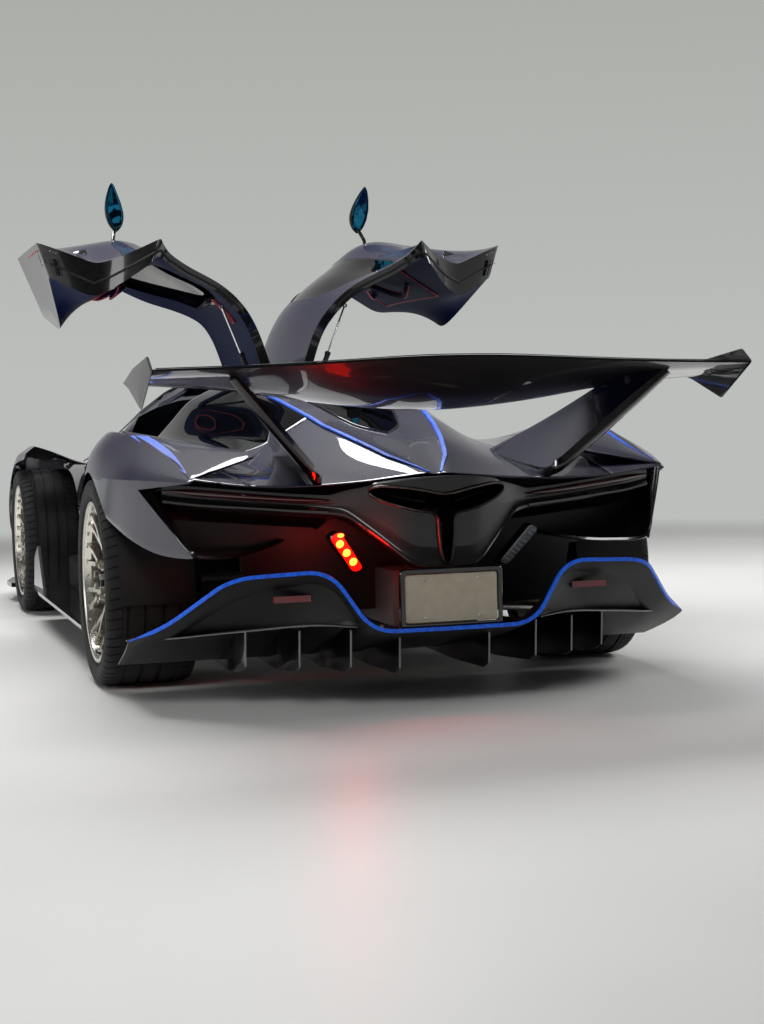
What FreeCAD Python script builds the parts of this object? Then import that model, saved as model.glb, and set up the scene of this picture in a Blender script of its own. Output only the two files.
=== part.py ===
import FreeCAD, Part
import math
import os
import Sketcher

# A mid-engined hypercar with roof-hinged doors, standing with both doors open.
# Frame: +Z up, the nose points to -Y, the car's left is +X, and the origin is on
# the ground under the middle of the overall length. All sizes are in millimetres.

V = FreeCAD.Vector
doc = FreeCAD.newDocument("hypercar")
sheet = doc.addObject("Spreadsheet::Sheet", "Sizes")

# name, value
driving = (
    ("overallLength", 5066),
    ("wheelbase", 2700),
    ("rearOverhang", 1190),
    ("panelWall", 14),
    ("panelGap", 6),
    ("seatGap", 0.3),
    ("runningFit", 0.05),
    ("frontTyreRadius", 347),
    ("frontTyreWidth", 265),
    ("frontRimRadius", 271),
    ("frontTrackHalf", 835),
    ("rearTyreRadius", 364),
    ("rearTyreWidth", 325),
    ("rearRimRadius", 284),
    ("rearTrackHalf", 825),
    ("spindleRadius", 22),
    ("discThickness", 32),
    ("kingpinHalf", 752),
    ("steerLock", 28),
    ("frontArchRadius", 377),
    ("rearArchRadius", 384),
    ("hingeHalf", 50),
    ("hingeHeight", 1100),
    ("hingeSpineRadius", 43),
    ("hingePinRadius", 7),
    ("hingeBarrelRadius", 17),
    ("hingeBarrelLength", 50),
    ("doorAngle", 75),
    ("doorWall", 38),
    ("glassWall", 6),
    ("strutPlane", 268),
    ("strutPivotHalf", 104),
    ("strutPivotHeight", 978),
    ("strutEyeHalf", 384),
    ("strutEyeHeight", 966),
    ("strutTubeRadius", 11),
    ("strutRodRadius", 5),
    ("strutPinRadius", 5),
    ("strutTubeLength", 232),
    ("footwellHalf", 400),
    ("engineHalf", 300),
    ("engineFloor", 150),
    ("engineHeight", 470),
    ("plateSheet", 3),
    ("floorHeight", 110),
    ("floorWall", 35),
    ("sillHeight", 295),
    ("sillInnerHalf", 455),
    ("jackPadRadius", 35),
    ("jackPadHeight", 8),
    ("plateWidth", 305),
    ("plateHeight", 152),
    ("plateHoleSpacingX", 177.8),
    ("plateHoleSpacingZ", 120.65),
    ("plateHoleRadius", 3.5),
)
for row, (name, value) in enumerate(driving, start=1):
    sheet.set("A%d" % row, name)
    sheet.set("B%d" % row, str(value))
    sheet.setAlias("B%d" % row, name)
doc.recompute()


def size(name):
    return float(sheet.get(name))


wall = size("panelWall")
gap = size("panelGap")
seat = size("seatGap")
rearEnd = size("overallLength") / 2
rearAxle = rearEnd - size("rearOverhang")
frontAxle = rearAxle - size("wheelbase")
hingeX = size("hingeHalf")
hingeZ = size("hingeHeight")

# The body is drawn with its ends and axles at these places; a changed length, overhang or
# wheelbase moves and stretches the stations between them.
drawn = (-2533, -1357, 1343, 2533)
placed = (-rearEnd, frontAxle, rearAxle, rearEnd)


def along(y):
    """Where a station drawn at y lies on the car as it is sized."""
    for i in range(3):
        if y <= drawn[i + 1] or i == 2:
            share = (y - drawn[i]) / (drawn[i + 1] - drawn[i])
            return placed[i] + share * (placed[i + 1] - placed[i])


def alongAll(stations):
    return [(along(y),) + tuple(rest) for y, *rest in stations]


def edgeLine(outline):
    """An outline of (distance, y) points with every y placed."""
    return [(r, along(y)) for r, y in outline]


parts = []


def keep(label, shape, placement=None):
    """Store one sub-part as an object of the document."""
    feature = doc.addObject("Part::Feature", label)
    feature.Label = label
    feature.Shape = shape
    if placement:
        feature.Placement = placement
    parts.append(feature)
    return feature


def ring(points):
    return Part.makePolygon([V(*p) for p in points] + [V(*points[0])])


def ruled(rings):
    """Solid with straight rulings between closed rings of equal point counts."""
    return Part.makeLoft([ring(r) for r in rings], True, True)


def prism(points, move):
    return Part.Face(ring(points)).extrude(V(*move))


def prismX(outline, x0, x1):
    return prism([(x0, y, z) for y, z in outline], (x1 - x0, 0, 0))


def prismY(outline, y0, y1):
    return prism([(x, y0, z) for x, z in outline], (0, y1 - y0, 0))


def prismZ(outline, z0, z1):
    return prism([(x, y, z0) for x, y in outline], (0, 0, z1 - z0))


def block(x0, x1, y0, y1, z0, z1):
    return Part.makeBox(x1 - x0, y1 - y0, z1 - z0, V(x0, y0, z0))


def rod(start, end, radius):
    a = V(*start)
    b = V(*end)
    return Part.makeCylinder(radius, (b - a).Length, a, b - a)


def mirrored(shape):
    return shape.mirror(V(0, 0, 0), V(1, 0, 0))


def bothSides(shape):
    return Part.makeCompound([shape, mirrored(shape)])


def solids(shape):
    """The solids of a boolean result, largest first."""
    return sorted(shape.Solids, key=lambda s: -s.Volume)


def together(shapes):
    return Part.makeCompound([s for shape in shapes for s in shape.Solids])


def inset(outline, depth):
    """An (x, z) line that runs outwards, moved to its inner side by a wall."""
    moved = []
    for i, (x, z) in enumerate(outline):
        normals = []
        for a, b in ((i - 1, i), (i, i + 1)):
            if a >= 0 and b < len(outline):
                dx = outline[b][0] - outline[a][0]
                dz = outline[b][1] - outline[a][1]
                length = math.hypot(dx, dz)
                normals.append((dz / length, -dx / length))
        nx = sum(n[0] for n in normals) / len(normals) if x else 0
        nz = sum(n[1] for n in normals) / len(normals)
        scale = depth / max(0.35, nx * nx + nz * nz)
        moved.append((x + nx * scale, z + nz * scale))
    return moved


def skin(stations, depth, sink=0.0):
    """A panel through (y, outline) stations, as thick as depth, sunk by sink."""
    rings = []
    for y, outline in stations:
        outer = inset(outline, sink) if sink else outline
        inner = inset(outline, sink + depth)
        rings.append([(x, y, z) for x, z in outer + inner[::-1]])
    return ruled(rings)


def portion(stations, first, last):
    """The same stations with only the points from first to last."""
    return [(y, outline[first:last + 1]) for y, outline in stations]


def between(stations, low, high):
    """Stations cut to the range low..high, with interpolated ends."""

    def at(y):
        for (ya, a), (yb, b) in zip(stations, stations[1:]):
            if ya <= y <= yb:
                t = (y - ya) / (yb - ya)
                line = [(p[0] + t * (q[0] - p[0]), p[1] + t * (q[1] - p[1])) for p, q in zip(a, b)]
                return (y, line)
        raise ValueError("no station at %g" % y)

    inside = [s for s in stations if low < s[0] < high]
    return [at(low)] + inside + [at(high)]


# ---------------------------------------------------------------- body sections
# Greenhouse and door: (x, z) from the roof edge out to the sill, by station y.
# columns: roof, roof curve, shoulder, upper glass, glass, lower glass, belt, horn, waist, sill
greenhouse = alongAll([
    (-1000, [(0, 935), (250, 920), (360, 893), (460, 855), (540, 812), (615, 772), (688, 735),
             (722, 705), (700, 515), (800, 312)]),
    (-800, [(0, 1035), (250, 1018), (360, 987), (452, 943), (532, 882), (602, 822), (690, 757),
            (732, 722), (702, 520), (822, 315)]),
    (-520, [(0, 1102), (250, 1090), (368, 1058), (462, 1008), (532, 944), (588, 874), (682, 770),
            (732, 736), (702, 526), (834, 320)]),
    (-200, [(0, 1112), (250, 1103), (370, 1074), (462, 1028), (532, 968), (584, 897), (672, 775),
            (720, 740), (690, 530), (834, 322)]),
    (300, [(0, 1095), (250, 1083), (348, 1052), (434, 1006), (497, 955), (548, 883), (648, 768),
           (697, 738), (671, 528), (834, 323)]),
    (520, [(0, 1088), (250, 1073), (350, 1038), (434, 986), (497, 930), (552, 868), (660, 790),
           (730, 762), (724, 560), (850, 323)]),
])

# Rear quarter: (x, z) from the centre line out to the side, by station y.
# columns: centre, spine edge, flank, valley, fender inner, crown, shoulder, side, low side
rearBody = alongAll([
    (300, [(0, 1095), (250, 1083), (434, 1006), (548, 883), (648, 768), (697, 738), (690, 640),
           (671, 528), (834, 323)]),
    (520, [(0, 1088), (262, 1070), (440, 976), (552, 862), (655, 796), (742, 775), (768, 680),
           (742, 540), (858, 318)]),
    (800, [(0, 1050), (268, 1035), (430, 920), (560, 824), (700, 812), (822, 838), (902, 740),
           (885, 540), (925, 310)]),
    (1050, [(0, 1010), (262, 1000), (420, 880), (560, 805), (728, 834), (866, 884), (952, 800),
            (982, 600), (975, 300)]),
    (1343, [(0, 962), (240, 952), (400, 845), (550, 790), (740, 842), (898, 893), (968, 836),
                (985, 745), (985, 600)]),
    (1600, [(0, 895), (195, 888), (368, 815), (530, 768), (700, 800), (846, 872), (940, 806),
            (985, 735), (982, 600)]),
    (1800, [(0, 848), (148, 843), (330, 786), (494, 752), (662, 771), (828, 833), (916, 792),
            (966, 735), (938, 545)]),
    (1940, [(0, 814), (116, 811), (301, 766), (466, 740), (636, 752), (812, 806), (884, 772),
            (922, 735), (862, 490)]),
    (2215, [(0, 738), (24, 737), (215, 720), (410, 708), (610, 712), (780, 740), (790, 737),
            (797, 730), (742, 489)]),
])

# Front clam: (x, z) from the centre line out to the side, by station y.
# columns: centre, bonnet, vent valley, fender inner, crown inner, crown, lip, side
frontBody = alongAll([
    (-2450, [(0, 262), (200, 256), (340, 246), (480, 246), (580, 252), (660, 250), (705, 222),
             (722, 178)]),
    (-2250, [(0, 376), (220, 370), (380, 350), (550, 368), (700, 420), (800, 430), (868, 380),
             (882, 262)]),
    (-2000, [(0, 500), (240, 490), (400, 450), (580, 468), (740, 550), (850, 574), (926, 520),
             (944, 390)]),
    (-1740, [(0, 612), (258, 598), (416, 548), (598, 560), (760, 668), (880, 706), (952, 650),
             (968, 560)]),
    (-1357, [(0, 735), (280, 720), (458, 660), (640, 656), (782, 765), (898, 802), (962, 760),
                 (975, 715)]),
    (-1100, [(0, 812), (300, 792), (490, 730), (660, 690), (796, 780), (908, 818), (958, 778),
             (970, 735)]),
    (-960, [(0, 850), (310, 826), (510, 752), (680, 700), (806, 776), (915, 812), (956, 780),
            (966, 752)]),
])

# The door's edge is drawn as (distance from the hinge axis, y). Turned about that axis it
# is the space that the door sweeps, so whatever is cut by it stays clear as the door swings.
doorRear = edgeLine([(54, 302), (205, 302), (300, 337), (395, 353), (470, 368), (541, 388), (683, 427),
                     (739, 471), (800, 296), (843, 267), (1104, 186), (1150, 186)])
doorFront = edgeLine([(1150, -600), (1090, -600), (1010, -740), (870, -960), (737, -960), (495, -780),
                      (329, -560), (280, -500), (54, -495)])
windowOutline = edgeLine([(372, -430), (505, -650), (655, -830), (668, 290), (600, 330), (440, 235),
                          (372, 60)])
# places along the cabin that several pieces share
footwellFront = along(-1430)
screenTop = along(-495)
spineRear = along(300)
hoopFront = along(485)
tubRear = along(485) + 30
hingeStations = (along(-330), along(130))
strutPlane = along(size("strutPlane"))
jackStations = (along(-500), along(350))
rackRadius = 9
lugReach = 118


def aboutHinge(outline):
    """A solid of revolution about the left door's hinge, from above it to below it."""
    face = Part.Face(ring([(hingeX + r, y, hingeZ) for r, y in outline]))
    face.rotate(V(hingeX, 0, hingeZ), V(0, 1, 0), -30)
    return face.revolve(V(hingeX, 0, hingeZ), V(0, 1, 0), 110)


def doorSpace(clearance):
    return aboutHinge(grown(doorRear + doorFront, clearance))


def grown(outline, gap):
    """A closed outline moved outwards by a gap."""
    face = Part.Face(Part.makePolygon([V(a, b, 0) for a, b in outline] + [V(*outline[0], 0)]))
    wire = face.OuterWire.makeOffset2D(gap, 2, False, False, False)
    corners = [v.Point for v in wire.OrderedVertexes]
    return [(c.x, c.y) for c in corners]


# ---------------------------------------------------------------- tub
def makeTub():
    """Carbon monocoque: floor, sills, footwell, bulkhead, roof hoop, pillars and nose rails."""
    floorZ = size("floorHeight")
    floorTop = floorZ + size("floorWall")
    sillIn = size("sillInnerHalf")
    sillTop = size("sillHeight")
    boxHalf = size("footwellHalf")
    # columns: y, half width of the sill's foot, half width of its top
    sillStations = alongAll(((-900, 700, 760), (-780, 760, 795), (186, 790, 822), (485, 770, 800)))
    rings = []
    for y, foot, top in sillStations:
        half = [(foot, floorZ), (top, floorZ + 60), (top, sillTop), (sillIn + 20, sillTop),
                (sillIn, floorTop + 30), (sillIn - 20, floorTop)]
        rings.append([(x, y, z) for x, z in half + [(-x, z) for x, z in half[::-1]]])
    tub = ruled(rings)

    box = block(-boxHalf, boxHalf, footwellFront, along(-900), floorZ, 610)
    hollow = block(30 - boxHalf, boxHalf - 30, footwellFront + 30, along(-890), floorTop, 580)
    tub = tub.fuse(box).cut(hollow)

    rings = []
    for y, line in between(rearBody, hoopFront, tubRear):
        line = inset(line, wall + seat)
        half = [(0, floorZ), (780, floorZ), (790, 330)] + line[7:0:-1] + [(0, line[0][1])]
        rings.append([(x, y, z) for x, z in half + [(-x, z) for x, z in half[-2:0:-1]]])
    tub = tub.fuse(ruled(rings))

    frame = skin(portion(greenhouse, 0, 7)[:4], 22, size("glassWall") + seat)
    header = block(-5, 400, screenTop - 51, screenTop - 6, 900, 1200)
    pillar = frame.common(doorSpace(gap + 36).fuse(header)).cut(doorSpace(gap))
    pillar = pillar.common(block(-5, 900, along(-1000), screenTop - 6, 690, 1200))
    foot = prismY([(boxHalf - 2, 200), (600, 300), (668, 500), (672, 690), (650, 715),
                   (boxHalf - 2, 609)], along(-990), along(-990) + 22)
    half = solids(pillar)[0].fuse(foot)
    tub = tub.fuse(half).fuse(mirrored(half))

    nose = along(-2230)
    for side in (-1, 1):
        near = min(side * 200, side * 270)
        rail = block(near, near + 70, nose, footwellFront, 170, 290)
        post = block(near, near + 70, nose, nose + 30, 280, 600)
        tub = tub.fuse(rail).fuse(post.common(bothSides(below(frontBody, wall + seat))))
    rackY, rackZ = rackAxis()
    tub = tub.cut(rod((-500, rackY, rackZ), (500, rackY, rackZ), 16))
    for side in (-1, 1):
        near = min(side * 90, side * 170)
        clamp = rod((near, rackY, rackZ), (near + 80, rackY, rackZ), 24)
        arm = block(near, near + 80, rackY, footwellFront + 5, rackZ - 20, rackZ + 20)
        tub = tub.fuse(clamp.fuse(arm))
    bore = rod((-180, rackY, rackZ), (180, rackY, rackZ), rackRadius + size("runningFit"))
    tub = tub.cut(bore)
    for x in (-700, 700):
        for y in jackStations:
            pad = Part.makeCylinder(size("jackPadRadius"), size("jackPadHeight") + 5,
                                    V(x, y, floorZ - size("jackPadHeight")))
            tub = tub.fuse(pad)
    return solids(tub.removeSplitter())[0]


def rackAxis():
    """The steering rack's y and z."""
    return (frontAxle - lugReach, size("frontTyreRadius") - 108)


def below(stations, depth, floor=0):
    """The space on the inner side of a panel, down to a floor."""
    rings = []
    for y, line in stations:
        top = inset(line, depth)
        rings.append([(x, y, z) for x, z in top] + [(top[-1][0], y, floor), (top[0][0], y, floor)])
    return ruled(rings)


# ---------------------------------------------------------------- glass and roof
def makeWindscreen():
    """Wrap-round windscreen from the cowl to the roof header, between the doors."""
    stations = portion(greenhouse, 0, 6)[:4]
    cowlLine = [(0, 800), (250, 790), (360, 775), (460, 755), (540, 735), (600, 715), (660, 695)]
    cowl = (along(-1240), cowlLine)
    glass = skin(between([cowl] + stations, along(-1240), along(-470)), size("glassWall"))
    plan = edgeLine([(-10, -1235), (200, -1225), (380, -1180), (540, -1095), (640, -1010), (700, -960),
                     (700, -400), (-10, -400)])
    glass = glass.common(prismZ(plan, 500, 1300))
    roofCut = block(-10, 800, screenTop, along(-400), 900, 1300)
    half = solids(glass.cut(roofCut).cut(doorSpace(gap)))[0]
    return half.fuse(mirrored(half)).removeSplitter()


def makeRoofSpine(tub):
    """Fixed spine between the doors: two hinge barrels joined, with a pin for each hinge."""
    radius = size("hingeSpineRadius")
    front = screenTop + seat
    rear = spineRear
    spine = block(-hingeX, hingeX, front, rear, hingeZ - radius, hingeZ + radius)
    for side in (-1, 1):
        spine = spine.fuse(Part.makeCylinder(radius, rear - front, V(side * hingeX, front, hingeZ),
                                             V(0, 1, 0)))
    barrel = size("hingeBarrelLength") / 2
    for y in hingeStations:
        for side in (-1, 1):
            notch = Part.makeCylinder(size("hingeBarrelRadius") + gap, 2 * (barrel + gap),
                                      V(side * hingeX, y - barrel - gap, hingeZ), V(0, 1, 0))
            mouth = block(min(side * hingeX, side * 110), max(side * hingeX, side * 110),
                          y - barrel - gap, y + barrel + gap, hingeZ - 60, hingeZ + 60)
            spine = spine.cut(notch).cut(mouth)
            pin = Part.makeCylinder(size("hingePinRadius"), 2 * (barrel + gap) + 10,
                                    V(side * hingeX, y - barrel - gap - 5, hingeZ), V(0, 1, 0))
            spine = spine.fuse(pin)
    tongue = block(-40, 40, screenTop - 45, front + 5, 1040, 1085)
    spine = spine.fuse(tongue)
    # the rear foot stands on the roof hoop and carries the struts' pivots
    foot = prismX([(rear - 62, hingeZ - radius + 5), (rear - 62, 950), (rear - 6, 950), (rear, 1000),
                   (hoopFront - seat, 1020), (hoopFront - seat, 1056), (rear, hingeZ - radius + 5)],
                  -70, 70)
    foot = foot.cut(block(-40, 40, rear - 200, rear - 30, 900, hingeZ - radius - 14))
    spine = spine.fuse(foot)
    pivotX = size("strutPivotHalf")
    pivotZ = size("strutPivotHeight")
    for side in (-1, 1):
        lug = block(min(side * 55, side * (pivotX + 14)), max(side * 55, side * (pivotX + 14)),
                    strutPlane + 16, strutPlane + 28, pivotZ - 14, pivotZ + 14)
        pin = rod((side * pivotX, strutPlane - 5, pivotZ), (side * pivotX, strutPlane + 18, pivotZ),
                  size("strutPinRadius"))
        spine = spine.fuse(lug).fuse(pin)
    return solids(spine.cut(tub).removeSplitter())[0]


# ---------------------------------------------------------------- doors
def makeDoor():
    """The left door in its closed place: roof skin, window frame, lower box with a pointed sill lip."""
    upper = skin(portion(greenhouse, 0, 7), size("doorWall"))
    # columns: y, inner end of the sill's underside, outer edge of the underside
    lips = alongAll(((-960, (640, 350), (760, 330)), (-600, (560, 356), (778, 330)),
                     (-200, (462, 366), (812, 322)), (150, (686, 330), (834, 322)),
                     (471, (700, 330), (840, 322))))
    lowerStations = []
    for y, inner, outer in lips:
        belt, horn, waist = between(greenhouse, y, y)[0][1][6:9]
        card = inset([belt, horn, waist, outer], size("doorWall"))
        lowerStations.append([(x, y, z) for x, z in
                              [belt, horn, waist, outer, inner, (548, 470), card[0]]])
    lower = ruled(lowerStations)
    edge = doorSpace(0)
    door = upper.common(edge).fuse(lower.common(edge))
    door = door.cut(aboutHinge(windowOutline))
    half = size("hingeBarrelLength") / 2
    for y in hingeStations:
        barrel = Part.makeCylinder(size("hingeBarrelRadius"), 2 * half, V(hingeX, y - half, hingeZ),
                                   V(0, 1, 0))
        arm = prismY([(hingeX + 8, hingeZ + 8), (hingeX + 4, hingeZ - 12), (112, 1050), (150, 1050),
                      (150, 1075), (116, 1086)], y - half, y + half)
        barrel = barrel.fuse(arm)
        bore = Part.makeCylinder(size("hingePinRadius") + size("runningFit"), 2 * half + 2,
                                 V(hingeX, y - half - 1, hingeZ), V(0, 1, 0))
        door = door.fuse(barrel).cut(bore)
    lug = block(size("strutEyeHalf") - 12, size("strutEyeHalf") + 12, strutPlane + 10, strutPlane + 20,
                size("strutEyeHeight") - 12, 1016)
    door = door.fuse(lug)
    return solids(door.removeSplitter())[0]


def makeDoorWindow():
    """Curved side glass, set in the door's frame."""
    glass = skin(portion(greenhouse, 0, 7), size("glassWall"), 12)
    return solids(glass.common(aboutHinge(grown(windowOutline, -seat))))[0]


def makeDoorTrim():
    """Inner card on the lower door, from the belt down to the box's shoulder."""
    # the door's box is drawn from fewer stations, so the card stands a little further off it
    near = 2 * seat + 0.2
    rings = []
    for y, line in between(greenhouse, along(-700), along(100)):
        top = inset(line[6:], size("doorWall"))[0]
        down = V(548 - top[0], 0, 470 - top[1])
        out = V(down.z, 0, -down.x)
        out.normalize()
        corners = []
        for share, depth in ((0.15, near), (0.9, near), (0.9, 14), (0.15, 14)):
            corners.append((top[0] + share * down.x + depth * out.x, y,
                            top[1] + share * down.z + depth * out.z))
        rings.append(corners)
    return ruled(rings)


def makeMirror():
    """Teardrop mirror head, pointed outwards, on a curved stalk that stands on the door's belt."""
    # columns: x, middle y, middle z, depth along the car, height
    stations = ((835, -545, 779, 24, 22), (862, -548, 786, 62, 66), (900, -548, 790, 80, 88),
                (945, -540, 792, 76, 84), (990, -522, 796, 56, 58), (1026, -500, 802, 30, 28),
                (1044, -487, 806, 10, 8))
    rings = []
    for x, y, z, deep, tall in stations:
        ring8 = []
        for i in range(8):
            angle = math.radians(45 * i + 22.5)
            ring8.append((x, along(y) + deep / 2 * math.cos(angle) / 0.924,
                          z + tall / 2 * math.sin(angle) / 0.924))
        rings.append(ring8)
    head = ruled(rings)
    foot = (712, along(-470), 726)
    elbow = (800, along(-500), 742)
    top = (850, along(-545), 776)
    stalk = rod(foot, elbow, 9).fuse([Part.makeSphere(9, V(*elbow)), rod(elbow, top, 9)])
    return head.fuse(stalk).removeSplitter()


def doorPlacement(side):
    """Turns a closed door open about its roof hinge."""
    turn = FreeCAD.Rotation(V(0, -side, 0), size("doorAngle"))
    return FreeCAD.Placement(V(0, 0, 0), turn, V(side * hingeX, 0, hingeZ))


def makeDoors():
    door = makeDoor()
    pieces = (("door", door), ("door_window", makeDoorWindow()), ("door_trim", makeDoorTrim()),
              ("mirror", solids(makeMirror().cut(door))[0]))
    for label, shape in pieces:
        keep(label + "_left", shape, doorPlacement(1))
        keep(label + "_right", mirrored(shape), doorPlacement(-1))


# ---------------------------------------------------------------- gas struts
def makeStruts():
    """Gas springs: each tube swings on the spine, each rod's eye is at the door's pin."""
    pivot = V(size("strutPivotHalf"), strutPlane, size("strutPivotHeight"))
    eyeShut = V(size("strutEyeHalf"), strutPlane, size("strutEyeHeight"))
    eyeOpen = doorPlacement(1).multVec(eyeShut)
    axis = eyeOpen - pivot
    length = axis.Length
    axis.normalize()
    tubeR = size("strutTubeRadius")
    rodR = size("strutRodRadius")
    tubeL = size("strutTubeLength")
    pinR = size("strutPinRadius")
    tube = Part.makeCylinder(tubeR, tubeL - 9, pivot + axis * 9, axis)
    bore = Part.makeCylinder(tubeR - 3, tubeL - 36, pivot + axis * 24, axis)
    mouth = Part.makeCylinder(rodR + size("runningFit"), 20, pivot + axis * (tubeL - 14), axis)
    ear = Part.makeCylinder(12, 10, pivot + V(0, -5, 0), V(0, 1, 0))
    hole = Part.makeCylinder(pinR + size("runningFit"), 40, pivot + V(0, -20, 0), V(0, 1, 0))
    tube = tube.fuse(ear).cut(bore).cut(mouth).cut(hole)
    rodPiece = Part.makeCylinder(rodR, length - 8 - (tubeL - 30), pivot + axis * (tubeL - 30), axis)
    eye = Part.makeCylinder(9, 8, eyeOpen + V(0, -4, 0), V(0, 1, 0))
    rodPiece = rodPiece.fuse(eye).cut(Part.makeCylinder(3.6, 30, eyeOpen + V(0, -15, 0), V(0, 1, 0)))
    keep("strut_cylinder_left", tube)
    keep("strut_cylinder_right", mirrored(tube))
    keep("strut_rod_left", rodPiece)
    keep("strut_rod_right", mirrored(rodPiece))


# ---------------------------------------------------------------- front
def wheelSweep(axle, radius, top, x0, x1):
    return Part.makeCylinder(radius, x1 - x0, V(x0, axle, top), V(1, 0, 0))


def steeredTyre(clearance):
    """The space that the left front tyre sweeps from lock to lock."""
    width = size("frontTyreWidth") + 2 * clearance
    radius = size("frontTyreRadius") + clearance
    space = None
    for step in range(-2, 3):
        tyre = Part.makeCylinder(radius, width, V(size("frontTrackHalf") - width / 2, frontAxle,
                                                  size("frontTyreRadius")), V(1, 0, 0))
        tyre.rotate(V(size("kingpinHalf"), frontAxle, 0), V(0, 0, 1), step * size("steerLock") / 2)
        space = space.fuse(tyre) if space else tyre
    return space


lampPlan = edgeLine([(610, -2118), (868, -1905), (880, -1985), (690, -2215)])


def makeFront():
    shell = skin(frontBody, wall)
    arch = wheelSweep(frontAxle, size("frontArchRadius"), size("frontTyreRadius"), 480, 1100)
    shell = shell.cut(arch).cut(steeredTyre(12))
    cowl = edgeLine([(-10, -1247), (200, -1237), (384, -1192), (546, -1107), (646, -1022), (735, -970),
                     (760, -900), (-10, -900)])
    shell = shell.cut(prismZ(cowl, 500, 1300))
    shell = shell.cut(doorSpace(gap))
    lamp = prismZ(lampPlan, 300, 800)
    lamps = solids(shell.common(lamp))[0]
    # louvres over the tyre let the arch's air out
    for i in range(5):
        y = frontAxle - 110 + i * 75
        shell = shell.cut(prismZ([(800, y), (905, y - 18), (905, y + 12), (800, y + 30)], 600, 900))
    shell = shell.cut(prismZ(grown(lampPlan, seat), 300, 800))
    half = solids(shell)[0]
    clam = half.fuse(mirrored(half)).removeSplitter()
    keep("front_clam", solids(clam)[0])
    keep("headlamps", bothSides(lamps))
    blade = edgeLine([(0, -2533), (350, -2500), (700, -2372), (925, -2160), (972, -1960), (965, -1800),
                      (600, -1790), (0, -1790)])
    blade = blade + [(-x, y) for x, y in blade[:0:-1] if x]
    plate = prismZ(blade, 78, 100)
    # a keel joins the blade to the nose rails
    keel = block(-270, 270, along(-2200), along(-1790), 100, 170 - seat)
    keep("front_splitter", plate.fuse(keel).removeSplitter())


# ---------------------------------------------------------------- rear
def makeRear():
    """Quarter panels behind the doors, rear clam with its blades, engine cover and tail."""
    arch = wheelSweep(rearAxle, size("rearArchRadius"), size("rearTyreRadius"), 640, 1100)
    doorCut = doorSpace(gap)
    split = along(900)
    rear = along(2215)
    pod = skin(between(portion(rearBody, 2, 8), spineRear, split - seat), wall)
    cover = skin(between(portion(rearBody, 0, 2), spineRear + gap, rear), wall).cut(doorCut)
    pod = solids(pod.cut(doorCut).cut(arch).cut(cover))[0]
    keep("side_pods", bothSides(pod))

    clam = skin(between(portion(rearBody, 2, 8), split, rear), wall)
    # the crown runs inwards as a flat blade that ends in a free corner over the deck
    corners = [(880, along(1460), 886), (786, along(2200), 739), (510, along(1960), 806)]
    blade = ruled([[(x, y, z) for x, y, z in corners], [(x, y, z - 8) for x, y, z in corners]])
    clam = clam.fuse(blade)
    clam = clam.cut(arch).cut(cover)
    under = block(500, 1100, along(1000), rear + 100, 0, 470)
    # the side ends in a raked rim, from a corner below the crease to the duct's foot
    rim = prismX(alongAll([(1940, 704), (2206, 728), (2300, 728), (2300, 400), (2160, 400), (2140, 490)]),
                 700, 1100)
    clam = solids(clam.cut(under).cut(rim))[0]
    keep("rear_clam", bothSides(clam))
    keep("tail_panel", makeTail(bothSides(clam)))

    half = solids(cover)[0]
    whole = half.fuse(mirrored(half)).removeSplitter()
    keep("engine_cover", solids(whole)[0])


def makeScoop():
    """Roof scoop that feeds the engine, open to the front."""
    # columns: y, half width, foot height at the centre, top height
    stations = alongAll(((352, 104, 1150), (700, 92, 1142), (1300, 30, 1012)))
    rings = []
    for y, half, top in stations:
        rings.append([(-half, y, 900), (half, y, 900), (half, y, top - 40), (half * 0.8, y, top - 10),
                      (0, y, top), (-half * 0.8, y, top - 10), (-half, y, top - 40)])
    scoop = ruled(rings)
    front = along(340)
    back = along(600)
    mouth = ruled([[(-84, front, 1104), (84, front, 1104), (66, front, 1136), (-66, front, 1136)],
                   [(-60, back, 1094), (60, back, 1094), (50, back, 1126), (-50, back, 1126)]])
    deck = below(portion(rearBody, 0, 2), -seat, 700)
    return solids(scoop.cut(mouth).cut(bothSides(deck)))[0]


def makeTail(clam):
    """Tail fascia: a beam under the deck, a V-shaped middle with the star outlet, and the rim of
    a large duct on each side, with a dark back wall behind."""
    # columns: x, y of the outer face, top height, bottom height
    beam = ((0, 2306, 722, 445), (112, 2300, 716, 445), (135, 2297, 714, 474), (300, 2266, 707, 600),
            (405, 2254, 704, 616), (610, 2216, 708, 632), (762, 2178, 720, 648))
    lip = ((505, 2206, 545, 530), (560, 2192, 520, 500), (640, 2176, 512, 490), (776, 2142, 514, 490))
    pieces = []
    for stations in (beam, lip):
        rings = []
        for x, y, top, bottom in stations:
            face = along(y)
            rings.append([(x, face, top), (x, face - 30, bottom), (x, face - 48, bottom),
                          (x, face - 18, top)])
        pieces.append(ruled(rings))
    face = along(2334)
    chin = prismX([(face, 200), (face, 430), (face - 34, 470), (face - 44, 520), (face - 64, 520),
                   (face - 64, 440), (face - 34, 200)], -170, 170)
    floor = bothSides(below(diffuserStations, -seat))
    outlet = prismY(starOutline(gap), along(2050), along(2400))
    middle = pieces[0].fuse(mirrored(pieces[0])).fuse(chin.cut(floor)).cut(clam).cut(outlet)
    wallFace = along(2124)
    back = prismY([(-700, 200), (700, 200), (700, 600), (-700, 600)], wallFace - 6, wallFace + 6)
    back = back.fuse([pieces[1], mirrored(pieces[1])] + ductWalls(wallFace))
    back = back.cut(floor).cut(clam).cut(outlet)
    return together([solids(middle.removeSplitter())[0], solids(back.removeSplitter())[0]])


def ductWalls(face):
    """Ribs that carry the duct rims from the back wall."""
    walls = []
    for side in (-1, 1):
        for x in (508, 690):
            near = min(side * x, side * (x + 10))
            walls.append(block(near, near + 10, face, along(2172), 470, 530))
    return walls


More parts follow.
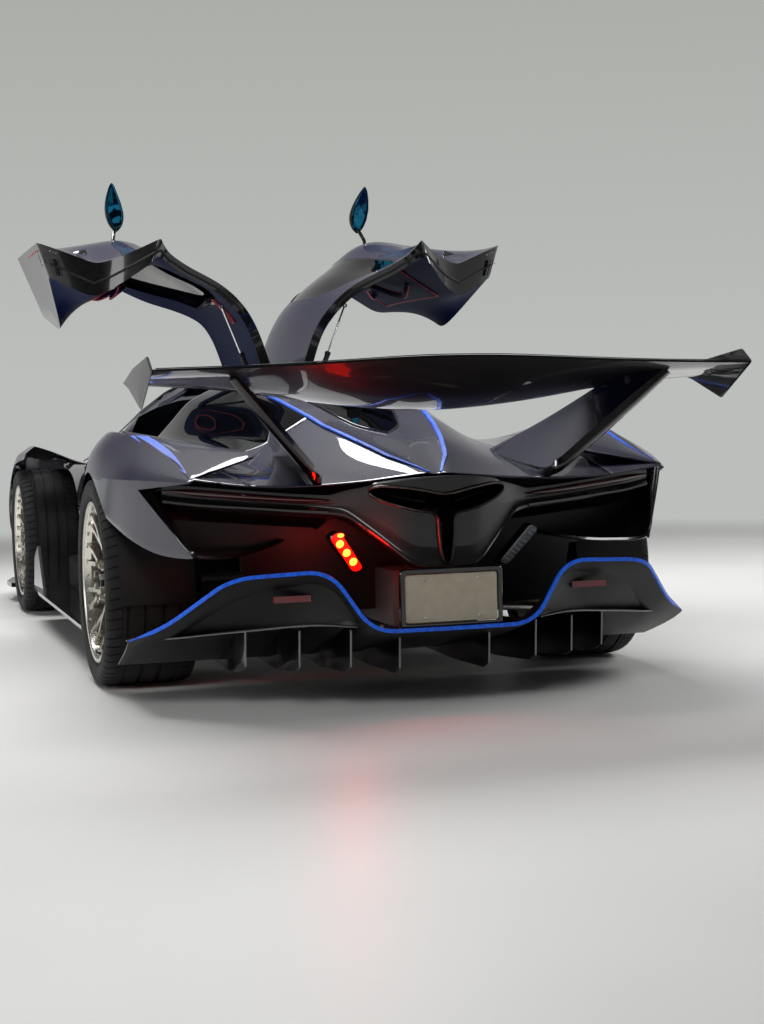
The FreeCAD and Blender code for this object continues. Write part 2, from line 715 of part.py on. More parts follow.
def starOutline(extra):
    """Three joined lobes in the XZ plane: two upper ones, nearly level, and one pointing down."""
    # columns: direction of the lobe, reach, half width at its middle, direction of the notch after it
    lobes = ((13, 236, 36, -38.5), (-90, 182, 27, -141.5), (167, 236, 36, 90))
    points = []
    for angle, reach, half, notch in lobes:
        out = V(math.cos(math.radians(angle)), math.sin(math.radians(angle)))
        across = V(-out.y, out.x)
        flank = ((0.42 * reach, half + extra), (0.82 * reach, 0.72 * half + extra), (reach + extra, 8))
        points += [out * distance + across * width for distance, width in flank]
        points += [out * distance - across * width for distance, width in flank[::-1]]
        points.append(V(math.cos(math.radians(notch)), math.sin(math.radians(notch))) * (38 + extra))
    return [(point.x, 632 + point.y) for point in points]


def makeExhaust():
    front = along(2080)
    outer = prismY(starOutline(0), front, along(2316))
    inner = prismY(starOutline(-8), front + 20, along(2330))
    pipe = rod((0, engineRear + seat, 575), (0, front + 10, 575), 38)
    return outer.cut(inner).fuse(pipe)


def makeTailLights():
    """Slanted lamp bars below the fascia, one each side of the outlet."""
    face = along(2124) + 6 + seat
    bar = prismY([(232, 438), (262, 426), (352, 542), (322, 556)], face, face + 66)
    return bothSides(bar)


def diffuserEdge():
    """Rear edge of the diffuser: x, y, z."""
    points = ((0, 2366, 258), (274, 2366, 260), (380, 2352, 450), (688, 2289, 438), (865, 2090, 278),
              (965, 1986, 228))
    return [(x, along(y), z) for x, y, z in points]


# Top side of the diffuser: (x, z) by station y.
diffuserStations = alongAll([
    (1560, [(0, 118), (274, 118), (380, 121), (688, 121), (865, 118), (965, 114)]),
    (1986, [(0, 168), (274, 168), (380, 268), (688, 262), (865, 222), (965, 228)]),
    (2380, [(0, 262), (274, 264), (380, 458), (688, 480), (865, 420), (965, 380)]),
])


def makeDiffuser():
    """Floor that rises behind the rear axle, with strakes below and two hangers above."""
    sheetPiece = skin(diffuserStations, 12)
    plan = [(x, y) for x, y, z in diffuserEdge()]
    plan = plan + edgeLine([(955, 1800), (650, 1762), (630, 1560), (0, 1560)])
    half = solids(sheetPiece.common(prismZ(plan, 0, 700)))[0]
    for x in (150, 310, 460, 611):
        outline = ((1620, 100), (1900, 96), (2150, 130), (2230, 230), (2240, 600), (1620, 600))
        strake = prismX(alongAll(outline), x - 4, x + 4)
        half = half.fuse(strake.common(below(diffuserStations, 6)))
    hanger = block(60, 90, along(1880), along(1920), 140, carrierFloor - seat)
    half = half.fuse(hanger)
    whole = half.fuse(mirrored(half))
    return solids(whole.removeSplitter())[0]


def makeDiffuserEdge():
    rings = []
    for x, y, z in diffuserEdge():
        rings.append([(x, y + seat, z + 4), (x, y + 12, z + 4), (x, y + 12, z - 14),
                      (x, y + seat, z - 14)])
    half = ruled(rings)
    return half.fuse(mirrored(half)).removeSplitter()


def makeWing():
    # columns: x, front y, front z, belly y, belly z, knee y, knee z, rear y, rear z
    stations = ((0, 2030, 1000, 2140, 932, 2345, 976, 2520, 1103),
                (380, 2045, 1015, 2150, 960, 2350, 1000, 2520, 1090),
                (640, 2065, 1038, 2160, 1004, 2370, 1036, 2522, 1079),
                (952, 2120, 1052, 2200, 1030, 2390, 1040, 2524, 1072))
    rings = []
    for x, fy, fz, by, bz, ky, kz, ry, rz in stations:
        section = ((fy, fz), (by, bz), (ky, kz), (ry, rz - 8), (ry, rz), (ky - 20, kz + 38),
                   (by, bz + 52))
        rings.append([(x, along(y), z) for y, z in section])
    half = ruled(rings)
    return half.fuse(mirrored(half)).removeSplitter()


def makeEndplates():
    outline = ((2000, 1042), (2110, 1020), (2322, 953), (2533, 1068), (2465, 1114), (2200, 1085))
    plate = prismX(alongAll(outline), 952 + seat, 964)
    return bothSides(plate)


def makePylons(wing):
    """Outward-leaning fins from the deck to the wing."""
    # columns: x, front y, rear y, front z, rear z, half thickness
    ends = ((358, 1560, 2176, 740, 680, 8), (686, 2310, 2475, 1080, 1120, 6))
    rings = []
    for x, front, rear, frontZ, rearZ, half in ends:
        a = along(front)
        b = along(rear)
        rings.append([(x - half, a, frontZ), (x + half, a, frontZ), (x + half, b, rearZ),
                      (x - half, b, rearZ)])
    deck = below(portion(rearBody, 0, 8), -seat)
    return solids(ruled(rings).cut(wing).cut(deck))[0]


def makeSkirts(tub):
    """Aero blade along each sill, its front end turned up as a fin."""
    blade = prismZ(edgeLine([(700, -880), (948, -880), (968, -500), (972, 930), (830, 930), (770, 500)]),
                   152, 166)
    fin = prismX(alongAll([(-890, 152), (-840, 300), (-700, 360), (-520, 166), (-520, 152)]), 934, 946)
    return bothSides(solids(blade.fuse(fin).cut(tub).removeSplitter())[0])


# ---------------------------------------------------------------- wheels
# A wheel's pieces are drawn about their own axis: local Z points out of the car's side
# and local Y to the back; columns of every outline are radius and height along the axis.
hubRadius = 74
hubInner = 22


def plane(body, role):
    return [f for f in body.Origin.OriginFeatures if f.Role == role][0]


def at(offset, **shares):
    """A length as its value and as the expression on the sheet's cells that keeps it so."""
    value = offset + sum(share * size(cell) for cell, share in shares.items())
    text = "%g" % offset + "".join(" + %g * Sizes.%s" % (share, cell) for cell, share in shares.items())
    return value, text


def amount(length):
    return length[0] if isinstance(length, tuple) else length


def newSketch(body, name, role, points):
    """A closed outline of straight edges, each corner held to its own cells or numbers."""
    sketch = body.newObject("Sketcher::SketchObject", name)
    sketch.AttachmentSupport = [(plane(body, role), "")]
    sketch.MapMode = "FlatFace"
    corners = [V(amount(a), amount(b)) for a, b in points]
    count = len(corners)
    for i, corner in enumerate(corners):
        sketch.addGeometry(Part.LineSegment(corner, corners[(i + 1) % count]), False)
    for i in range(count):
        sketch.addConstraint(Sketcher.Constraint("Coincident", i, 2, (i + 1) % count, 1))
    for i, point in enumerate(points):
        for kind, length in zip(("DistanceX", "DistanceY"), point):
            rule = sketch.addConstraint(Sketcher.Constraint(kind, -1, 1, i, 1, amount(length)))
            if isinstance(length, tuple):
                sketch.setExpression("Constraints[%d]" % rule, length[1])
    return sketch


def revolved(body, name, points, kind="PartDesign::Revolution"):
    sketch = newSketch(body, name, "XZ_Plane", points)
    feature = body.newObject(kind, name + "Turned")
    feature.Profile = sketch
    feature.ReferenceAxis = (sketch, ["V_Axis"])
    feature.Angle = 360
    doc.recompute()
    return feature


def makeRim(label, end):
    """Forged rim: turned barrel and hub, ten split spokes, dished on both faces."""
    rim = end + "RimRadius"
    width = end + "TyreWidth"
    body = doc.addObject("PartDesign::Body", label)
    bore = at(0, spindleRadius=1, runningFit=1)

    def r(offset):
        return at(offset, **{rim: 1})

    def out(offset):
        return at(offset, **{width: 0.5})

    def back(offset):
        return at(offset, **{width: -0.5})

    revolved(body, "barrel", [(r(0), out(-14)), (r(0), out(-22)), (r(-17), out(-27)), (r(-17), back(27)),
                              (r(0), back(22)), (r(0), back(14)), (r(-27), back(14)), (r(-27), out(-38)),
                              (r(-15), out(-14))])
    revolved(body, "hub", [(bore, hubInner), (hubRadius, hubInner), (hubRadius, out(-64)),
                           (52, out(-54)), (bore, out(-54))])
    outer = size(rim) - 24
    fork = hubRadius + (outer - hubRadius) * 0.42
    arm = [(hubRadius - 8, -10), (fork, -9), (r(-24), -42), (r(-24), -27), (fork + 26, 0), (r(-24), 27),
           (r(-24), 42), (fork, 9), (hubRadius - 8, 10)]
    sketch = newSketch(body, "spoke", "XY_Plane", arm)
    pad = body.newObject("PartDesign::Pad", "spokePad")
    pad.Profile = sketch
    pad.setExpression("Length", "0.5 * Sizes.%s - 22" % width)
    doc.recompute()
    pattern = body.newObject("PartDesign::PolarPattern", "spokes")
    pattern.Originals = [pad]
    pattern.Axis = (sketch, ["N_Axis"])
    pattern.Angle = 360
    pattern.Occurrences = 10
    body.Tip = pattern
    doc.recompute()
    solid = body.Shape.Volume
    revolved(body, "back", [(50, -2), (50, hubInner), (hubRadius, hubInner), (hubRadius + 0.5, hubInner + 6),
                            (r(-54), out(-68)), (r(-23), out(-54)), (r(-23), -2)],
             "PartDesign::Groove")
    revolved(body, "face", [(hubRadius + 0.5, out(-14)), (hubRadius + 0.5, out(-66)),
                            (r(-64), out(-38)), (r(-23), out(-23)), (r(-23), out(-14))],
             "PartDesign::Groove")
    if body.Shape.Volume > solid * 0.95:
        raise RuntimeError("the rim's dish removed nothing")
    return body


def makeDisc(label):
    """Brake disc and its bell, face to face with the hub."""
    body = doc.addObject("PartDesign::Body", label)
    face = -28
    rear = at(face, discThickness=-1)
    revolved(body, "disc", [(42, hubInner - seat), (98, hubInner - seat), (112, 8), (112, face),
                            (190, face), (190, rear), (100, rear), (100, 4), (92, 13), (42, 13)])
    return body


def makeTyre(label, end):
    """Low-profile tyre: a hollow carcass that sits between the rim's flanges."""
    tread = end + "TyreRadius"
    rim = end + "RimRadius"
    width = end + "TyreWidth"
    body = doc.addObject("PartDesign::Body", label)
    gapToRim = at(0.6, **{rim: 1})
    foot = at(-16.7, **{rim: 1})
    middle = at(0, **{rim: 0.5, tread: 0.5})
    # columns: radius, share of the width towards the outer side, offset along the axis
    outside = ((foot, 0.5, -27.3), (gapToRim, 0.5, -23.3), (gapToRim, 0.5, -12), (middle, 0.5, 0),
               (at(-12, **{tread: 1}), 0.5, -7), (at(0, **{tread: 1}), 0.5, -42))
    inside = ((at(-15, **{tread: 1}), 0.5, -34), (middle, 0.5, -15), (foot, 0.5, -40.3))
    front = [(radius, at(offset, **{width: share})) for radius, share, offset in outside]
    rear = [(radius, at(-offset, **{width: -share})) for radius, share, offset in outside[::-1]]
    innerRear = [(radius, at(-offset, **{width: -share})) for radius, share, offset in inside[::-1]]
    innerFront = [(radius, at(offset, **{width: share})) for radius, share, offset in inside]
    revolved(body, "carcass", front + rear + innerRear + innerFront)
    return body


def wheelPlacement(x, y, z, side):
    turn = FreeCAD.Rotation(V(0, 0, 1), V(side, 0, 0))
    return FreeCAD.Placement(V(side * x, y, z), turn)


# columns: name, axle's y, track half, tyre radius, the axle's y on the sheet's cells
axles = (("front", frontAxle, size("frontTrackHalf"), size("frontTyreRadius"),
          "0.5 * Sizes.overallLength - Sizes.rearOverhang - Sizes.wheelbase"),
         ("rear", rearAxle, size("rearTrackHalf"), size("rearTyreRadius"),
          "0.5 * Sizes.overallLength - Sizes.rearOverhang"))


def makeWheels():
    for end, y, track, radius, axleText in axles:
        for side, hand in ((1, "left"), (-1, "right")):
            label = end + "_" + hand
            wheel = doc.addObject("Part::Compound", "wheel_" + label)
            wheel.Label = "wheel_" + label
            wheel.Links = [makeRim("rim_" + label, end), makeDisc("disc_" + label)]
            tyre = makeTyre("tyre_" + label, end)
            for item in (wheel, tyre):
                item.Placement = wheelPlacement(track, y, radius, side)
                item.setExpression(".Placement.Base.x", "%d * Sizes.%sTrackHalf" % (side, end))
                item.setExpression(".Placement.Base.y", axleText)
                item.setExpression(".Placement.Base.z", "Sizes.%sTyreRadius" % end)
                parts.append(item)


pinHeight = 158
kingpinRadius = 8


def makeUpright(offset, caliperSide):
    """Upright with spindle and brake caliper, about the wheel's axis."""
    up = Part.makeCylinder(17, 2 * pinHeight, V(-pinHeight, 0, offset), V(1, 0, 0))
    web = Part.makeCylinder(62, 30, V(0, 0, offset - 15), V(0, 0, 1))
    blade = Part.makeBox(2 * pinHeight - 60, 50, 22, V(-pinHeight + 30, -25, offset - 11))
    spindle = Part.makeCylinder(size("spindleRadius"), hubInner + 50 - offset, V(0, 0, offset),
                                V(0, 0, 1))
    shape = up.fuse([web, blade, spindle])
    outline = [(138, -92), (228, -92), (228, -2), (138, -2), (138, -22), (196, -22), (196, -66),
               (138, -66)]
    face = Part.Face(Part.makePolygon([V(0, r * caliperSide, a) for r, a in outline + outline[:1]]))
    turn = FreeCAD.Rotation(V(0, 0, 1), -26)
    caliper = face.revolve(V(0, 0, 0), V(0, 0, 1), 52)
    caliper.Placement = FreeCAD.Placement(V(0, 0, 0), turn)
    bracket = Part.makeBox(46, 110, 16, V(-23, 48 if caliperSide > 0 else -158, -92))
    shape = shape.fuse([caliper, bracket])
    for end in (-1, 1):
        bore = Part.makeCylinder(kingpinRadius + size("runningFit"), 45,
                                 V(end * (pinHeight - 40), 0, offset), V(end, 0, 0))
        shape = shape.cut(bore)
    return shape.removeSplitter()


def makeKnuckles():
    y, track, radius = axles[0][1:4]
    offset = size("kingpinHalf") - track
    upright = makeUpright(offset, 1)
    lug = Part.makeBox(24, lugReach + 12, 18, V(66, -lugReach - 12, offset - 9))
    eye = Part.makeCylinder(14, 24, V(66, -lugReach, offset), V(1, 0, 0))
    hole = Part.makeCylinder(6.1, 40, V(60, -lugReach, offset), V(1, 0, 0))
    upright = upright.fuse([lug, eye]).cut(hole)
    for side, hand in ((1, "left"), (-1, "right")):
        shape = upright if side > 0 else upright.mirror(V(0, 0, 0), V(1, 0, 0))
        keep("knuckle_front_" + hand, shape, wheelPlacement(track, y, radius, side))


def wishbone(ball, y0, y1, inner, height, rise):
    """A-arm of two tubes from a ball joint's eye to two inboard feet, as (x, y, z)."""
    x, y, z = ball
    shape = Part.makeCylinder(17, 20, V(x, y, z - 10))
    for foot in (y0, y1):
        shape = shape.fuse(rod((x, y, z), (inner, foot, height), 12))
        shape = shape.fuse(rod((inner, foot - 16, height), (inner, foot + 16, height), 14))
    pin = Part.makeCylinder(kingpinRadius, 46, V(x, y, z), V(0, 0, -rise))
    return shape.fuse(pin)


def makeSuspension():
    y, radius = axles[0][1], axles[0][3]
    x = size("kingpinHalf")
    inner = size("footwellHalf") + 14 + seat
    top = radius + pinHeight + 18
    low = radius - pinHeight - 18
    half = wishbone((x, y, top), y - 110, y + 120, inner, 480, 1)
    arms = together([half, wishbone((x, y, low), y - 130, y + 150, inner, 200, -1)])
    keep("front_suspension", bothSides(arms))

    y, track, radius = axles[1][1:4]
    offset = -83
    upright = makeUpright(offset, -1)
    upright.Placement = wheelPlacement(track, y, radius, 1)
    x = track + offset
    inner = size("engineHalf") + 14 + seat
    half = wishbone((x, y, radius + pinHeight + 18), y - 120, y + 130, inner, 500, 1)
    half2 = wishbone((x, y, radius - pinHeight - 18), y - 130, y + 150, inner, 220, -1)
    shaft = rod((x - 15, y, radius), (size("engineHalf") + seat, y, radius), 15)
    arms = together([half.cut(upright), half2.cut(upright), upright.fuse(shaft)])
    keep("rear_suspension", bothSides(arms))


def makeRack():
    """Steering rack with both track rods: slides across the car."""
    x = size("kingpinHalf")
    eyeY, level = rackAxis()
    bar = rod((-x + 4, eyeY, level), (x - 4, eyeY, level), rackRadius)
    for side in (-1, 1):
        bar = bar.fuse(Part.makeCylinder(11, 18, V(side * x, eyeY, level - 9)))
    keep("steering_rack", bar.removeSplitter())


# ---------------------------------------------------------------- cabin
def makeCabin():
    # side view of one bucket seat: y, z from the middle of the cabin
    shell = [(-330, 175), (-300, 262), (-120, 236), (60, 214), (150, 300), (262, 560), (330, 800),
             (372, 838), (402, 820), (380, 600), (300, 330), (230, 175)]
    seatPiece = prismX(shell, 62, 412)
    hollow = prismX([(-360, 300), (-130, 276), (50, 254), (116, 318), (226, 570), (300, 900),
                     (-360, 900)], 100, 374)
    bolster = prismX([(-300, 175), (-270, 330), (-60, 330), (60, 330), (150, 420), (262, 640),
                      (300, 720), (340, 700), (300, 420), (230, 175)], 62, 412).cut(hollow)
    seatPiece = seatPiece.fuse(bolster)
    floorTop = size("floorHeight") + size("floorWall")
    base = block(110, 364, -240, 200, floorTop + seat, 176)
    whole = seatPiece.fuse(base).removeSplitter()
    whole.translate(V(0, along(0), 0))
    keep("seats", bothSides(whole))

    cowl = along(-900)
    # columns: x, reach of the rear face from the cowl, lower z, upper z
    stations = ((0, 260, 545, 700), (250, 240, 548, 704), (420, 200, 580, 690), (560, 140, 600, 670))
    rings = []
    for x, reach, low, high in stations:
        rings.append([(x, cowl + reach, low), (x, cowl + reach - 30, high), (x, cowl, high + 6),
                      (x, cowl + seat, low)])
    half = ruled(rings)
    console = prismX([(cowl + 12, floorTop + seat), (cowl + 12, 560), (cowl + 180, 560),
                      (cowl + 340, 300), (along(300), 270), (along(300), floorTop + seat)], -48, 48)
    dash = half.fuse(mirrored(half)).fuse(console)
    dash = dash.removeSplitter()
    column = rod(columnAt(-260), columnAt(-60), 24)
    keep("dashboard", dash.fuse(column).cut(rod(columnAt(-120), columnAt(-50), wheelShaft + 0.05)))


wheelShaft = 12
columnSide = 237
columnTilt = 22


def columnAt(reach):
    """A point on the steering column's axis, measured back from the wheel's hub."""
    rake = math.radians(columnTilt)
    return (columnSide, along(-900) + 480 + reach * math.cos(rake), 655 + reach * math.sin(rake))


def makeSteeringWheel():
    """Flat-bottomed rim with three spokes on a short shaft."""
    outline = [(-150, -70), (-158, 20), (-150, 80), (-120, 118), (120, 118), (150, 80), (158, 20),
               (150, -70), (110, -108), (-110, -108)]
    inner = [(x * 0.82, y * 0.8) for x, y in outline]
    rim = prismZ(outline, -12, 12).cut(prismZ(inner, -20, 20))
    spokes = block(-132, 132, -20, 20, -8, 8).fuse(block(-18, 18, -92, 0, -8, 8))
    hub = Part.makeCylinder(38, 30, V(0, 0, -22))
    shaft = Part.makeCylinder(wheelShaft, 100, V(0, 0, -112))
    shape = rim.fuse([spokes, hub, shaft]).removeSplitter()
    back = V(*columnAt(0)) - V(*columnAt(-100))
    turn = FreeCAD.Rotation(V(1, 0, 0), V(0, 0, 1), back, "ZXY")
    keep("steering_wheel", shape, FreeCAD.Placement(V(*columnAt(0)), turn))


engineRear = along(1200)
carrierFloor = 240


def makeEngine():
    """Engine, gearbox and crash beam as plain boxes at their real places."""
    # columns: name, half width, y of its front and rear, z of its floor, height
    boxes = (("crank", size("engineHalf"), along(640), engineRear, size("engineFloor"),
              size("engineHeight")),
             ("gearbox", size("engineHalf"), engineRear, along(1520), 170, 350),
             ("crashBeam", 120, along(1520), along(2110), carrierFloor, 180),
             ("bellhousing", 200, tubRear + seat, along(640), 200, 360))
    items = []
    for name, half, front, rear, floor, height in boxes:
        item = doc.addObject("Part::Box", name)
        item.Length = 2 * half
        item.Width = rear - front
        item.Height = height
        item.Placement.Base = V(-half, front, floor)
        items.append(item)
    for item in items[:2]:
        item.setExpression("Length", "2 * Sizes.engineHalf")
        item.setExpression(".Placement.Base.x", "-Sizes.engineHalf")
    items[0].setExpression("Height", "Sizes.engineHeight")
    items[0].setExpression(".Placement.Base.z", "Sizes.engineFloor")
    fused = doc.addObject("Part::MultiFuse", "engine")
    fused.Label = "engine"
    fused.Shapes = items
    parts.append(fused)


def makePlate():
    """Blank number plate with four holes."""
    body = doc.addObject("PartDesign::Body", "number_plate")
    left = at(0, plateWidth=-0.5)
    right = at(0, plateWidth=0.5)
    low = at(0, plateHeight=-0.5)
    high = at(0, plateHeight=0.5)
    sketch = newSketch(body, "sheet", "XY_Plane", [(left, low), (right, low), (right, high), (left, high)])
    for sx in (-0.5, 0.5):
        for sz in (-0.5, 0.5):
            place = (at(0, plateHoleSpacingX=sx), at(0, plateHoleSpacingZ=sz))
            radius = size("plateHoleRadius")
            hole = sketch.addGeometry(Part.Circle(V(place[0][0], place[1][0]), V(0, 0, 1), radius), False)
            for kind, (value, text) in zip(("DistanceX", "DistanceY"), place):
                rule = sketch.addConstraint(Sketcher.Constraint(kind, -1, 1, hole, 3, value))
                sketch.setExpression("Constraints[%d]" % rule, text)
            rule = sketch.addConstraint(Sketcher.Constraint("Radius", hole, radius))
            sketch.setExpression("Constraints[%d]" % rule, "Sizes.plateHoleRadius")
    pad = body.newObject("PartDesign::Pad", "sheetPad")
    pad.Profile = sketch
    pad.setExpression("Length", "Sizes.plateSheet")
    doc.recompute()
    turn = FreeCAD.Rotation(V(0, 0, 1), V(0, 1, 0))
    body.Placement = FreeCAD.Placement(V(0, along(2334) + seat, 348), turn)
    parts.append(body)


def build():
    tub = makeTub()
    keep("tub", tub)
    keep("windscreen", makeWindscreen())
    keep("roof_spine", makeRoofSpine(tub))
    makeDoors()
    makeStruts()
    makeFront()
    makeRear()
    keep("roof_scoop", makeScoop())
    keep("exhaust", makeExhaust())
    keep("tail_lights", makeTailLights())
    keep("diffuser", makeDiffuser())
    keep("diffuser_edge", makeDiffuserEdge())
    wing = makeWing()
    keep("wing", wing)
    keep("wing_endplates", makeEndplates())
    keep("wing_pylons", bothSides(makePylons(wing)))
    keep("side_skirts", makeSkirts(tub))
    makeWheels()
    makeKnuckles()
    makeSuspension()
    makeRack()
    makeCabin()
    makeSteeringWheel()
    makeEngine()
    makePlate()


build()
doc.recompute()
for item in doc.Objects:
    if "Invalid" in item.State or "Error" in item.State:
        raise RuntimeError("failed: " + item.Name)
os.makedirs("parts", exist_ok=True)
for part in parts:
    if part.Shape.isNull() or not part.Shape.isValid():
        raise RuntimeError("no valid shape: " + part.Label)
    part.Shape.exportStep("parts/%s.step" % part.Label)
    print("%-22s %2d solids %9.1f cm3" % (part.Label, len(part.Shape.Solids), part.Shape.Volume / 1000))
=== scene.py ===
import math

import bmesh
import bpy
from mathutils import Matrix, Vector
from mathutils.bvhtree import BVHTree


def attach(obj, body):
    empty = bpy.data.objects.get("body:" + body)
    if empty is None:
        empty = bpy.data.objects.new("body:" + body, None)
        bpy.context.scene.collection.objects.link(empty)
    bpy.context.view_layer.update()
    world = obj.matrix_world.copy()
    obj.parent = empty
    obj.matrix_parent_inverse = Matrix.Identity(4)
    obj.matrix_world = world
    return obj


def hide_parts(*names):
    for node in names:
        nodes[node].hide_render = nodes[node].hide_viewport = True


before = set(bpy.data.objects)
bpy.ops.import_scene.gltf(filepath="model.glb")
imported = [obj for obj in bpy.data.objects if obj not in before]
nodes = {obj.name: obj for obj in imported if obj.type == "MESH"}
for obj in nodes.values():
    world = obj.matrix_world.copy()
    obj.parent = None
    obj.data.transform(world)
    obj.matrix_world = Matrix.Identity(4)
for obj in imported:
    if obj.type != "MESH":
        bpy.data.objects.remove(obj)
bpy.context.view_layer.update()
scene = bpy.context.scene
print("frame loaded,", len(nodes), "nodes")


def linear(text):
    # sRGB hex to linear colour
    values = [int(text[i:i + 2], 16) / 255 for i in (1, 3, 5)]
    return [v / 12.92 if v <= 0.04045 else ((v + 0.055) / 1.055) ** 2.4 for v in values] + [1]


def addNode(tree, kind, settings=None, links=None, into=None):
    # settings are properties or inputs, links are {input: (node, output)}, into is {output: (node, input)}
    node = tree.nodes.new(kind)
    for name, value in (settings or {}).items():
        if name == "stops":
            elements = node.color_ramp.elements
            while len(elements) < len(value):
                elements.new(0.5)
            for element, (place, colour) in zip(elements, value):
                element.position = place
                element.color = linear(colour) if isinstance(colour, str) else (colour, colour, colour, 1)
        elif isinstance(name, int) or not hasattr(node, name):
            node.inputs[name].default_value = value
        else:
            setattr(node, name, value)
    for name, (source, output) in (links or {}).items():
        tree.links.new(source.outputs[output], node.inputs[name])
    for name, (target, socket) in (into or {}).items():
        tree.links.new(node.outputs[name], target.inputs[socket])
    return node


def newMaterial(name, settings):
    material = bpy.data.materials.new(name)
    material.use_nodes = True
    tree = material.node_tree
    tree.nodes.clear()
    shader = addNode(tree, "ShaderNodeBsdfPrincipled", settings)
    addNode(tree, "ShaderNodeOutputMaterial", {}, {"Surface": (shader, "BSDF")})
    return material, tree, shader


def mm(points):
    # millimetres, as the tables are written, to metres
    return [tuple(value / 1000 for value in point) for point in points]


def meshObject(name, points, faces, materials, slots=None):
    mesh = bpy.data.meshes.new(name)
    mesh.from_pydata([tuple(p) for p in points], [], faces)
    for material in materials:
        mesh.materials.append(material)
    if slots:
        for polygon, index in zip(mesh.polygons, slots):
            polygon.material_index = index
    mesh.update()
    item = bpy.data.objects.new(name, mesh)
    scene.collection.objects.link(item)
    return item


def settle(item, angle=35):
    # modifiers are applied to a plain mesh, and edges sharper than the angle stay sharp
    bpy.context.view_layer.update()
    final = bpy.data.meshes.new_from_object(item.evaluated_get(bpy.context.evaluated_depsgraph_get()))
    item.modifiers.clear()
    old = item.data
    item.data = final
    if old.users == 0:
        bpy.data.meshes.remove(old)
    final.name = item.name
    shade(item, angle)
    return item


def shade(item, angle=35):
    work = bmesh.new()
    work.from_mesh(item.data)
    limit = math.radians(angle)
    for face in work.faces:
        face.smooth = True
    for edge in work.edges:
        edge.smooth = len(edge.link_faces) == 2 and edge.calc_face_angle(0) < limit
    work.to_mesh(item.data)
    work.free()


def modifier(item, kind, **settings):
    new = item.modifiers.new(kind.lower(), kind)
    for name, value in settings.items():
        setattr(new, name, value)
    return new


def refine(item, level):
    modifier(item, "SUBSURF", levels=level, render_levels=level)


def crease(item, sharp):
    # sharp is a list of (one corner, other corner, weight)
    layer = item.data.attributes.new("crease_edge", "FLOAT", "EDGE")
    weights = {tuple(sorted((a, b))): weight for a, b, weight in sharp}
    for edge in item.data.edges:
        layer.data[edge.index].value = weights.get(tuple(sorted(edge.vertices)), 0)


def cage(name, rows, materials, rowLines=(), columnLines=(), loop=False, skip=None, slot=None):
    # rows of points become quads; rowLines and columnLines are (index, first, last, weight)
    width = len(rows[0])
    points = [point for row in rows for point in row]
    faces = []
    slots = []
    for i in range(len(rows) - 1):
        for j in range(width if loop else width - 1):
            if skip and skip(i, j):
                continue
            k = (j + 1) % width
            faces.append((i * width + j, i * width + k, (i + 1) * width + k, (i + 1) * width + j))
            slots.append(slot(i, j) if slot else 0)
    item = meshObject(name, points, faces, materials, slots)
    sharp = []
    for i, first, last, weight in rowLines:
        for j in range(first, last):
            sharp.append((i * width + j, i * width + (j + 1) % width, weight))
    for j, first, last, weight in columnLines:
        for i in range(first, last):
            sharp.append((i * width + j, (i + 1) * width + j, weight))
    crease(item, sharp)
    return item


def turnOutwards(item):
    work = bmesh.new()
    work.from_mesh(item.data)
    bmesh.ops.remove_doubles(work, verts=work.verts, dist=1e-5)
    bmesh.ops.recalc_face_normals(work, faces=work.faces)
    work.to_mesh(item.data)
    work.free()


def sealEnds(item):
    # open ends are closed with one face each, and every face is turned outwards
    work = bmesh.new()
    work.from_mesh(item.data)
    bmesh.ops.holes_fill(work, edges=[e for e in work.edges if len(e.link_faces) == 1])
    work.to_mesh(item.data)
    work.free()
    turnOutwards(item)


def mirrorAcross(item):
    # adds the piece's mirror image across the centre plane to its own mesh
    work = bmesh.new()
    work.from_mesh(item.data)
    copied = bmesh.ops.duplicate(work, geom=work.verts[:] + work.edges[:] + work.faces[:])["geom"]
    for vert in copied:
        if isinstance(vert, bmesh.types.BMVert):
            vert.co.x = -vert.co.x
    bmesh.ops.reverse_faces(work, faces=[f for f in copied if isinstance(f, bmesh.types.BMFace)])
    work.to_mesh(item.data)
    work.free()


def twin(item, name, body):
    # the same piece for the other side of the car
    other = bpy.data.objects.new(name, item.data.copy())
    scene.collection.objects.link(other)
    other.data.transform(Matrix.Scale(-1, 4, (1, 0, 0)))
    other.data.flip_normals()
    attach(other, body)
    return other


def joined(name, items):
    # several pieces of one body become one mesh, each with its own materials
    target = items[0]
    if len(items) > 1:
        with bpy.context.temp_override(active_object=target, object=target, selected_objects=items,
                                       selected_editable_objects=items):
            bpy.ops.object.join()
    target.name = name
    target.data.name = name
    return target


def cutAway(item, cutter, operation="DIFFERENCE"):
    modifier(item, "BOOLEAN", object=cutter, operation=operation, solver="EXACT")
    settle(item)
    bpy.data.objects.remove(cutter)
    return item


def prismAlong(name, outline, axis, low, high, materials):
    # a straight prism; the outline's two numbers are the other two axes in order
    count = len(outline)
    points = []
    for level in (low, high):
        for a, b in outline:
            point = [a, b]
            point.insert(axis, level)
            points.append(point)
    faces = [tuple(range(count))[::-1], tuple(range(count, 2 * count))]
    for i in range(count):
        k = (i + 1) % count
        faces.append((i, k, count + k, count + i))
    item = meshObject(name, points, faces, materials)
    turnOutwards(item)
    return item


def waysAlong(points, closed):
    # the direction of a path at each of its points
    ways = []
    for i, point in enumerate(points):
        before = points[i - 1] if i or closed else point
        after = points[(i + 1) % len(points)] if i < len(points) - 1 or closed else point
        ways.append((after - before).normalized())
    return ways


def barFrom(name, rows, materials, closed):
    # a bar from the rings of points along it; its ends are closed unless it runs all the way round
    item = cage(name, rows + rows[:1] if closed else rows, materials, loop=True)
    if closed:
        turnOutwards(item)
    else:
        sealEnds(item)
    return item


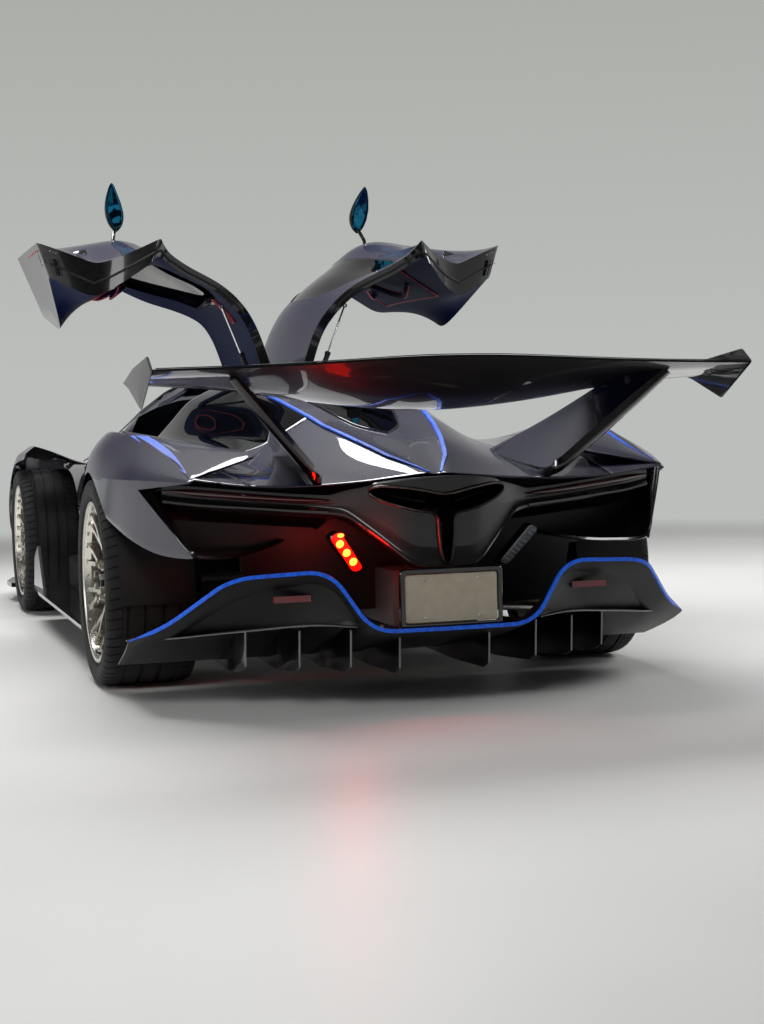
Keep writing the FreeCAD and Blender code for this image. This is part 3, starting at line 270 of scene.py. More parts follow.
def tube(name, path, radius, materials, sides=12, closed=False):
    # a round bar that follows a path of points; radius may be a number or one for each point
    points = [Vector(p) for p in path]
    radii = radius if isinstance(radius, (list, tuple)) else [radius] * len(points)
    rows = []
    across = None
    for point, size, way in zip(points, radii, waysAlong(points, closed)):
        if across is None:
            across = way.orthogonal().normalized()
        across = (across - across.dot(way) * way).normalized()
        other = way.cross(across)
        rows.append([point + size * (math.cos(t) * across + math.sin(t) * other)
                     for t in (2 * math.pi * k / sides for k in range(sides))])
    return barFrom(name, rows, materials, closed)


def ownFinish(name, material):
    # a CAD node whose shape is right keeps it and takes this finish
    item = nodes[name]
    item.data.materials.clear()
    item.data.materials.append(material)
    return item


paintLook = {"base": "#07071f", "violet": "#130f38", "flake": 0.0009, "orangePeel": 0.012}


def makePaint():
    # midnight two-stage paint, sprayed and lacquered: near black face on, violet at a low angle
    material, tree, shader = newMaterial("twoStagePearlPaint", {
        "Roughness": 0.5, "Metallic": 0.04, "Specular IOR Level": 0.12, "Coat Weight": 1.0,
        "Coat Roughness": 0.015, "Coat IOR": 1.55})
    place = addNode(tree, "ShaderNodeTexCoord")
    facing = addNode(tree, "ShaderNodeLayerWeight", {"Blend": 0.4})
    tint = addNode(tree, "ShaderNodeValToRGB",
                   {"stops": [(0.0, paintLook["base"]), (0.9, paintLook["violet"])]},
                   {"Fac": (facing, "Facing")})
    flake = addNode(tree, "ShaderNodeTexVoronoi", {"Scale": 1 / paintLook["flake"]},
                    {"Vector": (place, "Object")})
    addNode(tree, "ShaderNodeMix", {"data_type": "RGBA", "blend_type": "ADD", "Factor": 0.002},
            {6: (tint, "Color"), 7: (flake, "Color")}, {2: (shader, "Base Color")})
    peel = addNode(tree, "ShaderNodeTexNoise", {"Scale": 1 / paintLook["orangePeel"], "Detail": 1.0},
                   {"Vector": (place, "Object")})
    addNode(tree, "ShaderNodeBump", {"Distance": 0.00002, "Strength": 1.0}, {"Height": (peel, "Fac")},
            {"Normal": (shader, "Coat Normal")})
    return material


edgeLook = {"base": "#0a6cff", "deep": "#0450d0", "speck": 0.0015}


def makeEdgePaint():
    # bright blue edge paint, masked and sprayed: an even gloss stripe
    material, tree, shader = newMaterial("maskedEdgePaint", {
        "Roughness": 0.4, "Coat Weight": 0.3, "Coat Roughness": 0.05, "Specular IOR Level": 0.3})
    place = addNode(tree, "ShaderNodeTexCoord")
    speck = addNode(tree, "ShaderNodeTexNoise", {"Scale": 1 / edgeLook["speck"] / 8, "Detail": 3.0},
                    {"Vector": (place, "Object")})
    addNode(tree, "ShaderNodeValToRGB", {"stops": [(0.3, edgeLook["deep"]), (0.6, edgeLook["base"])]},
            {"Fac": (speck, "Fac")}, {"Color": (shader, "Base Color")})
    return material


carbonLook = {"tow": 0.004, "warp": "#050506", "weft": "#0b0c0f", "grain": 0.0006}


def makeCarbon(name, coat, roughness):
    # carbon twill laid up by hand and cured: dark tows that step diagonally under lacquer
    # the real tow is about 2 mm wide; it is drawn at 4 mm, because finer wouldn't show
    material, tree, shader = newMaterial(name, {
        "Roughness": 0.42, "Coat Weight": coat, "Coat Roughness": roughness, "Coat IOR": 1.42,
        "Specular IOR Level": 0.25})
    place = addNode(tree, "ShaderNodeTexCoord")
    turned = addNode(tree, "ShaderNodeMapping", {"Rotation": (0.62, 0.41, 0.785)},
                     {"Vector": (place, "Object")})
    split = addNode(tree, "ShaderNodeSeparateXYZ", {}, {"Vector": (turned, "Vector")})
    scale = 1 / carbonLook["tow"]
    steps = []
    for axis in ("X", "Y"):
        wide = addNode(tree, "ShaderNodeMath", {"operation": "MULTIPLY", 1: scale}, {0: (split, axis)})
        steps.append(addNode(tree, "ShaderNodeMath", {"operation": "FLOOR"}, {0: (wide, "Value")}))
    total = addNode(tree, "ShaderNodeMath", {"operation": "ADD"},
                    {0: (steps[0], "Value"), 1: (steps[1], "Value")})
    turn = addNode(tree, "ShaderNodeMath", {"operation": "PINGPONG", 1: 2.0}, {0: (total, "Value")})
    tow = addNode(tree, "ShaderNodeMath", {"operation": "GREATER_THAN", 1: 0.9}, {0: (turn, "Value")})
    addNode(tree, "ShaderNodeValToRGB", {"stops": [(0.0, carbonLook["warp"]), (1.0, carbonLook["weft"])]},
            {"Fac": (tow, "Value")}, {"Color": (shader, "Base Color")})
    addNode(tree, "ShaderNodeBump", {"Distance": 0.0002, "Strength": 0.25}, {"Height": (tow, "Value")},
            {"Normal": (shader, "Normal")})
    return material


def makeGlass(name, tint, roughness, alpha):
    # tinted polycarbonate, hot formed and hard coated: dark but see-through, with crisp reflections
    material, tree, shader = newMaterial(name, {
        "Roughness": roughness, "Transmission Weight": alpha, "IOR": 1.5, "Coat Weight": 1.0,
        "Coat Roughness": 0.01})
    place = addNode(tree, "ShaderNodeTexCoord")
    haze = addNode(tree, "ShaderNodeTexNoise", {"Scale": 9.0, "Detail": 2.0}, {"Vector": (place, "Object")})
    addNode(tree, "ShaderNodeValToRGB", {"stops": [(0.35, tint[0]), (0.65, tint[1])]},
            {"Fac": (haze, "Fac")}, {"Color": (shader, "Base Color")})
    return material


tyreLook = {"rubber": "#161617", "dust": "#232322", "grain": 0.0025, "rough": (0.58, 0.78)}


def makeRubber():
    # vulcanised tyre rubber: near black and dull, with a faint grey bloom
    material, tree, shader = newMaterial("vulcanisedRubber", {"Specular IOR Level": 0.35})
    place = addNode(tree, "ShaderNodeTexCoord")
    grain = addNode(tree, "ShaderNodeTexNoise", {"Scale": 1 / tyreLook["grain"], "Detail": 4.0},
                    {"Vector": (place, "Object")})
    bloom = addNode(tree, "ShaderNodeTexNoise", {"Scale": 14.0, "Detail": 3.0}, {"Vector": (place, "Object")})
    addNode(tree, "ShaderNodeValToRGB", {"stops": [(0.35, tyreLook["rubber"]), (0.7, tyreLook["dust"])]},
            {"Fac": (bloom, "Fac")}, {"Color": (shader, "Base Color")})
    addNode(tree, "ShaderNodeValToRGB", {"stops": [(0.3, tyreLook["rough"][0]), (0.7, tyreLook["rough"][1])]},
            {"Fac": (grain, "Fac")}, {"Color": (shader, "Roughness")})
    addNode(tree, "ShaderNodeBump", {"Distance": 0.0003, "Strength": 0.3}, {"Height": (grain, "Fac")},
            {"Normal": (shader, "Normal")})
    return material


def makeGrained(name, settings, colour, rough, grain, height, strength):
    # a surface whose tone and roughness wander a little with one grain; grain is its size in metres
    material, tree, shader = newMaterial(name, settings)
    place = addNode(tree, "ShaderNodeTexCoord")
    noise = addNode(tree, "ShaderNodeTexNoise", {"Scale": 1 / grain, "Detail": 3.0},
                    {"Vector": (place, "Object")})
    for (low, high), socket in ((colour, "Base Color"), (rough, "Roughness")):
        addNode(tree, "ShaderNodeValToRGB", {"stops": [(0.3, low), (0.7, high)]}, {"Fac": (noise, "Fac")},
                {"Color": (shader, socket)})
    addNode(tree, "ShaderNodeBump", {"Distance": height, "Strength": strength}, {"Height": (noise, "Fac")},
            {"Normal": (shader, "Normal")})
    return material


def makeMetal(name, colour, roughness, grain, height, spread=0.08):
    # one bare metal
    return makeGrained(name, {"Metallic": 1.0}, colour, (roughness, roughness + spread), grain, height, 0.4)


def makePlastic(name, colour, roughness, grain, height, coat=0.0, gloss=0.5):
    # moulded or painted plastic, rubber or hide
    return makeGrained(name, {"Coat Weight": coat, "Coat Roughness": 0.05, "Specular IOR Level": gloss},
                       colour, (roughness, min(1, roughness + 0.1)), grain, height, 0.5)


def makeLit(name, colour, glow, strength):
    # a light source behind a clear cover
    material, tree, shader = newMaterial(name, {"Roughness": 0.2, "Emission Strength": strength,
                                                "Emission Color": linear(glow)})
    place = addNode(tree, "ShaderNodeTexCoord")
    noise = addNode(tree, "ShaderNodeTexNoise", {"Scale": 300.0}, {"Vector": (place, "Object")})
    addNode(tree, "ShaderNodeValToRGB", {"stops": [(0.3, colour[0]), (0.7, colour[1])]},
            {"Fac": (noise, "Fac")}, {"Color": (shader, "Base Color")})
    return material


paint = makePaint()
edgePaint = makeEdgePaint()
glossCarbon = makeCarbon("lacqueredTwillCarbon", 1.0, 0.03)
satinCarbon = makeCarbon("satinTwillCarbon", 0.35, 0.3)
smokedGlass = makeGlass("smokedPolycarbonate", ("#0d0f14", "#12151b"), 0.0, 0.7)
# mirrors: a blue tint over a clean shine
mirrorGlass = makeMetal("blueTintMirrorGlass", ("#1c6f94", "#2f7fa0"), 0.03, 0.2, 0.00001, 0.01)
lampGlass = makeGlass("clearLampPolycarbonate", ("#d5d9dc", "#e2e6e8"), 0.02, 0.92)
# tail covers: almost black until a lamp is lit, with a wet shine
redGlass = makePlastic("darkRedLensAcrylic", ("#2a0508", "#3c080c"), 0.08, 0.004, 0.00005, 1.0)
# reflectors: small prisms break the light into sparks
reflectorRed = makePlastic("prismaticReflectorAcrylic", ("#5e0a18", "#7c1022"), 0.18, 0.003, 0.0006, 1.0)
rubber = makeRubber()
# forgings: pale and bright, with faint tool marks
forged = makeMetal("machinedForgedAluminium", ("#cfcac0", "#dedad2"), 0.2, 0.004, 0.00006)
# castings: dull and sandy
castAlloy = makeMetal("sandCastAluminium", ("#8a8b8d", "#9a9b9c"), 0.45, 0.003, 0.0003)
# anodised parts: dark grey with a soft metal sheen
darkAlloy = makeMetal("anodisedDarkAluminium", ("#2b2c2f", "#37383b"), 0.35, 0.004, 0.0001)
# fasteners: bright and slightly clouded
steel = makeMetal("brightZincSteel", ("#b9bbbd", "#cfd0d1"), 0.25, 0.004, 0.0001)
# damper rods: one sharp reflection
chrome = makeMetal("hardChromeRod", ("#d8dadc", "#e6e8ea"), 0.06, 0.01, 0.00001, 0.02)
# coated steel: black, with a broad soft highlight
blackSatin = makePlastic("eCoatedSteelBlack", ("#060607", "#09090a"), 0.42, 0.002, 0.0001)
# lacquer: black, with a sharp highlight
blackGloss = makePlastic("glossBlackLacquer", ("#060607", "#0a0a0c"), 0.12, 0.01, 0.00001, 1.0)
# seals: black, with hardly a highlight
seal = makePlastic("extrudedSealRubber", ("#0d0d0e", "#151516"), 0.65, 0.002, 0.0002)
# hide: deep blue and pebbled, without shine
leather = makePlastic("grainedNavyLeather", ("#081338", "#0d1c4a"), 0.55, 0.0016, 0.0005, gloss=0.08)
# suede: grey and quite matt
suede = makePlastic("brushedMicrofibreSuede", ("#16171b", "#212228"), 0.85, 0.0009, 0.0003)
# piping: a red line in the dark cabin
redLeather = makePlastic("dyedRedPipingLeather", ("#b01820", "#cf2a2e"), 0.45, 0.0016, 0.0003)
# exhaust: browned unevenly by heat
heatSteel = makeMetal("heatTintedInconel", ("#3a3432", "#57504d"), 0.3, 0.02, 0.0001)
# number plate: pale sheet with a slight gloss
plateFace = makePlastic("embossedPlateSheet", ("#a9a08c", "#b5ad9b"), 0.4, 0.03, 0.0001, 0.3)
# diodes: a hot orange core
ledLit = makeLit("redDiodeLit", ("#ff5a20", "#ff7030"), "#ff4410", 22.0)
# round the diodes: a weaker, deeper red
ledHalo = makeLit("redDiodeGlow", ("#a00808", "#c01010"), "#ff0804", 3.2)
# unlit lens: clear grey ribs
ledDark = makePlastic("ribbedLensAcrylic", ("#5f6468", "#7d8286"), 0.16, 0.02, 0.0002, 1.0)
# front diodes: a cool white
ledWhite = makeLit("daylightDiode", ("#f2f5f8", "#ffffff"), "#e8f2ff", 1.2)
print("finishes made")


stageLook = {"floor": "#ececea", "floorFar": "#e4e5e3", "wallLow": "#bbbebb", "wallHigh": "#a9aca6",
             "fadeFrom": 5.5, "fadeTo": 8.0, "radius": 40}


def makeStage():
    # a poured floor whose far part runs into the wall's tone, as a rounded cyclorama does
    rows = []
    for r in (0.0001, 2, 4, 5.5, 6.5, 8, 11, 17, 26, stageLook["radius"]):
        rows.append([(r * math.cos(t), r * math.sin(t), 0) for t in
                     (2 * math.pi * k / 64 for k in range(64))])
    material, tree, shader = newMaterial("pouredEpoxyFloor", {"Roughness": 0.42, "Specular IOR Level": 0.25})
    place = addNode(tree, "ShaderNodeTexCoord")
    far = addNode(tree, "ShaderNodeVectorMath", {"operation": "LENGTH"}, {0: (place, "Object")})
    near = addNode(tree, "ShaderNodeMapRange",
                   {"From Min": stageLook["fadeFrom"], "From Max": stageLook["fadeTo"],
                    "interpolation_type": "SMOOTHSTEP"}, {"Value": (far, "Value")})
    mottle = addNode(tree, "ShaderNodeTexNoise", {"Scale": 0.8, "Detail": 2.0}, {"Vector": (place, "Object")})
    addNode(tree, "ShaderNodeValToRGB", {"stops": [(0.3, stageLook["floor"]), (0.7, stageLook["floorFar"])]},
            {"Fac": (mottle, "Fac")}, {"Color": (shader, "Base Color")})
    wall = addNode(tree, "ShaderNodeEmission", {"Color": linear(stageLook["wallLow"])})
    both = addNode(tree, "ShaderNodeMixShader", {}, {0: (near, "Result"), 1: (shader, "BSDF"),
                                                     2: (wall, "Emission")})
    output = [node for node in tree.nodes if node.type == "OUTPUT_MATERIAL"][0]
    tree.links.new(both.outputs[0], output.inputs["Surface"])
    floor = cage("floor", rows, [material], loop=True)
    turnOutwards(floor)
    if floor.data.polygons[0].normal.z < 0:
        floor.data.flip_normals()


worldLook = {"ceiling": 0.08, "side": 0.46, "behind": 0.05}


def makeWorld():
    world = bpy.data.worlds.new("studio")
    scene.world = world
    world.use_nodes = True
    tree = world.node_tree
    tree.nodes.clear()
    place = addNode(tree, "ShaderNodeTexCoord")
    split = addNode(tree, "ShaderNodeSeparateXYZ", {}, {"Vector": (place, "Generated")})
    # the room's walls are lit, the end behind the open tail is dark, and the ceiling is a soft light
    tail = addNode(tree, "ShaderNodeValToRGB",
                   {"stops": [(0.0, worldLook["side"]), (0.5, worldLook["side"] * 0.8),
                              (0.8, worldLook["behind"]), (1.0, worldLook["behind"])]},
                   {"Fac": (split, "Y")})
    up = addNode(tree, "ShaderNodeValToRGB", {"stops": [(0.10, 0.0), (0.45, 1.0)]}, {"Fac": (split, "Z")})
    room = addNode(tree, "ShaderNodeMix", {"data_type": "RGBA", 7: [worldLook["ceiling"]] * 3 + [1]},
                   {0: (up, "Color"), 6: (tail, "Color")})
    wall = addNode(tree, "ShaderNodeValToRGB",
                   {"stops": [(0.0, stageLook["wallLow"]), (0.02, stageLook["wallLow"]),
                              (0.25, stageLook["wallHigh"])]}, {"Fac": (split, "Z")})
    light = addNode(tree, "ShaderNodeBackground", {"Strength": 0.8}, {"Color": (room, 2)})
    shown = addNode(tree, "ShaderNodeBackground", {"Strength": 1.0}, {"Color": (wall, "Color")})
    path = addNode(tree, "ShaderNodeLightPath")
    both = addNode(tree, "ShaderNodeMixShader", {}, {0: (path, "Is Camera Ray"), 1: (light, "Background"),
                                                     2: (shown, "Background")})
    addNode(tree, "ShaderNodeOutputWorld", {}, {"Surface": (both, "Shader")})


# soft boxes: name, place, aimed at, size across and along, watts
softBoxes = (("ceilingBox", (0.6, -1.2, 4.6), (0.3, 0.2, 0.6), 4.6, 2.2, 340),
             ("tailBox", (2.2, 5.6, 3.9), (0.0, 1.2, 0.6), 2.6, 1.2, 70),
             ("leftWallBox", (7.5, 1.5, 2.2), (0, 0.6, 0.6), 5.0, 2.2, 90),
             ("rightWallBox", (-6.5, 0.6, 4.2), (-0.6, 0.6, 0.3), 5.0, 2.4, 230))


def makeLights():
    for name, place, target, wide, long, watts in softBoxes:
        lamp = bpy.data.lights.new(name, "AREA")
        lamp.shape = "RECTANGLE"
        lamp.size = wide
        lamp.size_y = long
        lamp.energy = watts
        item = bpy.data.objects.new(name, lamp)
        scene.collection.objects.link(item)
        item.location = place
        way = Vector(target) - Vector(place)
        item.rotation_euler = way.to_track_quat("-Z", "Y").to_euler()
    # the lit lamp's spill on the tail round it
    spill = bpy.data.lights.new("lampSpill", "POINT")
    spill.color = linear("#ff1408")[:3]
    spill.energy = 2.6
    spill.shadow_soft_size = 0.05
    item = bpy.data.objects.new("lampSpill", spill)
    scene.collection.objects.link(item)
    item.location = (0.30, 2.27, 0.50)


cameraLook = {"place": (1.862, 7.730, 0.932), "yaw": 16.93, "pitch": 3.11, "roll": -1.31, "lens": 64.2}


def makeCamera():
    yaw, pitch, roll = (math.radians(cameraLook[k]) for k in ("yaw", "pitch", "roll"))
    ahead = Vector((-math.sin(yaw) * math.cos(pitch), -math.cos(yaw) * math.cos(pitch), -math.sin(pitch)))
    right = ahead.cross(Vector((0, 0, 1))).normalized()
    up = right.cross(ahead)
    across = math.cos(roll) * right + math.sin(roll) * up
    upright = -math.sin(roll) * right + math.cos(roll) * up
    camera = bpy.data.cameras.new("camera")
    camera.lens = cameraLook["lens"]
    camera.clip_end = 200
    item = bpy.data.objects.new("camera", camera)
    scene.collection.objects.link(item)
    turn = Matrix((across, upright, -ahead)).transposed()
    item.matrix_world = Matrix.Translation(cameraLook["place"]) @ turn.to_4x4()
    scene.camera = item


makeStage()
makeWorld()
makeLights()
makeCamera()
scene.view_settings.view_transform = "Standard"
print("stage, lights and camera made")


bodyLook = {"hinge": (50, 1100), "gap": 6, "wall": 5, "level": 3, "doorAngle": 75}


def reach(point):
    # distance of a section's point from the door's hinge axis, in mm
    return math.hypot(point[0] - bodyLook["hinge"][0], point[1] - bodyLook["hinge"][1])


def valueAt(line, place):
    # straight-line value of a list of (place, value), in either order of place
    pairs = sorted(line)
    if place <= pairs[0][0]:
        return pairs[0][1]
    for (a, one), (b, two) in zip(pairs, pairs[1:]):
        if place <= b:
            return one + (two - one) * (place - a) / max(b - a, 1e-9)
    return pairs[-1][1]


def sectionAt(table, y):
    # the (x, z) points of a section table at any station y, smooth between stations
    if y <= table[0][0]:
        return table[0][1]
    for k in range(len(table) - 1):
        if y <= table[k + 1][0]:
            t = (y - table[k][0]) / (table[k + 1][0] - table[k][0])
            before = table[max(k - 1, 0)]
            after = table[min(k + 2, len(table) - 1)]
            out = []
            for j in range(len(table[k][1])):
                point = []
                for axis in (0, 1):
                    p0, p1, p2, p3 = (s[1][j][axis] for s in (before, table[k], table[k + 1], after))
                    span = table[k + 1][0] - table[k][0]
                    m1 = (p2 - p0) / (table[k + 1][0] - before[0]) * span
                    m2 = (p3 - p1) / (after[0] - table[k][0]) * span
                    point.append((2 * t ** 3 - 3 * t ** 2 + 1) * p1 + (t ** 3 - 2 * t ** 2 + t) * m1
                                 + (3 * t ** 2 - 2 * t ** 3) * p2 + (t ** 3 - t ** 2) * m2)
                out.append(tuple(point))
            return out
    return table[-1][1]


def edgeRow(table, edge, start, shift):
    # the row where a surface meets the door: each column's y follows the edge line of (reach, y)
    row = []
    for j in range(len(table[0][1])):
        y = start
        for attempt in range(8):
            y = valueAt(edge, reach(sectionAt(table, y)[j])) + shift
        x, z = sectionAt(table, y)[j]
        row.append((x, y, z))
    return row


def stationRow(table, y):
    return [(x, y, z) for x, z in sectionAt(table, y)]


def wholeRow(half):
    # a row from the centre line out, with its mirror image before it
    return [(-x, y, z) for x, y, z in half[:0:-1]] + list(half)


def splitPanels(master, names, gap, wall, bevel=0.0012):
    # the smooth master surface becomes one closed panel for each material index
    pieces = []
    for index, (name, materials) in enumerate(names):
        work = bmesh.new()
        work.from_mesh(master.data)
        bmesh.ops.delete(work, geom=[f for f in work.faces if f.material_index != index], context="FACES")
        if not work.faces:
            work.free()
            continue
        moves = {}
        for edge in work.edges:
            if len(edge.link_faces) == 1:
                face = edge.link_faces[0]
                along = (edge.verts[1].co - edge.verts[0].co).normalized()
                inwards = face.normal.cross(along)
                if inwards.dot(face.calc_center_median() - edge.verts[0].co) < 0:
                    inwards.negate()
                for vert in edge.verts:
                    moves.setdefault(vert, []).append(inwards)
        for vert, ways in moves.items():
            way = sum(ways, Vector()).normalized()
            vert.co += way * gap / 2 / max(0.5, way.dot(ways[0]))
        for face in work.faces:
            face.material_index = 0
        mesh = bpy.data.meshes.new(name)
        work.to_mesh(mesh)
        work.free()
        for material in materials:
            mesh.materials.append(material)
        item = bpy.data.objects.new(name, mesh)
        scene.collection.objects.link(item)
        modifier(item, "SOLIDIFY", thickness=wall, offset=-1, use_even_offset=False)
        if bevel:
            modifier(item, "BEVEL", width=bevel, segments=2, limit_method="ANGLE",
                     angle_limit=math.radians(60))
        settle(item, 40)
        pieces.append(item)
    bpy.data.objects.remove(master)
    return pieces


# (x, z) of the rear body from the centre line out, by station y, in mm
# columns: centre, recess, spine edge, flank, valley, fender inner, crown, shoulder, crease, low edge
rearTable = [
    (300, [(0, 1097), (150, 1091), (250, 1083), (434, 1006), (548, 883), (648, 768), (697, 738),
           (694, 690), (671, 528), (834, 323)]),
    (520, [(0, 1088), (160, 1080), (262, 1070), (440, 976), (552, 862), (655, 796), (742, 775),
           (768, 690), (742, 540), (858, 318)]),
    (800, [(0, 1050), (160, 1040), (268, 1035), (430, 928), (562, 822), (700, 808), (822, 838),
           (892, 770), (905, 560), (925, 312)]),
    (1050, [(0, 1004), (155, 998), (262, 1000), (420, 884), (562, 800), (728, 830), (866, 884),
            (946, 812), (978, 660), (975, 302)]),
    (1343, [(0, 948), (140, 944), (240, 952), (400, 845), (552, 784), (740, 838), (896, 893),
            (966, 830), (986, 745), (985, 600)]),
    (1600, [(0, 884), (112, 882), (195, 890), (368, 812), (532, 764), (690, 800), (846, 872),
            (936, 812), (986, 736), (984, 620)]),
    (1800, [(0, 840), (90, 838), (158, 846), (332, 784), (498, 748), (662, 771), (826, 834),
            (916, 792), (966, 735), (938, 545)]),
    (1940, [(0, 802), (64, 801), (118, 810), (302, 765), (468, 739), (636, 752), (812, 806),
            (884, 772), (922, 735), (862, 490)]),
    (2215, [(0, 735), (12, 735), (26, 738), (215, 720), (410, 708), (610, 712), (780, 740),
            (790, 737), (797, 730), (742, 489)]),
]
# the door's rear and front edge as (distance from the hinge, y)
doorRearEdge = [(54, 302), (205, 302), (300, 337), (395, 353), (470, 368), (541, 388), (683, 427), (739, 471),
                (800, 296), (843, 267), (1104, 186), (1150, 186)]
doorFrontEdge = [(54, -495), (280, -500), (329, -560), (495, -780), (737, -960), (870, -960), (1010, -740),
                 (1090, -600), (1150, -600)]
rearStations = (520, 650, 800, 900, 1050, 1200, 1343, 1470, 1600, 1800, 1940, 2080, 2215)
# the side behind this outline of (y, z) is open: the raked rim of the tail duct
tailRim = [(1.940, 0.704), (2.206, 0.728), (2.30, 0.728), (2.30, 0.40), (2.160, 0.40), (2.140, 0.490)]


def makeRearBody():
    rows = [wholeRow(edgeRow(rearTable, doorRearEdge, 300, bodyLook["gap"]))]
    rows += [wholeRow(stationRow(rearTable, y)) for y in rearStations]
    count = len(rows) - 1
    middle = 9

    def panelOf(i, j):
        # 0 centre cover, 1 flank windows, 2 side pod, 3 rear clam
        column = j - middle if j >= middle else middle - 1 - j
        if column >= 5:
            return (2 if i < 4 else 3) + (0 if j >= middle else 2)
        return 1 if column in (2, 3, 4) and i < 8 else 0
    lines = []
    for column, first, weight in ((2, 4, 1.0), (3, 6, 0.9), (6, 8, 1.0), (8, 3, 1.0)):
        for j in (middle - column, middle + column):
            lines.append((j, first, count, weight))
            lines.append((j, 0, first, weight * 0.45))
    master = cage("rearMaster", [mm(row) for row in rows], [paint] * 6, (), lines, slot=panelOf)
    master.data.materials.clear()
    for k in range(6):
        master.data.materials.append(bpy.data.materials.new("panel%d" % k))
    for polygon, index in zip(master.data.polygons,
                              [panelOf(i, j) for i in range(count) for j in range(2 * middle)]):
        polygon.material_index = index
    refine(master, bodyLook["level"])
    settle(master, 180)
    turnUp(master)
    names = [("engineCover", [paint]), ("flankWindows", [smokedGlass]), ("quarterLeft", [paint]),
             ("rearClamLeft", [paint]), ("quarterRight", [paint]), ("rearClamRight", [paint])]
    made = splitPanels(master, names, 0.005, bodyLook["wall"] / 1000)
    return {item.name: item for item in made}


def turnUp(item, axis=2):
    # an open surface has its faces turned to the outside, which is upwards, or towards +Y with axis 1
    if sum(p.normal[axis] * p.area for p in item.data.polygons) < 0:
        item.data.flip_normals()


def wheelCutter(y, z, radius, ends):
    # a cylinder across the car, between two values of x
    low, high = sorted(ends)
    work = bmesh.new()
    bmesh.ops.create_cone(work, cap_ends=True, segments=128, radius1=radius, radius2=radius,
                          depth=high - low)
    mesh = bpy.data.meshes.new("cutter")
    work.to_mesh(mesh)
    work.free()
    mesh.transform(Matrix.Translation(((low + high) / 2, y, z)) @ Matrix.Rotation(math.pi / 2, 4, "Y"))
    item = bpy.data.objects.new("cutter", mesh)
    scene.collection.objects.link(item)
    return item


archLook = {"front": (-1.357, 0.347, 0.377), "rear": (1.343, 0.364, 0.384)}
rear = makeRearBody()
for side in (1, -1):
    cutAway(rear["rearClam" + ("Left" if side > 0 else "Right")],
            prismAlong("cutter", tailRim, 0, *sorted((side * 0.7, side * 1.1)), [paint]))
for hand, side in (("Left", 1), ("Right", -1)):
    for name in ("quarter" + hand, "rearClam" + hand):
        y, z, radius = archLook["rear"]
        cutAway(rear[name], wheelCutter(y, z, radius, (side * 0.5, side * 1.2)))
print("rear body made")

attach(rear["engineCover"], "chassis")
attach(rear["flankWindows"], "chassis")
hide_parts("engine_cover")
sidePods = joined("sidePods", [rear["quarterLeft"], rear["quarterRight"]])
rearClam = joined("rearClam", [rear["rearClamLeft"], rear["rearClamRight"]])
for item, node in ((sidePods, "side_pods"), (rearClam, "rear_clam")):
    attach(item, "chassis")
    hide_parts(node)


# columns: centre, bonnet, vent valley, fender inner, crown inner, crown, lip, side
frontTable = [
    (-2450, [(0, 262), (200, 256), (340, 246), (480, 246), (580, 252), (660, 250), (705, 222), (722, 178)]),
    (-2250, [(0, 376), (220, 370), (380, 350), (550, 368), (700, 420), (800, 430), (868, 380), (882, 262)]),
    (-2000, [(0, 500), (240, 490), (400, 450), (580, 468), (740, 550), (850, 574), (926, 520), (944, 390)]),
    (-1740, [(0, 612), (258, 598), (416, 552), (598, 572), (760, 670), (880, 706), (952, 650), (968, 560)]),
    (-1357, [(0, 735), (280, 720), (458, 686), (640, 704), (782, 770), (898, 802), (962, 760), (975, 715)]),
    (-1100, [(0, 812), (300, 792), (490, 736), (660, 712), (796, 782), (908, 818), (958, 778), (970, 735)]),
    (-960, [(0, 850), (310, 826), (510, 752), (680, 700), (806, 776), (915, 812), (956, 780), (966, 752)]),
]
cowlLine = [(0, -1249), (200, -1239), (384, -1194), (546, -1109), (646, -1024), (735, -972), (1000, -962)]
frontStations = (-2450, -2350, -2250, -2120, -2000, -1870, -1740, -1550, -1357, -1270)
lampOutline = [(0.610, -2.118), (0.868, -1.905), (0.880, -1.985), (0.690, -2.215)]


def makeFrontBody():
    rows = [wholeRow(stationRow(frontTable, y)) for y in frontStations]
    last = []
    for j in range(len(frontTable[0][1])):
        y = -1100
        for attempt in range(8):
            y = valueAt(cowlLine, sectionAt(frontTable, y)[j][0]) - 2
        x, z = sectionAt(frontTable, y)[j]
        last.append((x, y, z))
    between = [tuple((a + b) / 2 for a, b in zip(one, two)) for one, two in
               zip(stationRow(frontTable, frontStations[-1]), last)]
    rows += [wholeRow(between), wholeRow(last)]
    lines = []
    for column, weight in ((2, 0.4), (5, 0.75), (6, 0.5)):
        for j in (7 - column, 7 + column):
            lines.append((j, 0, len(rows) - 1, weight))
    master = cage("frontMaster", [mm(row) for row in rows], [paint], (), lines)
    refine(master, bodyLook["level"])
    settle(master, 180)
    turnUp(master)
    clam = splitPanels(master, [("frontClam", [paint])], 0.005, bodyLook["wall"] / 1000)[0]
    y, z, radius = archLook["front"]
    for side in (1, -1):
        cutAway(clam, wheelCutter(y, z, radius, (side * 0.7, side * 1.2)))
        outline = [(side * x, y2) for x, y2 in lampOutline]
        cutAway(clam, prismAlong("cutter", outline, 2, 0.3, 0.8, [paint]))
    return clam


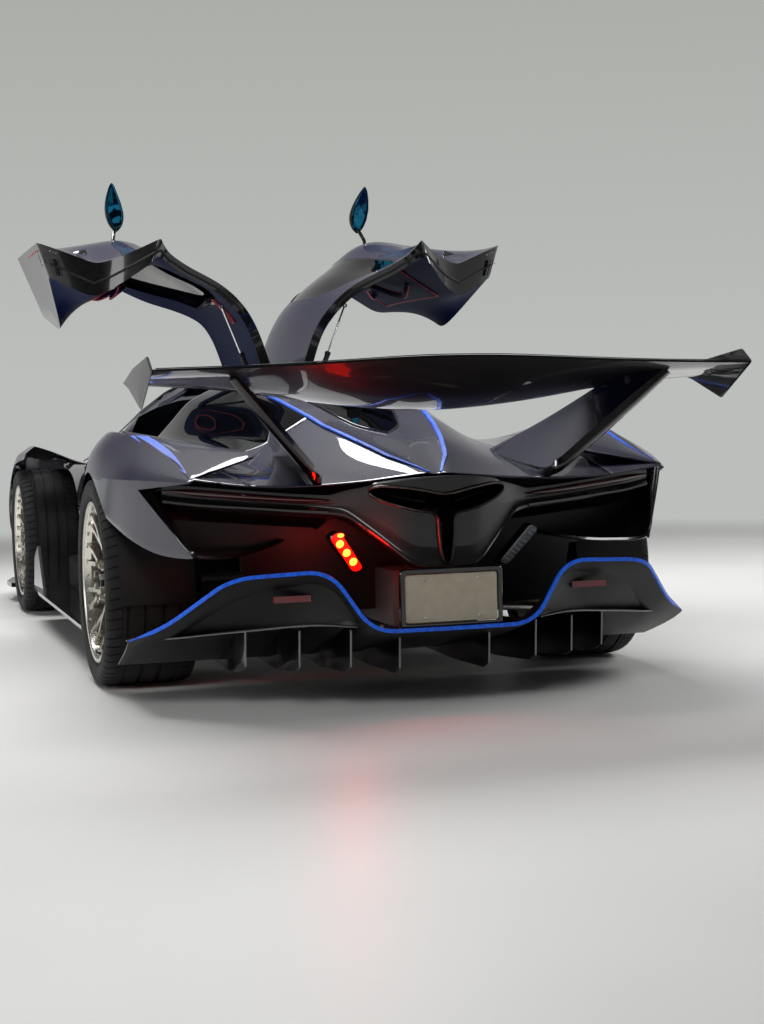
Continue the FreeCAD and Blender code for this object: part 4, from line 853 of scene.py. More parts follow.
# columns: roof, roof curve, shoulder, upper glass, glass, lower glass, belt, horn, waist, sill
cabinTable = [
    (-1000, [(0, 935), (250, 920), (360, 893), (460, 855), (540, 812), (615, 772), (688, 735),
             (722, 705), (700, 515), (800, 312)]),
    (-800, [(0, 1035), (250, 1018), (360, 987), (452, 943), (532, 882), (606, 826), (708, 766),
            (768, 712), (776, 520), (822, 315)]),
    (-520, [(0, 1102), (250, 1090), (368, 1058), (466, 1010), (548, 952), (628, 890), (746, 812),
            (806, 732), (812, 540), (834, 320)]),
    (-200, [(0, 1112), (250, 1103), (370, 1074), (464, 1029), (542, 974), (608, 908), (714, 806),
            (776, 748), (790, 545), (834, 322)]),
    (300, [(0, 1095), (250, 1083), (348, 1052), (434, 1006), (497, 955), (548, 883), (648, 768),
           (697, 738), (671, 528), (834, 323)]),
    (520, [(0, 1088), (250, 1073), (350, 1038), (434, 986), (497, 930), (552, 868), (660, 790),
           (730, 762), (724, 560), (850, 323)]),
]
doorLook = {
    "reaches": (56, 120, 200, 290, 335, 372, 440, 505, 575, 630, 662, 700, 738, 773, 820, 868, 985, 1104),
    "windowColumns": (5, 10), "windowRows": (2, 8), "wall": 38}
windowFront = [(54, -400), (300, -415), (372, -430), (505, -650), (655, -830), (700, -870), (773, -880),
               (868, -860), (1010, -640), (1150, -500)]
windowRear = [(54, 150), (300, 100), (372, 60), (440, 235), (600, 330), (662, 300), (700, 350), (739, 400),
              (800, 230), (868, 180), (1104, 110), (1150, 110)]
# inner end of the sill's underside, by station: y, x, z
lipLine = [(-960, 640, 350), (-600, 560, 356), (-200, 462, 366), (150, 686, 330), (471, 700, 330)]


def atReach(line, r):
    # the point of a section where its distance from the hinge is r
    for a, b in zip(line, line[1:]):
        ra, rb = reach(a), reach(b)
        if ra <= r <= rb:
            t = (r - ra) / (rb - ra)
            return (a[0] + t * (b[0] - a[0]), a[1] + t * (b[1] - a[1]))
    a, b = (line[0], line[1]) if r < reach(line[0]) else (line[-2], line[-1])
    t = (r - reach(a)) / (reach(b) - reach(a))
    return (a[0] + t * (b[0] - a[0]), a[1] + t * (b[1] - a[1]))


def inwardsAt(line, r):
    # the direction from a section's point, by its distance from the hinge, into the cabin
    (x, z), ahead, behind = atReach(line, r), atReach(line, r + 12), atReach(line, r - 12)
    way = Vector((ahead[0] - behind[0], ahead[1] - behind[1])).normalized()
    inwards = Vector((way.y, -way.x))
    return -inwards if inwards.dot(Vector((50 - x, 700 - z))) < 0 else inwards


def doorSheets():
    # outer and inner sheet of the closed left door, row by row from its front to its rear edge
    outer, inner = ([[] for stop in range(11)] for sheet in range(2))
    for r in doorLook["reaches"]:
        stops = [valueAt(doorFrontEdge, r), 0, valueAt(windowFront, r), 0, 0, 0, 0, 0,
                 valueAt(windowRear, r), 0, valueAt(doorRearEdge, r)]
        stops[1] = (stops[0] + stops[2]) / 2
        stops[9] = (stops[8] + stops[10]) / 2
        for k in range(3, 8):
            stops[k] = stops[2] + (stops[8] - stops[2]) * (k - 2) / 6
        for i, y in enumerate(stops):
            line = sectionAt(cabinTable, y)
            x, z = atReach(line, r)
            outer[i].append((x, y, z))
            deep = Vector((x, z)) + inwardsAt(line, r) * doorLook["wall"]
            card = Vector((548, 470))
            tip = Vector((valueAt([(a, b) for a, b, c in lipLine], y),
                          valueAt([(a, c) for a, b, c in lipLine], y)))
            if r > 868:
                deep = card.lerp(tip, (r - 868) / (1104 - 868))
            elif r > 700:
                start = Vector(atReach(line, 700)) + Vector((-0.86, -0.5)) * doorLook["wall"]
                deep = start.lerp(card, (r - 700) / 168)
            inner[i].append((deep.x, y, deep.y))
    return outer, inner


def slab(name, outer, inner, materials, skip=None, rim=0, innerSlot=0, lines=(), edgeWeight=1.0):
    # two sheets of one grid closed by rim faces; lines are (column, first, last, weight) on the outer one
    height, width = len(outer), len(outer[0])
    points = [p for row in outer for p in row] + [p for row in inner for p in row]
    shift = height * width
    cells = [(i, j) for i in range(height - 1) for j in range(width - 1) if not (skip and skip(i, j))]
    faces, slots = [], []
    counted = {}
    for i, j in cells:
        face = (i * width + j, i * width + j + 1, (i + 1) * width + j + 1, (i + 1) * width + j)
        faces.append(face)
        slots.append(0)
        faces.append(tuple(shift + k for k in face[::-1]))
        slots.append(innerSlot)
        for a, b in zip(face, face[1:] + face[:1]):
            counted.setdefault(tuple(sorted((a, b))), []).append((a, b))
    sharp = []
    for uses in counted.values():
        if len(uses) == 1:
            a, b = uses[0]
            faces.append((b, a, shift + a, shift + b))
            slots.append(rim)
            sharp += [(a, b, edgeWeight), (shift + a, shift + b, edgeWeight)]
    for j, first, last, weight in lines:
        for i in range(first, last):
            sharp.append((i * width + j, (i + 1) * width + j, weight))
    item = meshObject(name, points, faces, materials, slots)
    crease(item, sharp)
    return item


def swungOpen(item):
    # from the closed to the open place, about the left door's hinge
    x, z = (value / 1000 for value in bodyLook["hinge"])
    place = Matrix.Translation((x, 0, z))
    item.data.transform(place @ Matrix.Rotation(-math.radians(bodyLook["doorAngle"]), 4, "Y")
                        @ place.inverted())


def makeDoor():
    outer, inner = doorSheets()
    c0, c1 = doorLook["windowColumns"]
    r0, r1 = doorLook["windowRows"]
    outer = [mm(row) for row in outer]
    inner = [mm(row) for row in inner]
    lines = [(12, 7, 10, 0.5), (13, 6, 10, 0.9), (13, 0, 6, 0.3), (15, 0, 10, 0.35)]
    door = slab("doorLeft", outer, inner, [paint, leather, blackGloss],
                skip=lambda i, j: r0 <= i < r1 and c0 <= j < c1, rim=2, innerSlot=1, lines=lines)
    refine(door, 3)
    settle(door, 40)
    turnOutwards(door)
    shade(door, 40)
    glassOut, glassIn = [], []
    for i in range(r0, r1 + 1):
        rowOut, rowIn = [], []
        for j in range(c0, c1 + 1):
            way = (Vector(inner[i][j]) - Vector(outer[i][j])).normalized()
            rowOut.append(Vector(outer[i][j]) + way * 0.004)
            rowIn.append(Vector(outer[i][j]) + way * 0.009)
        glassOut.append(rowOut)
        glassIn.append(rowIn)
    glass = slab("doorGlassLeft", glassOut, glassIn, [smokedGlass])
    refine(glass, 3)
    settle(glass, 40)
    turnOutwards(glass)
    shade(glass, 40)
    for item in (door, glass):
        swungOpen(item)
    return door, glass


frontClam = makeFrontBody()
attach(frontClam, "chassis")
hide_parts("front_clam")
door, doorGlass = makeDoor()
for item, name, node, slotName in ((door, "doorRight", "door", "body_paint"),
                                   (doorGlass, "doorGlassRight", "door_window", "window_glass")):
    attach(item, "left_door")
    other = twin(item, name, "right_door")
    for piece, hand in ((item, "left"), (other, "right")):
        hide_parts(node + "_" + hand)
print("front body and doors made")


def rounded(points, bend, steps=6):
    # a path with each inner corner turned into a curve that starts and ends a bend's length from it
    points = [Vector(p) for p in points]
    out = [points[0]]
    for before, here, after in zip(points, points[1:], points[2:]):
        a = here + (before - here).normalized() * min(bend, (before - here).length * 0.48)
        b = here + (after - here).normalized() * min(bend, (after - here).length * 0.48)
        for k in range(steps + 1):
            t = k / steps
            out.append(a * (1 - t) ** 2 + here * 2 * t * (1 - t) + b * t ** 2)
    return out + [points[-1]]


def sweep(name, path, profile, materials, up=(0, 0, 1), closed=False, sizes=None):
    # a bar with a closed profile of (across, upwards) that follows a path; sizes scale it along the way
    points = [Vector(p) for p in path]
    rows = []
    for point, way, size in zip(points, waysAlong(points, closed), sizes or [1] * len(points)):
        across = way.cross(Vector(up)).normalized()
        rise = across.cross(way)
        rows.append([point + (across * a + rise * b) * size for a, b in profile])
    item = barFrom(name, rows, materials, closed)
    shade(item, 40)
    return item


def barProfile(wide, high, corner=0.25):
    # a flat bar's section with softened corners, standing on the path
    a, b = wide / 2, min(wide, high) * corner
    return [(-a, 0), (a, 0), (a, high - b), (a - b, high), (-a + b, high), (-a, high - b)]


def surfaceOf(items):
    # what a ray finds on finished pieces: place and normal
    work = bmesh.new()
    for item in items:
        work.from_mesh(item.data)
    tree = BVHTree.FromBMesh(work)
    work.free()
    return tree


def dropped(tree, points, lift=0.0):
    # points (x, y) laid on a surface from above, with a small lift along its normal
    out = []
    for x, y in points:
        place, normal = tree.ray_cast(Vector((x, y, 3)), Vector((0, 0, -1)))[:2]
        if place is not None:
            out.append(place + normal * lift)
    return out


def plateFrom(name, outline, thick, materials, bevel=0.0, segments=2):
    # a flat plate from an outline of 3-D points; it gains its thickness behind its face
    item = meshObject(name, outline, [tuple(range(len(outline)))], materials)
    modifier(item, "SOLIDIFY", thickness=thick, offset=-1)
    if bevel:
        modifier(item, "BEVEL", width=bevel, segments=segments, limit_method="ANGLE",
                 angle_limit=math.radians(30))
    settle(item, 40)
    return item


def onChassis(item, *replaced):
    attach(item, "chassis")
    if replaced:
        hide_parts(*replaced)
    return item


# the raised blue edges of the spine's V, by (x, y) on the cover, in metres
spineLook = {"edge": [(0.262, 0.62), (0.262, 0.85), (0.257, 1.05), (0.243, 1.3), (0.2, 1.6), (0.152, 1.82),
                      (0.098, 2.02), (0.02, 2.205)],
             "edgeWide": 0.016, "edgeHigh": 0.006,
             "window": [(0.0, 0.80), (0.085, 0.83), (0.135, 0.95), (0.142, 1.15), (0.118, 1.4), (0.075, 1.6),
                        (0.0, 1.70)]}


def spaced(points, step):
    # the same path with points no further apart than a step
    out = []
    for a, b in zip(points, points[1:]):
        a, b = Vector(a), Vector(b)
        count = max(1, math.ceil((b - a).length / step))
        out += [a.lerp(b, k / count) for k in range(count)]
    return out + [Vector(points[-1])]


def makeSpine(cover):
    tree = surfaceOf([cover])
    flat = spaced([(x, y, 0) for x, y in spineLook["edge"]], 0.04)
    path = dropped(tree, [(p.x, p.y) for p in flat], 0.001)
    sizes = [0.45 + 0.55 * min(1, k / 3) * min(1, (len(path) - 1 - k) / 8 + 0.15) for k in range(len(path))]
    edges = sweep("spineEdges", path, barProfile(spineLook["edgeWide"], spineLook["edgeHigh"]), [edgePaint],
                  sizes=sizes)
    mirrorAcross(edges)
    onChassis(edges)
    half = rounded([(x, y, 0) for x, y in spineLook["window"]], 0.06, 4)
    ring = half + [Vector((-p.x, p.y, 0)) for p in half[-2:0:-1]]
    path = dropped(tree, [(p.x, p.y) for p in ring], 0.0015)
    frameBar = sweep("spineWindowFrame", path, barProfile(0.007, 0.004), [blackGloss], closed=True)
    onChassis(frameBar)
    rings = []
    middle = Vector((0, 1.2, 0))
    for share in (1.0, 0.8, 0.55, 0.3, 0.05):
        inner = [middle.lerp(p, share) for p in ring]
        rings.append(dropped(tree, [(p.x, p.y) for p in inner], 0.0025))
    glass = cage("spineWindow", rings, [smokedGlass], loop=True)
    turnUp(glass)
    modifier(glass, "SOLIDIFY", thickness=0.0015, offset=-1)
    settle(glass, 60)
    onChassis(glass)


makeSpine(rear["engineCover"])
bladeLook = {"corners": ((0.880, 1.460, 0.890), (0.790, 2.206, 0.744), (0.510, 1.960, 0.808)),
             "rise": 0.012, "stripeWide": 0.075}


def makeBlades():
    # a thin triangular blade over each rear deck, slightly crowned, with a blue wedge on its outer edge
    a, b, c = (Vector(p) for p in bladeLook["corners"])
    rows = []
    for i in range(17):
        t = i / 16
        outer = a.lerp(b, t)
        inner = a.lerp(c, t / 0.72) if t < 0.72 else c.lerp(b, (t - 0.72) / 0.28)
        row = []
        for s in (0.0, 0.25, 0.5, 0.75, 1.0):
            lift = bladeLook["rise"] * 4 * s * (1 - s) * math.sin(math.pi * min(1, max(0.02, t)))
            row.append(outer.lerp(inner, s) + Vector((0, 0, lift)))
        rows.append(row)
    blade = cage("deckBlades", rows, [paint])
    turnUp(blade)
    modifier(blade, "SOLIDIFY", thickness=0.007, offset=-1)
    modifier(blade, "BEVEL", width=0.0015, segments=2, limit_method="ANGLE", angle_limit=math.radians(50))
    settle(blade, 35)
    mirrorAcross(blade)
    onChassis(blade)
    tree = surfaceOf([blade])
    rows = []
    for i in range(13):
        t = 0.12 + 0.8 * i / 12
        wide = bladeLook["stripeWide"] * (1 - (i / 12)) ** 0.8 + 0.002
        outer = a.lerp(b, t)
        inward = (c - outer)
        inward.z = 0
        inward.normalize()
        spots = [outer + inward * (0.004 + wide * s) for s in (0, 0.33, 0.66, 1)]
        rows.append(dropped(tree, [(p.x, p.y) for p in spots], 0.0012))
    stripe = cage("bladeStripes", rows, [edgePaint])
    turnUp(stripe)
    modifier(stripe, "SOLIDIFY", thickness=0.001, offset=-1)
    settle(stripe, 60)
    mirrorAcross(stripe)
    onChassis(stripe)


makeBlades()
print("spine and deck blades made")
# the tail fascia by x: face y, top of the lens, bottom of the lens, ledge; it is set under the deck's edge
fasciaTable = [
    (0.000, 2.306, 0.716, 0.700, 0.440), (0.095, 2.298, 0.712, 0.697, 0.440),
    (0.130, 2.284, 0.708, 0.692, 0.466), (0.200, 2.236, 0.698, 0.680, 0.530),
    (0.285, 2.170, 0.680, 0.662, 0.603), (0.335, 2.142, 0.664, 0.646, 0.610),
    (0.450, 2.112, 0.672, 0.652, 0.619), (0.600, 2.078, 0.687, 0.664, 0.634),
    (0.740, 2.035, 0.702, 0.678, 0.647), (0.842, 1.985, 0.712, 0.688, 0.660)]
fasciaLook = {"lensFrom": 0.335, "lensTo": 0.842, "backWall": 1.905, "star": 0.635}
# the outlet's three lobes: direction, reach, half width, direction of the notch after it
starLobes = ((13, 0.232, 0.034, -38.5), (-90, 0.180, 0.026, -141.5), (167, 0.232, 0.034, 90))


def alongFascia(x, column):
    return valueAt([(row[0], row[column]) for row in fasciaTable], abs(x))


def starRing(extra, depth=0.0):
    # the outlet's rounded outline laid on the fascia
    points = []
    for angle, far, half, notch in starLobes:
        out = Vector((math.cos(math.radians(angle)), 0, math.sin(math.radians(angle))))
        side = Vector((-out.z, 0, out.x))
        flank = ((0.42, half), (0.82, 0.72 * half), (1.0, 0.010))
        points += [out * far * d + side * (w + extra) for d, w in flank]
        points += [out * far * d - side * (w + extra) for d, w in flank[::-1]]
        points.append(Vector((math.cos(math.radians(notch)), 0,
                              math.sin(math.radians(notch)))) * (0.034 + extra))
    loop = []
    count = len(points)
    for k in range(count):
        before, here, after = points[k - 1], points[k], points[(k + 1) % count]
        a = here + (before - here) * 0.4
        b = here + (after - here) * 0.4
        for t in (0.1, 0.5, 0.9):
            loop.append(a * (1 - t) ** 2 + here * 2 * t * (1 - t) + b * t ** 2)
    return [Vector((p.x, alongFascia(p.x, 1) + depth, p.z + fasciaLook["star"])) for p in loop]


def makeFascia():
    stations = spaced([(row[0], 0, 0) for row in fasciaTable], 0.05)
    half = []
    for spot in stations:
        x = spot.x
        y, lensTop, lensLow, ledge = (alongFascia(x, k) for k in (1, 2, 3, 4))
        isOpen = x >= 0.29
        top = lensTop + 0.012
        back = fasciaLook["backWall"] if x > 0.3 else y - 0.1
        half.append([(x, y - 0.012, top + 0.004), (x, y, top - 0.002), (x, y - 0.003, lensLow),
                     (x, y - 0.012, ledge + 0.03), (x, y + 0.004, ledge + 0.010), (x, y + 0.001, ledge),
                     (x, y - 0.05, ledge + (-0.012 if isOpen else 0.02)),
                     (x, back + 0.02, ledge - 0.02), (x, back, ledge - 0.06 if isOpen else ledge + 0.03)])
    rows = [[(-a, b, c) for a, b, c in row] for row in half[:0:-1]] + half
    lines = [(1, 0, len(rows) - 1, 0.6), (4, 0, len(rows) - 1, 0.9), (5, 0, len(rows) - 1, 0.8)]
    fascia = cage("tailFascia", rows, [glossCarbon], (), lines)
    refine(fascia, 2)
    settle(fascia, 180)
    turnUp(fascia, 1)
    modifier(fascia, "SOLIDIFY", thickness=0.004, offset=-1)
    settle(fascia, 40)
    star = [(p.x, p.z) for p in starRing(0.004)]
    cutAway(fascia, prismAlong("cutter", star, 1, 2.05, 2.45, [glossCarbon]))
    onChassis(fascia, "tail_panel")
    return fascia


def makeOutlet():
    # the cast three-lobed outlet: a rolled rim, deep walls and a dark throat
    rows = [starRing(extra, depth) for extra, depth in
            ((0.004, -0.03), (0.004, 0.004), (0.002, 0.007), (-0.002, 0.006), (-0.004, 0.0),
             (-0.006, -0.06), (-0.008, -0.16))]
    outlet = cage("exhaustOutlet", rows, [heatSteel], loop=True)
    work = bmesh.new()
    work.from_mesh(outlet.data)
    work.verts.ensure_lookup_table()
    count = len(rows[0])
    last = [work.verts[(len(rows) - 1) * count + k] for k in range(count)]
    hub = work.verts.new((0, 2.13, fasciaLook["star"]))
    for k in range(count):
        work.faces.new((last[k], last[(k + 1) % count], hub))
    bmesh.ops.recalc_face_normals(work, faces=work.faces)
    work.to_mesh(outlet.data)
    work.free()
    modifier(outlet, "SOLIDIFY", thickness=0.002, offset=0)
    settle(outlet, 40)
    onChassis(outlet, "exhaust")
    fins = []
    for angle in (13, 167, -90):
        out = Vector((math.cos(math.radians(angle)), 0, math.sin(math.radians(angle))))
        centre = Vector((0, 0, fasciaLook["star"]))
        path = [centre + out * 0.05, centre + out * 0.19]
        path = [Vector((p.x, alongFascia(p.x, 1) - 0.05, p.z)) for p in path]
        fins.append(tube("outletFin", path, [0.004, 0.002], [heatSteel], 8))
    onChassis(joined("outletFins", fins))


def makeLens():
    # a long dark red lamp strip under the deck on each side, with a bright edge along its top
    rows = []
    for k in range(21):
        t = k / 20
        x = fasciaLook["lensFrom"] + (fasciaLook["lensTo"] - fasciaLook["lensFrom"]) * t
        y, top, low = (alongFascia(x, c) for c in (1, 2, 3))
        taper = min(1, t * 6 + 0.25, (1 - t) * 5 + 0.15)
        middle, high = (top + low) / 2 + 0.002, (top - low) / 2 * taper
        rows.append([(x, y - 0.004, middle + high), (x, y + 0.006, middle + high * 0.8),
                     (x, y + 0.009, middle), (x, y + 0.006, middle - high * 0.8),
                     (x, y - 0.004, middle - high)])
    lens = cage("tailLensStrips", rows, [redGlass])
    refine(lens, 1)
    settle(lens, 180)
    turnUp(lens, 1)
    modifier(lens, "SOLIDIFY", thickness=0.002, offset=-1)
    settle(lens, 40)
    mirrorAcross(lens)
    onChassis(lens)
    spots = []
    for k in range(13):
        x = 0.34 + 0.49 * k / 12
        spots.append(Vector((x, alongFascia(x, 1) + 0.004, alongFascia(x, 4) + 0.006)))
    sizes = [1.6 - 1.3 * k / 12 for k in range(13)]
    lip = sweep("fasciaLedges", spots, barProfile(0.008, 0.006), [blackGloss], sizes=sizes)
    mirrorAcross(lip)
    onChassis(lip)


ductRim = [(0.862, 1.952, 0.694), (0.846, 2.010, 0.628), (0.812, 2.078, 0.552), (0.776, 2.132, 0.503),
           (0.742, 2.118, 0.489), (0.606, 2.040, 0.488), (0.500, 1.965, 0.505), (0.440, 1.925, 0.522)]


def makeDucts():
    # the ducts' lower lips and floors, and one dark back wall behind both
    path = rounded(ductRim, 0.05)
    rim = sweep("ductRims", path, [(-0.004, -0.006), (0.004, -0.006), (0.006, 0), (0.004, 0.006),
                                   (-0.004, 0.006)],
                [blackGloss], up=(0, 1, 0.3))
    mirrorAcross(rim)
    onChassis(rim)
    rows = []
    for p in path:
        back = Vector((p.x * 0.94, fasciaLook["backWall"] - 0.02, max(p.z, 0.50)))
        rows.append([p, p.lerp(back, 0.35) + Vector((0, 0, 0.004)), p.lerp(back, 0.7), back])
    floor = cage("ductFloors", rows, [glossCarbon])
    turnUp(floor)
    modifier(floor, "SOLIDIFY", thickness=0.003, offset=-1)
    settle(floor, 40)
    mirrorAcross(floor)
    onChassis(floor)
    y = fasciaLook["backWall"]
    outline = [(x, y, z) for x, z in ((-0.84, 0.70), (-0.80, 0.50), (-0.58, 0.47), (-0.55, 0.28),
                                      (0.55, 0.28), (0.58, 0.47), (0.80, 0.50), (0.84, 0.70))]
    wall = plateFrom("tailBackWall", outline, 0.005, [blackSatin], 0.001)
    onChassis(wall)


tailLampLook = {"outline": [(0.232, 0.438), (0.262, 0.426), (0.352, 0.542), (0.322, 0.562)],
                "face": 2.175, "lean": 0.45, "diodes": ((0.317, 0.521), (0.292, 0.491), (0.267, 0.461)),
                "small": (0.318, 0.549), "ribs": 9}


def lampSpot(x, z, lift=0.0):
    # on the lamp's slanted face, which leans forward towards the bottom
    return Vector((x, tailLampLook["face"] + (z - 0.50) * tailLampLook["lean"] + lift, z))


def makeLamps():
    shape = rounded([(x, 0, z) for x, z in tailLampLook["outline"] * 2], 0.014, 4)
    ring = shape[5:5 + 4 * 5]
    for side, hand, glow in ((1, "Left", ledHalo), (-1, "Right", ledDark)):
        rows = []
        middle = sum(ring, Vector()) / len(ring)
        for share, lift in ((1.06, -0.05), (1.06, 0.0), (1.0, 0.006), (0.9, 0.007), (0.55, 0.007),
                            (0.05, 0.007)):
            rows.append([lampSpot((middle.lerp(p, share)).x, (middle.lerp(p, share)).z, lift) for p in ring])
        item = cage("tailLamp" + hand, [[(side * p.x, p.y, p.z) for p in row] for row in rows],
                    [blackGloss, glow], loop=True, slot=lambda i, j: 0 if i < 2 else 1)
        turnOutwards(item)
        shade(item, 40)
        onChassis(item)
    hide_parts("tail_lights")
    diodes = []
    for k, (x, z) in enumerate(tailLampLook["diodes"] + (tailLampLook["small"],)):
        radius = 0.0115 if k < 3 else 0.006
        ringRows = []
        for share, lift in ((1.15, 0.006), (1.0, 0.012), (0.8, 0.016), (0.4, 0.019), (0.02, 0.02)):
            row = []
            for q in range(16):
                t = 2 * math.pi * q / 16
                row.append(lampSpot(x + radius * share * math.cos(t) * (1.6 if k == 3 else 1),
                                    z + radius * share * math.sin(t), lift))
            ringRows.append(row)
        diode = cage("diode", ringRows, [ledLit], loop=True)
        turnOutwards(diode)
        if sum(p.normal.y for p in diode.data.polygons) < 0:
            diode.data.flip_normals()
        shade(diode, 60)
        diodes.append(diode)
    onChassis(joined("tailDiodes", diodes))
    ribs = []
    for k in range(tailLampLook["ribs"]):
        t = (k + 0.7) / (tailLampLook["ribs"] + 0.4)
        a = lampSpot(-(0.240 + 0.088 * t), 0.441 + 0.112 * t, 0.010)
        b = lampSpot(-(0.258 + 0.090 * t), 0.433 + 0.110 * t, 0.010)
        ribs.append(tube("rib", [a, b], 0.0035, [ledDark], 8))
    onChassis(joined("tailLensRibs", ribs))


makeFascia()
makeOutlet()
makeLens()
makeDucts()
makeLamps()
print("tail fascia and lamps made")

plateLook = {"middle": (0.0, 2.340, 0.350), "face": (0.305, 0.152), "frame": (0.338, 0.186), "corner": 0.012}


def roundedBox(wide, high, corner, steps=4):
    # a rounded rectangle's outline in (across, up)
    points = []
    for sx, sz, start in ((1, 1, 0), (-1, 1, 90), (-1, -1, 180), (1, -1, 270)):
        for k in range(steps + 1):
            t = math.radians(start + 90 * k / steps)
            points.append((sx * (wide / 2 - corner) + corner * math.cos(t),
                           sz * (high / 2 - corner) + corner * math.sin(t)))
    return points


def makePlate():
    # a blank pressed number plate in a dark cast frame, held by four screws
    x, y, z = plateLook["middle"]
    rings = []
    for wide, high, lift in ((0.0, 0.0, -0.012), (0.0, 0.0, 0.004), (-0.004, -0.004, 0.007),
                             (-0.026, -0.026, 0.007), (-0.030, -0.030, 0.003)):
        rings.append([(x + a, y + lift, z + b) for a, b in
                      roundedBox(plateLook["frame"][0] + wide, plateLook["frame"][1] + high,
                                 plateLook["corner"])])
    item = cage("plateFrame", rings, [blackGloss], loop=True)
    turnOutwards(item)
    shade(item, 30)
    onChassis(item)
    rings = []
    for wide, lift in ((0, 0.0005), (-0.004, 0.0035), (-0.010, 0.0035), (-0.014, 0.002), (-0.08, 0.002),
                       (-0.15, 0.002)):
        high = min(wide, 0)
        rings.append([(x + a, y + lift, z + b) for a, b in
                      roundedBox(plateLook["face"][0] + wide, plateLook["face"][1] + high,
                                 0.008 if wide > -0.07 else 0.001)])
    face = cage("numberPlateBlank", rings, [plateFace], loop=True)
    sealEnds(face)
    shade(face, 30)
    onChassis(face, "number_plate")
    bolts = []
    for a in (-0.089, 0.089):
        for b in (-0.060, 0.060):
            bolts.append(tube("bolt", [(x + a, y + 0.002, z + b), (x + a, y + 0.0055, z + b),
                                       (x + a, y + 0.0065, z + b)],
                              [0.0045, 0.0045, 0.003], [steel], 12))
    onChassis(joined("plateScrews", bolts))


makePlate()

# the diffuser's rear edge, half of it, and the lower lip that its dark face runs down to
diffuserLine = [(0.0, 2.366, 0.258), (0.268, 2.366, 0.260), (0.392, 2.335, 0.452), (0.690, 2.289, 0.438),
                (0.865, 2.090, 0.278), (0.965, 1.986, 0.228)]
lipPath = [(0.300, 2.330, 0.275), (0.420, 2.255, 0.285), (0.560, 2.170, 0.268), (0.690, 2.080, 0.252),
           (0.805, 2.000, 0.236), (0.900, 1.960, 0.232), (0.962, 1.972, 0.229)]
finLook = {"places": (0.150, 0.310, 0.460, 0.611), "thick": 0.006}


def makeDiffuser():
    edge = spaced(rounded(diffuserLine, 0.075, 8), 0.03)
    rows = []
    for p in edge:
        front = Vector((min(p.x, 0.955), 1.70, 0.118 + 0.004 * p.x))
        row = []
        for t in (0, 0.03, 0.2, 0.45, 0.75, 1.0):
            spot = p.lerp(front, t)
            spot.z = p.z + (front.z - p.z) * (t ** 0.8)
            row.append(spot)
        rows.append(row)
    skinPiece = cage("diffuserSkin", rows, [satinCarbon])
    turnUp(skinPiece)
    modifier(skinPiece, "SOLIDIFY", thickness=0.007, offset=-1)
    settle(skinPiece, 35)
    mirrorAcross(skinPiece)
    onChassis(skinPiece, "diffuser")
    profile = [(-0.003, -0.006), (0.004, -0.006), (0.0055, -0.004), (0.0055, 0.004), (0.004, 0.006),
               (-0.003, 0.006)]
    whole = [Vector((-p.x, p.y, p.z)) for p in edge[:0:-1]] + edge
    whole = [p + Vector((0, 0.003, -0.002)) for p in whole]
    sizes = [min(1, 0.2 + min(k, len(whole) - 1 - k) / 5) for k in range(len(whole))]
    strip = sweep("diffuserEdgeStripe", whole, profile, [edgePaint], up=(0, 0, 1), sizes=sizes)
    onChassis(strip, "diffuser_edge")
    # the dark face between the arched edge and the lip
    faceRows = []
    lip = spaced(rounded(lipPath, 0.08, 4), 0.03)
    count = 30
    arch = [p for p in edge if p.x >= 0.285]
    for k in range(count + 1):
        t = k / count
        a = arch[round(t * (len(arch) - 1))]
        b = lip[round(t * (len(lip) - 1))]
        top = a + Vector((0, -0.012, -0.008))
        faceRows.append([top, top.lerp(b, 0.35) + Vector((0, -0.012, 0)),
                         top.lerp(b, 0.7) + Vector((0, -0.012, 0)), b])
    face = cage("diffuserFaces", faceRows, [blackSatin])
    turnUp(face, 1)
    modifier(face, "SOLIDIFY", thickness=0.004, offset=-1)
    settle(face, 35)
    mirrorAcross(face)
    onChassis(face)
    blade = sweep("diffuserLips", [p + Vector((0, -0.012, -0.004)) for p in lip],
                  [(-0.030, 0), (-0.028, -0.004), (0.014, -0.003), (0.016, 0), (0.014, 0.002),
                   (-0.028, 0.002)], [castAlloy],
                  sizes=[0.35 + 0.65 * min(1, k / 8) for k in range(len(lip))])
    mirrorAcross(blade)
    onChassis(blade)
    fins = []
    for x in finLook["places"]:
        low = 0.104 if x < 0.2 else 0.118
        back = 2.26 if x < 0.4 else (2.20 if x < 0.5 else 2.10)
        outline = [(x, 1.62, 0.100), (x, 1.90, 0.096), (x, back - 0.05, low), (x, back, low + 0.02),
                   (x, back + 0.008, 0.258), (x, 1.95, 0.236), (x, 1.62, 0.112)]
        fin = plateFrom("fin", [(a + finLook["thick"] / 2, b, c) for a, b, c in outline], finLook["thick"],
                        [glossCarbon], 0.0012)
        fins.append(fin)
        fins.append(tube("finEdge", [(x, back + 0.001, low + 0.022), (x, back + 0.009, 0.256)], 0.0034,
                         [castAlloy], 8))
    fins = joined("diffuserFins", fins)
    mirrorAcross(fins)
    onChassis(fins)
    reflectors = []
    for k in (1, -1):
        path = [(k * (0.437 + 0.119 * q / 6), 2.262, 0.363) for q in range(7)]
        profile = [(k * a, b) for a, b in ((-0.011, -0.010), (0.004, -0.010), (0.007, -0.006), (0.007, 0.006),
                                           (0.004, 0.010), (-0.011, 0.010))]
        reflectors.append(sweep("reflector", path, profile, [reflectorRed]))
    onChassis(joined("tailReflectors", reflectors))


makeDiffuser()
print("diffuser made")
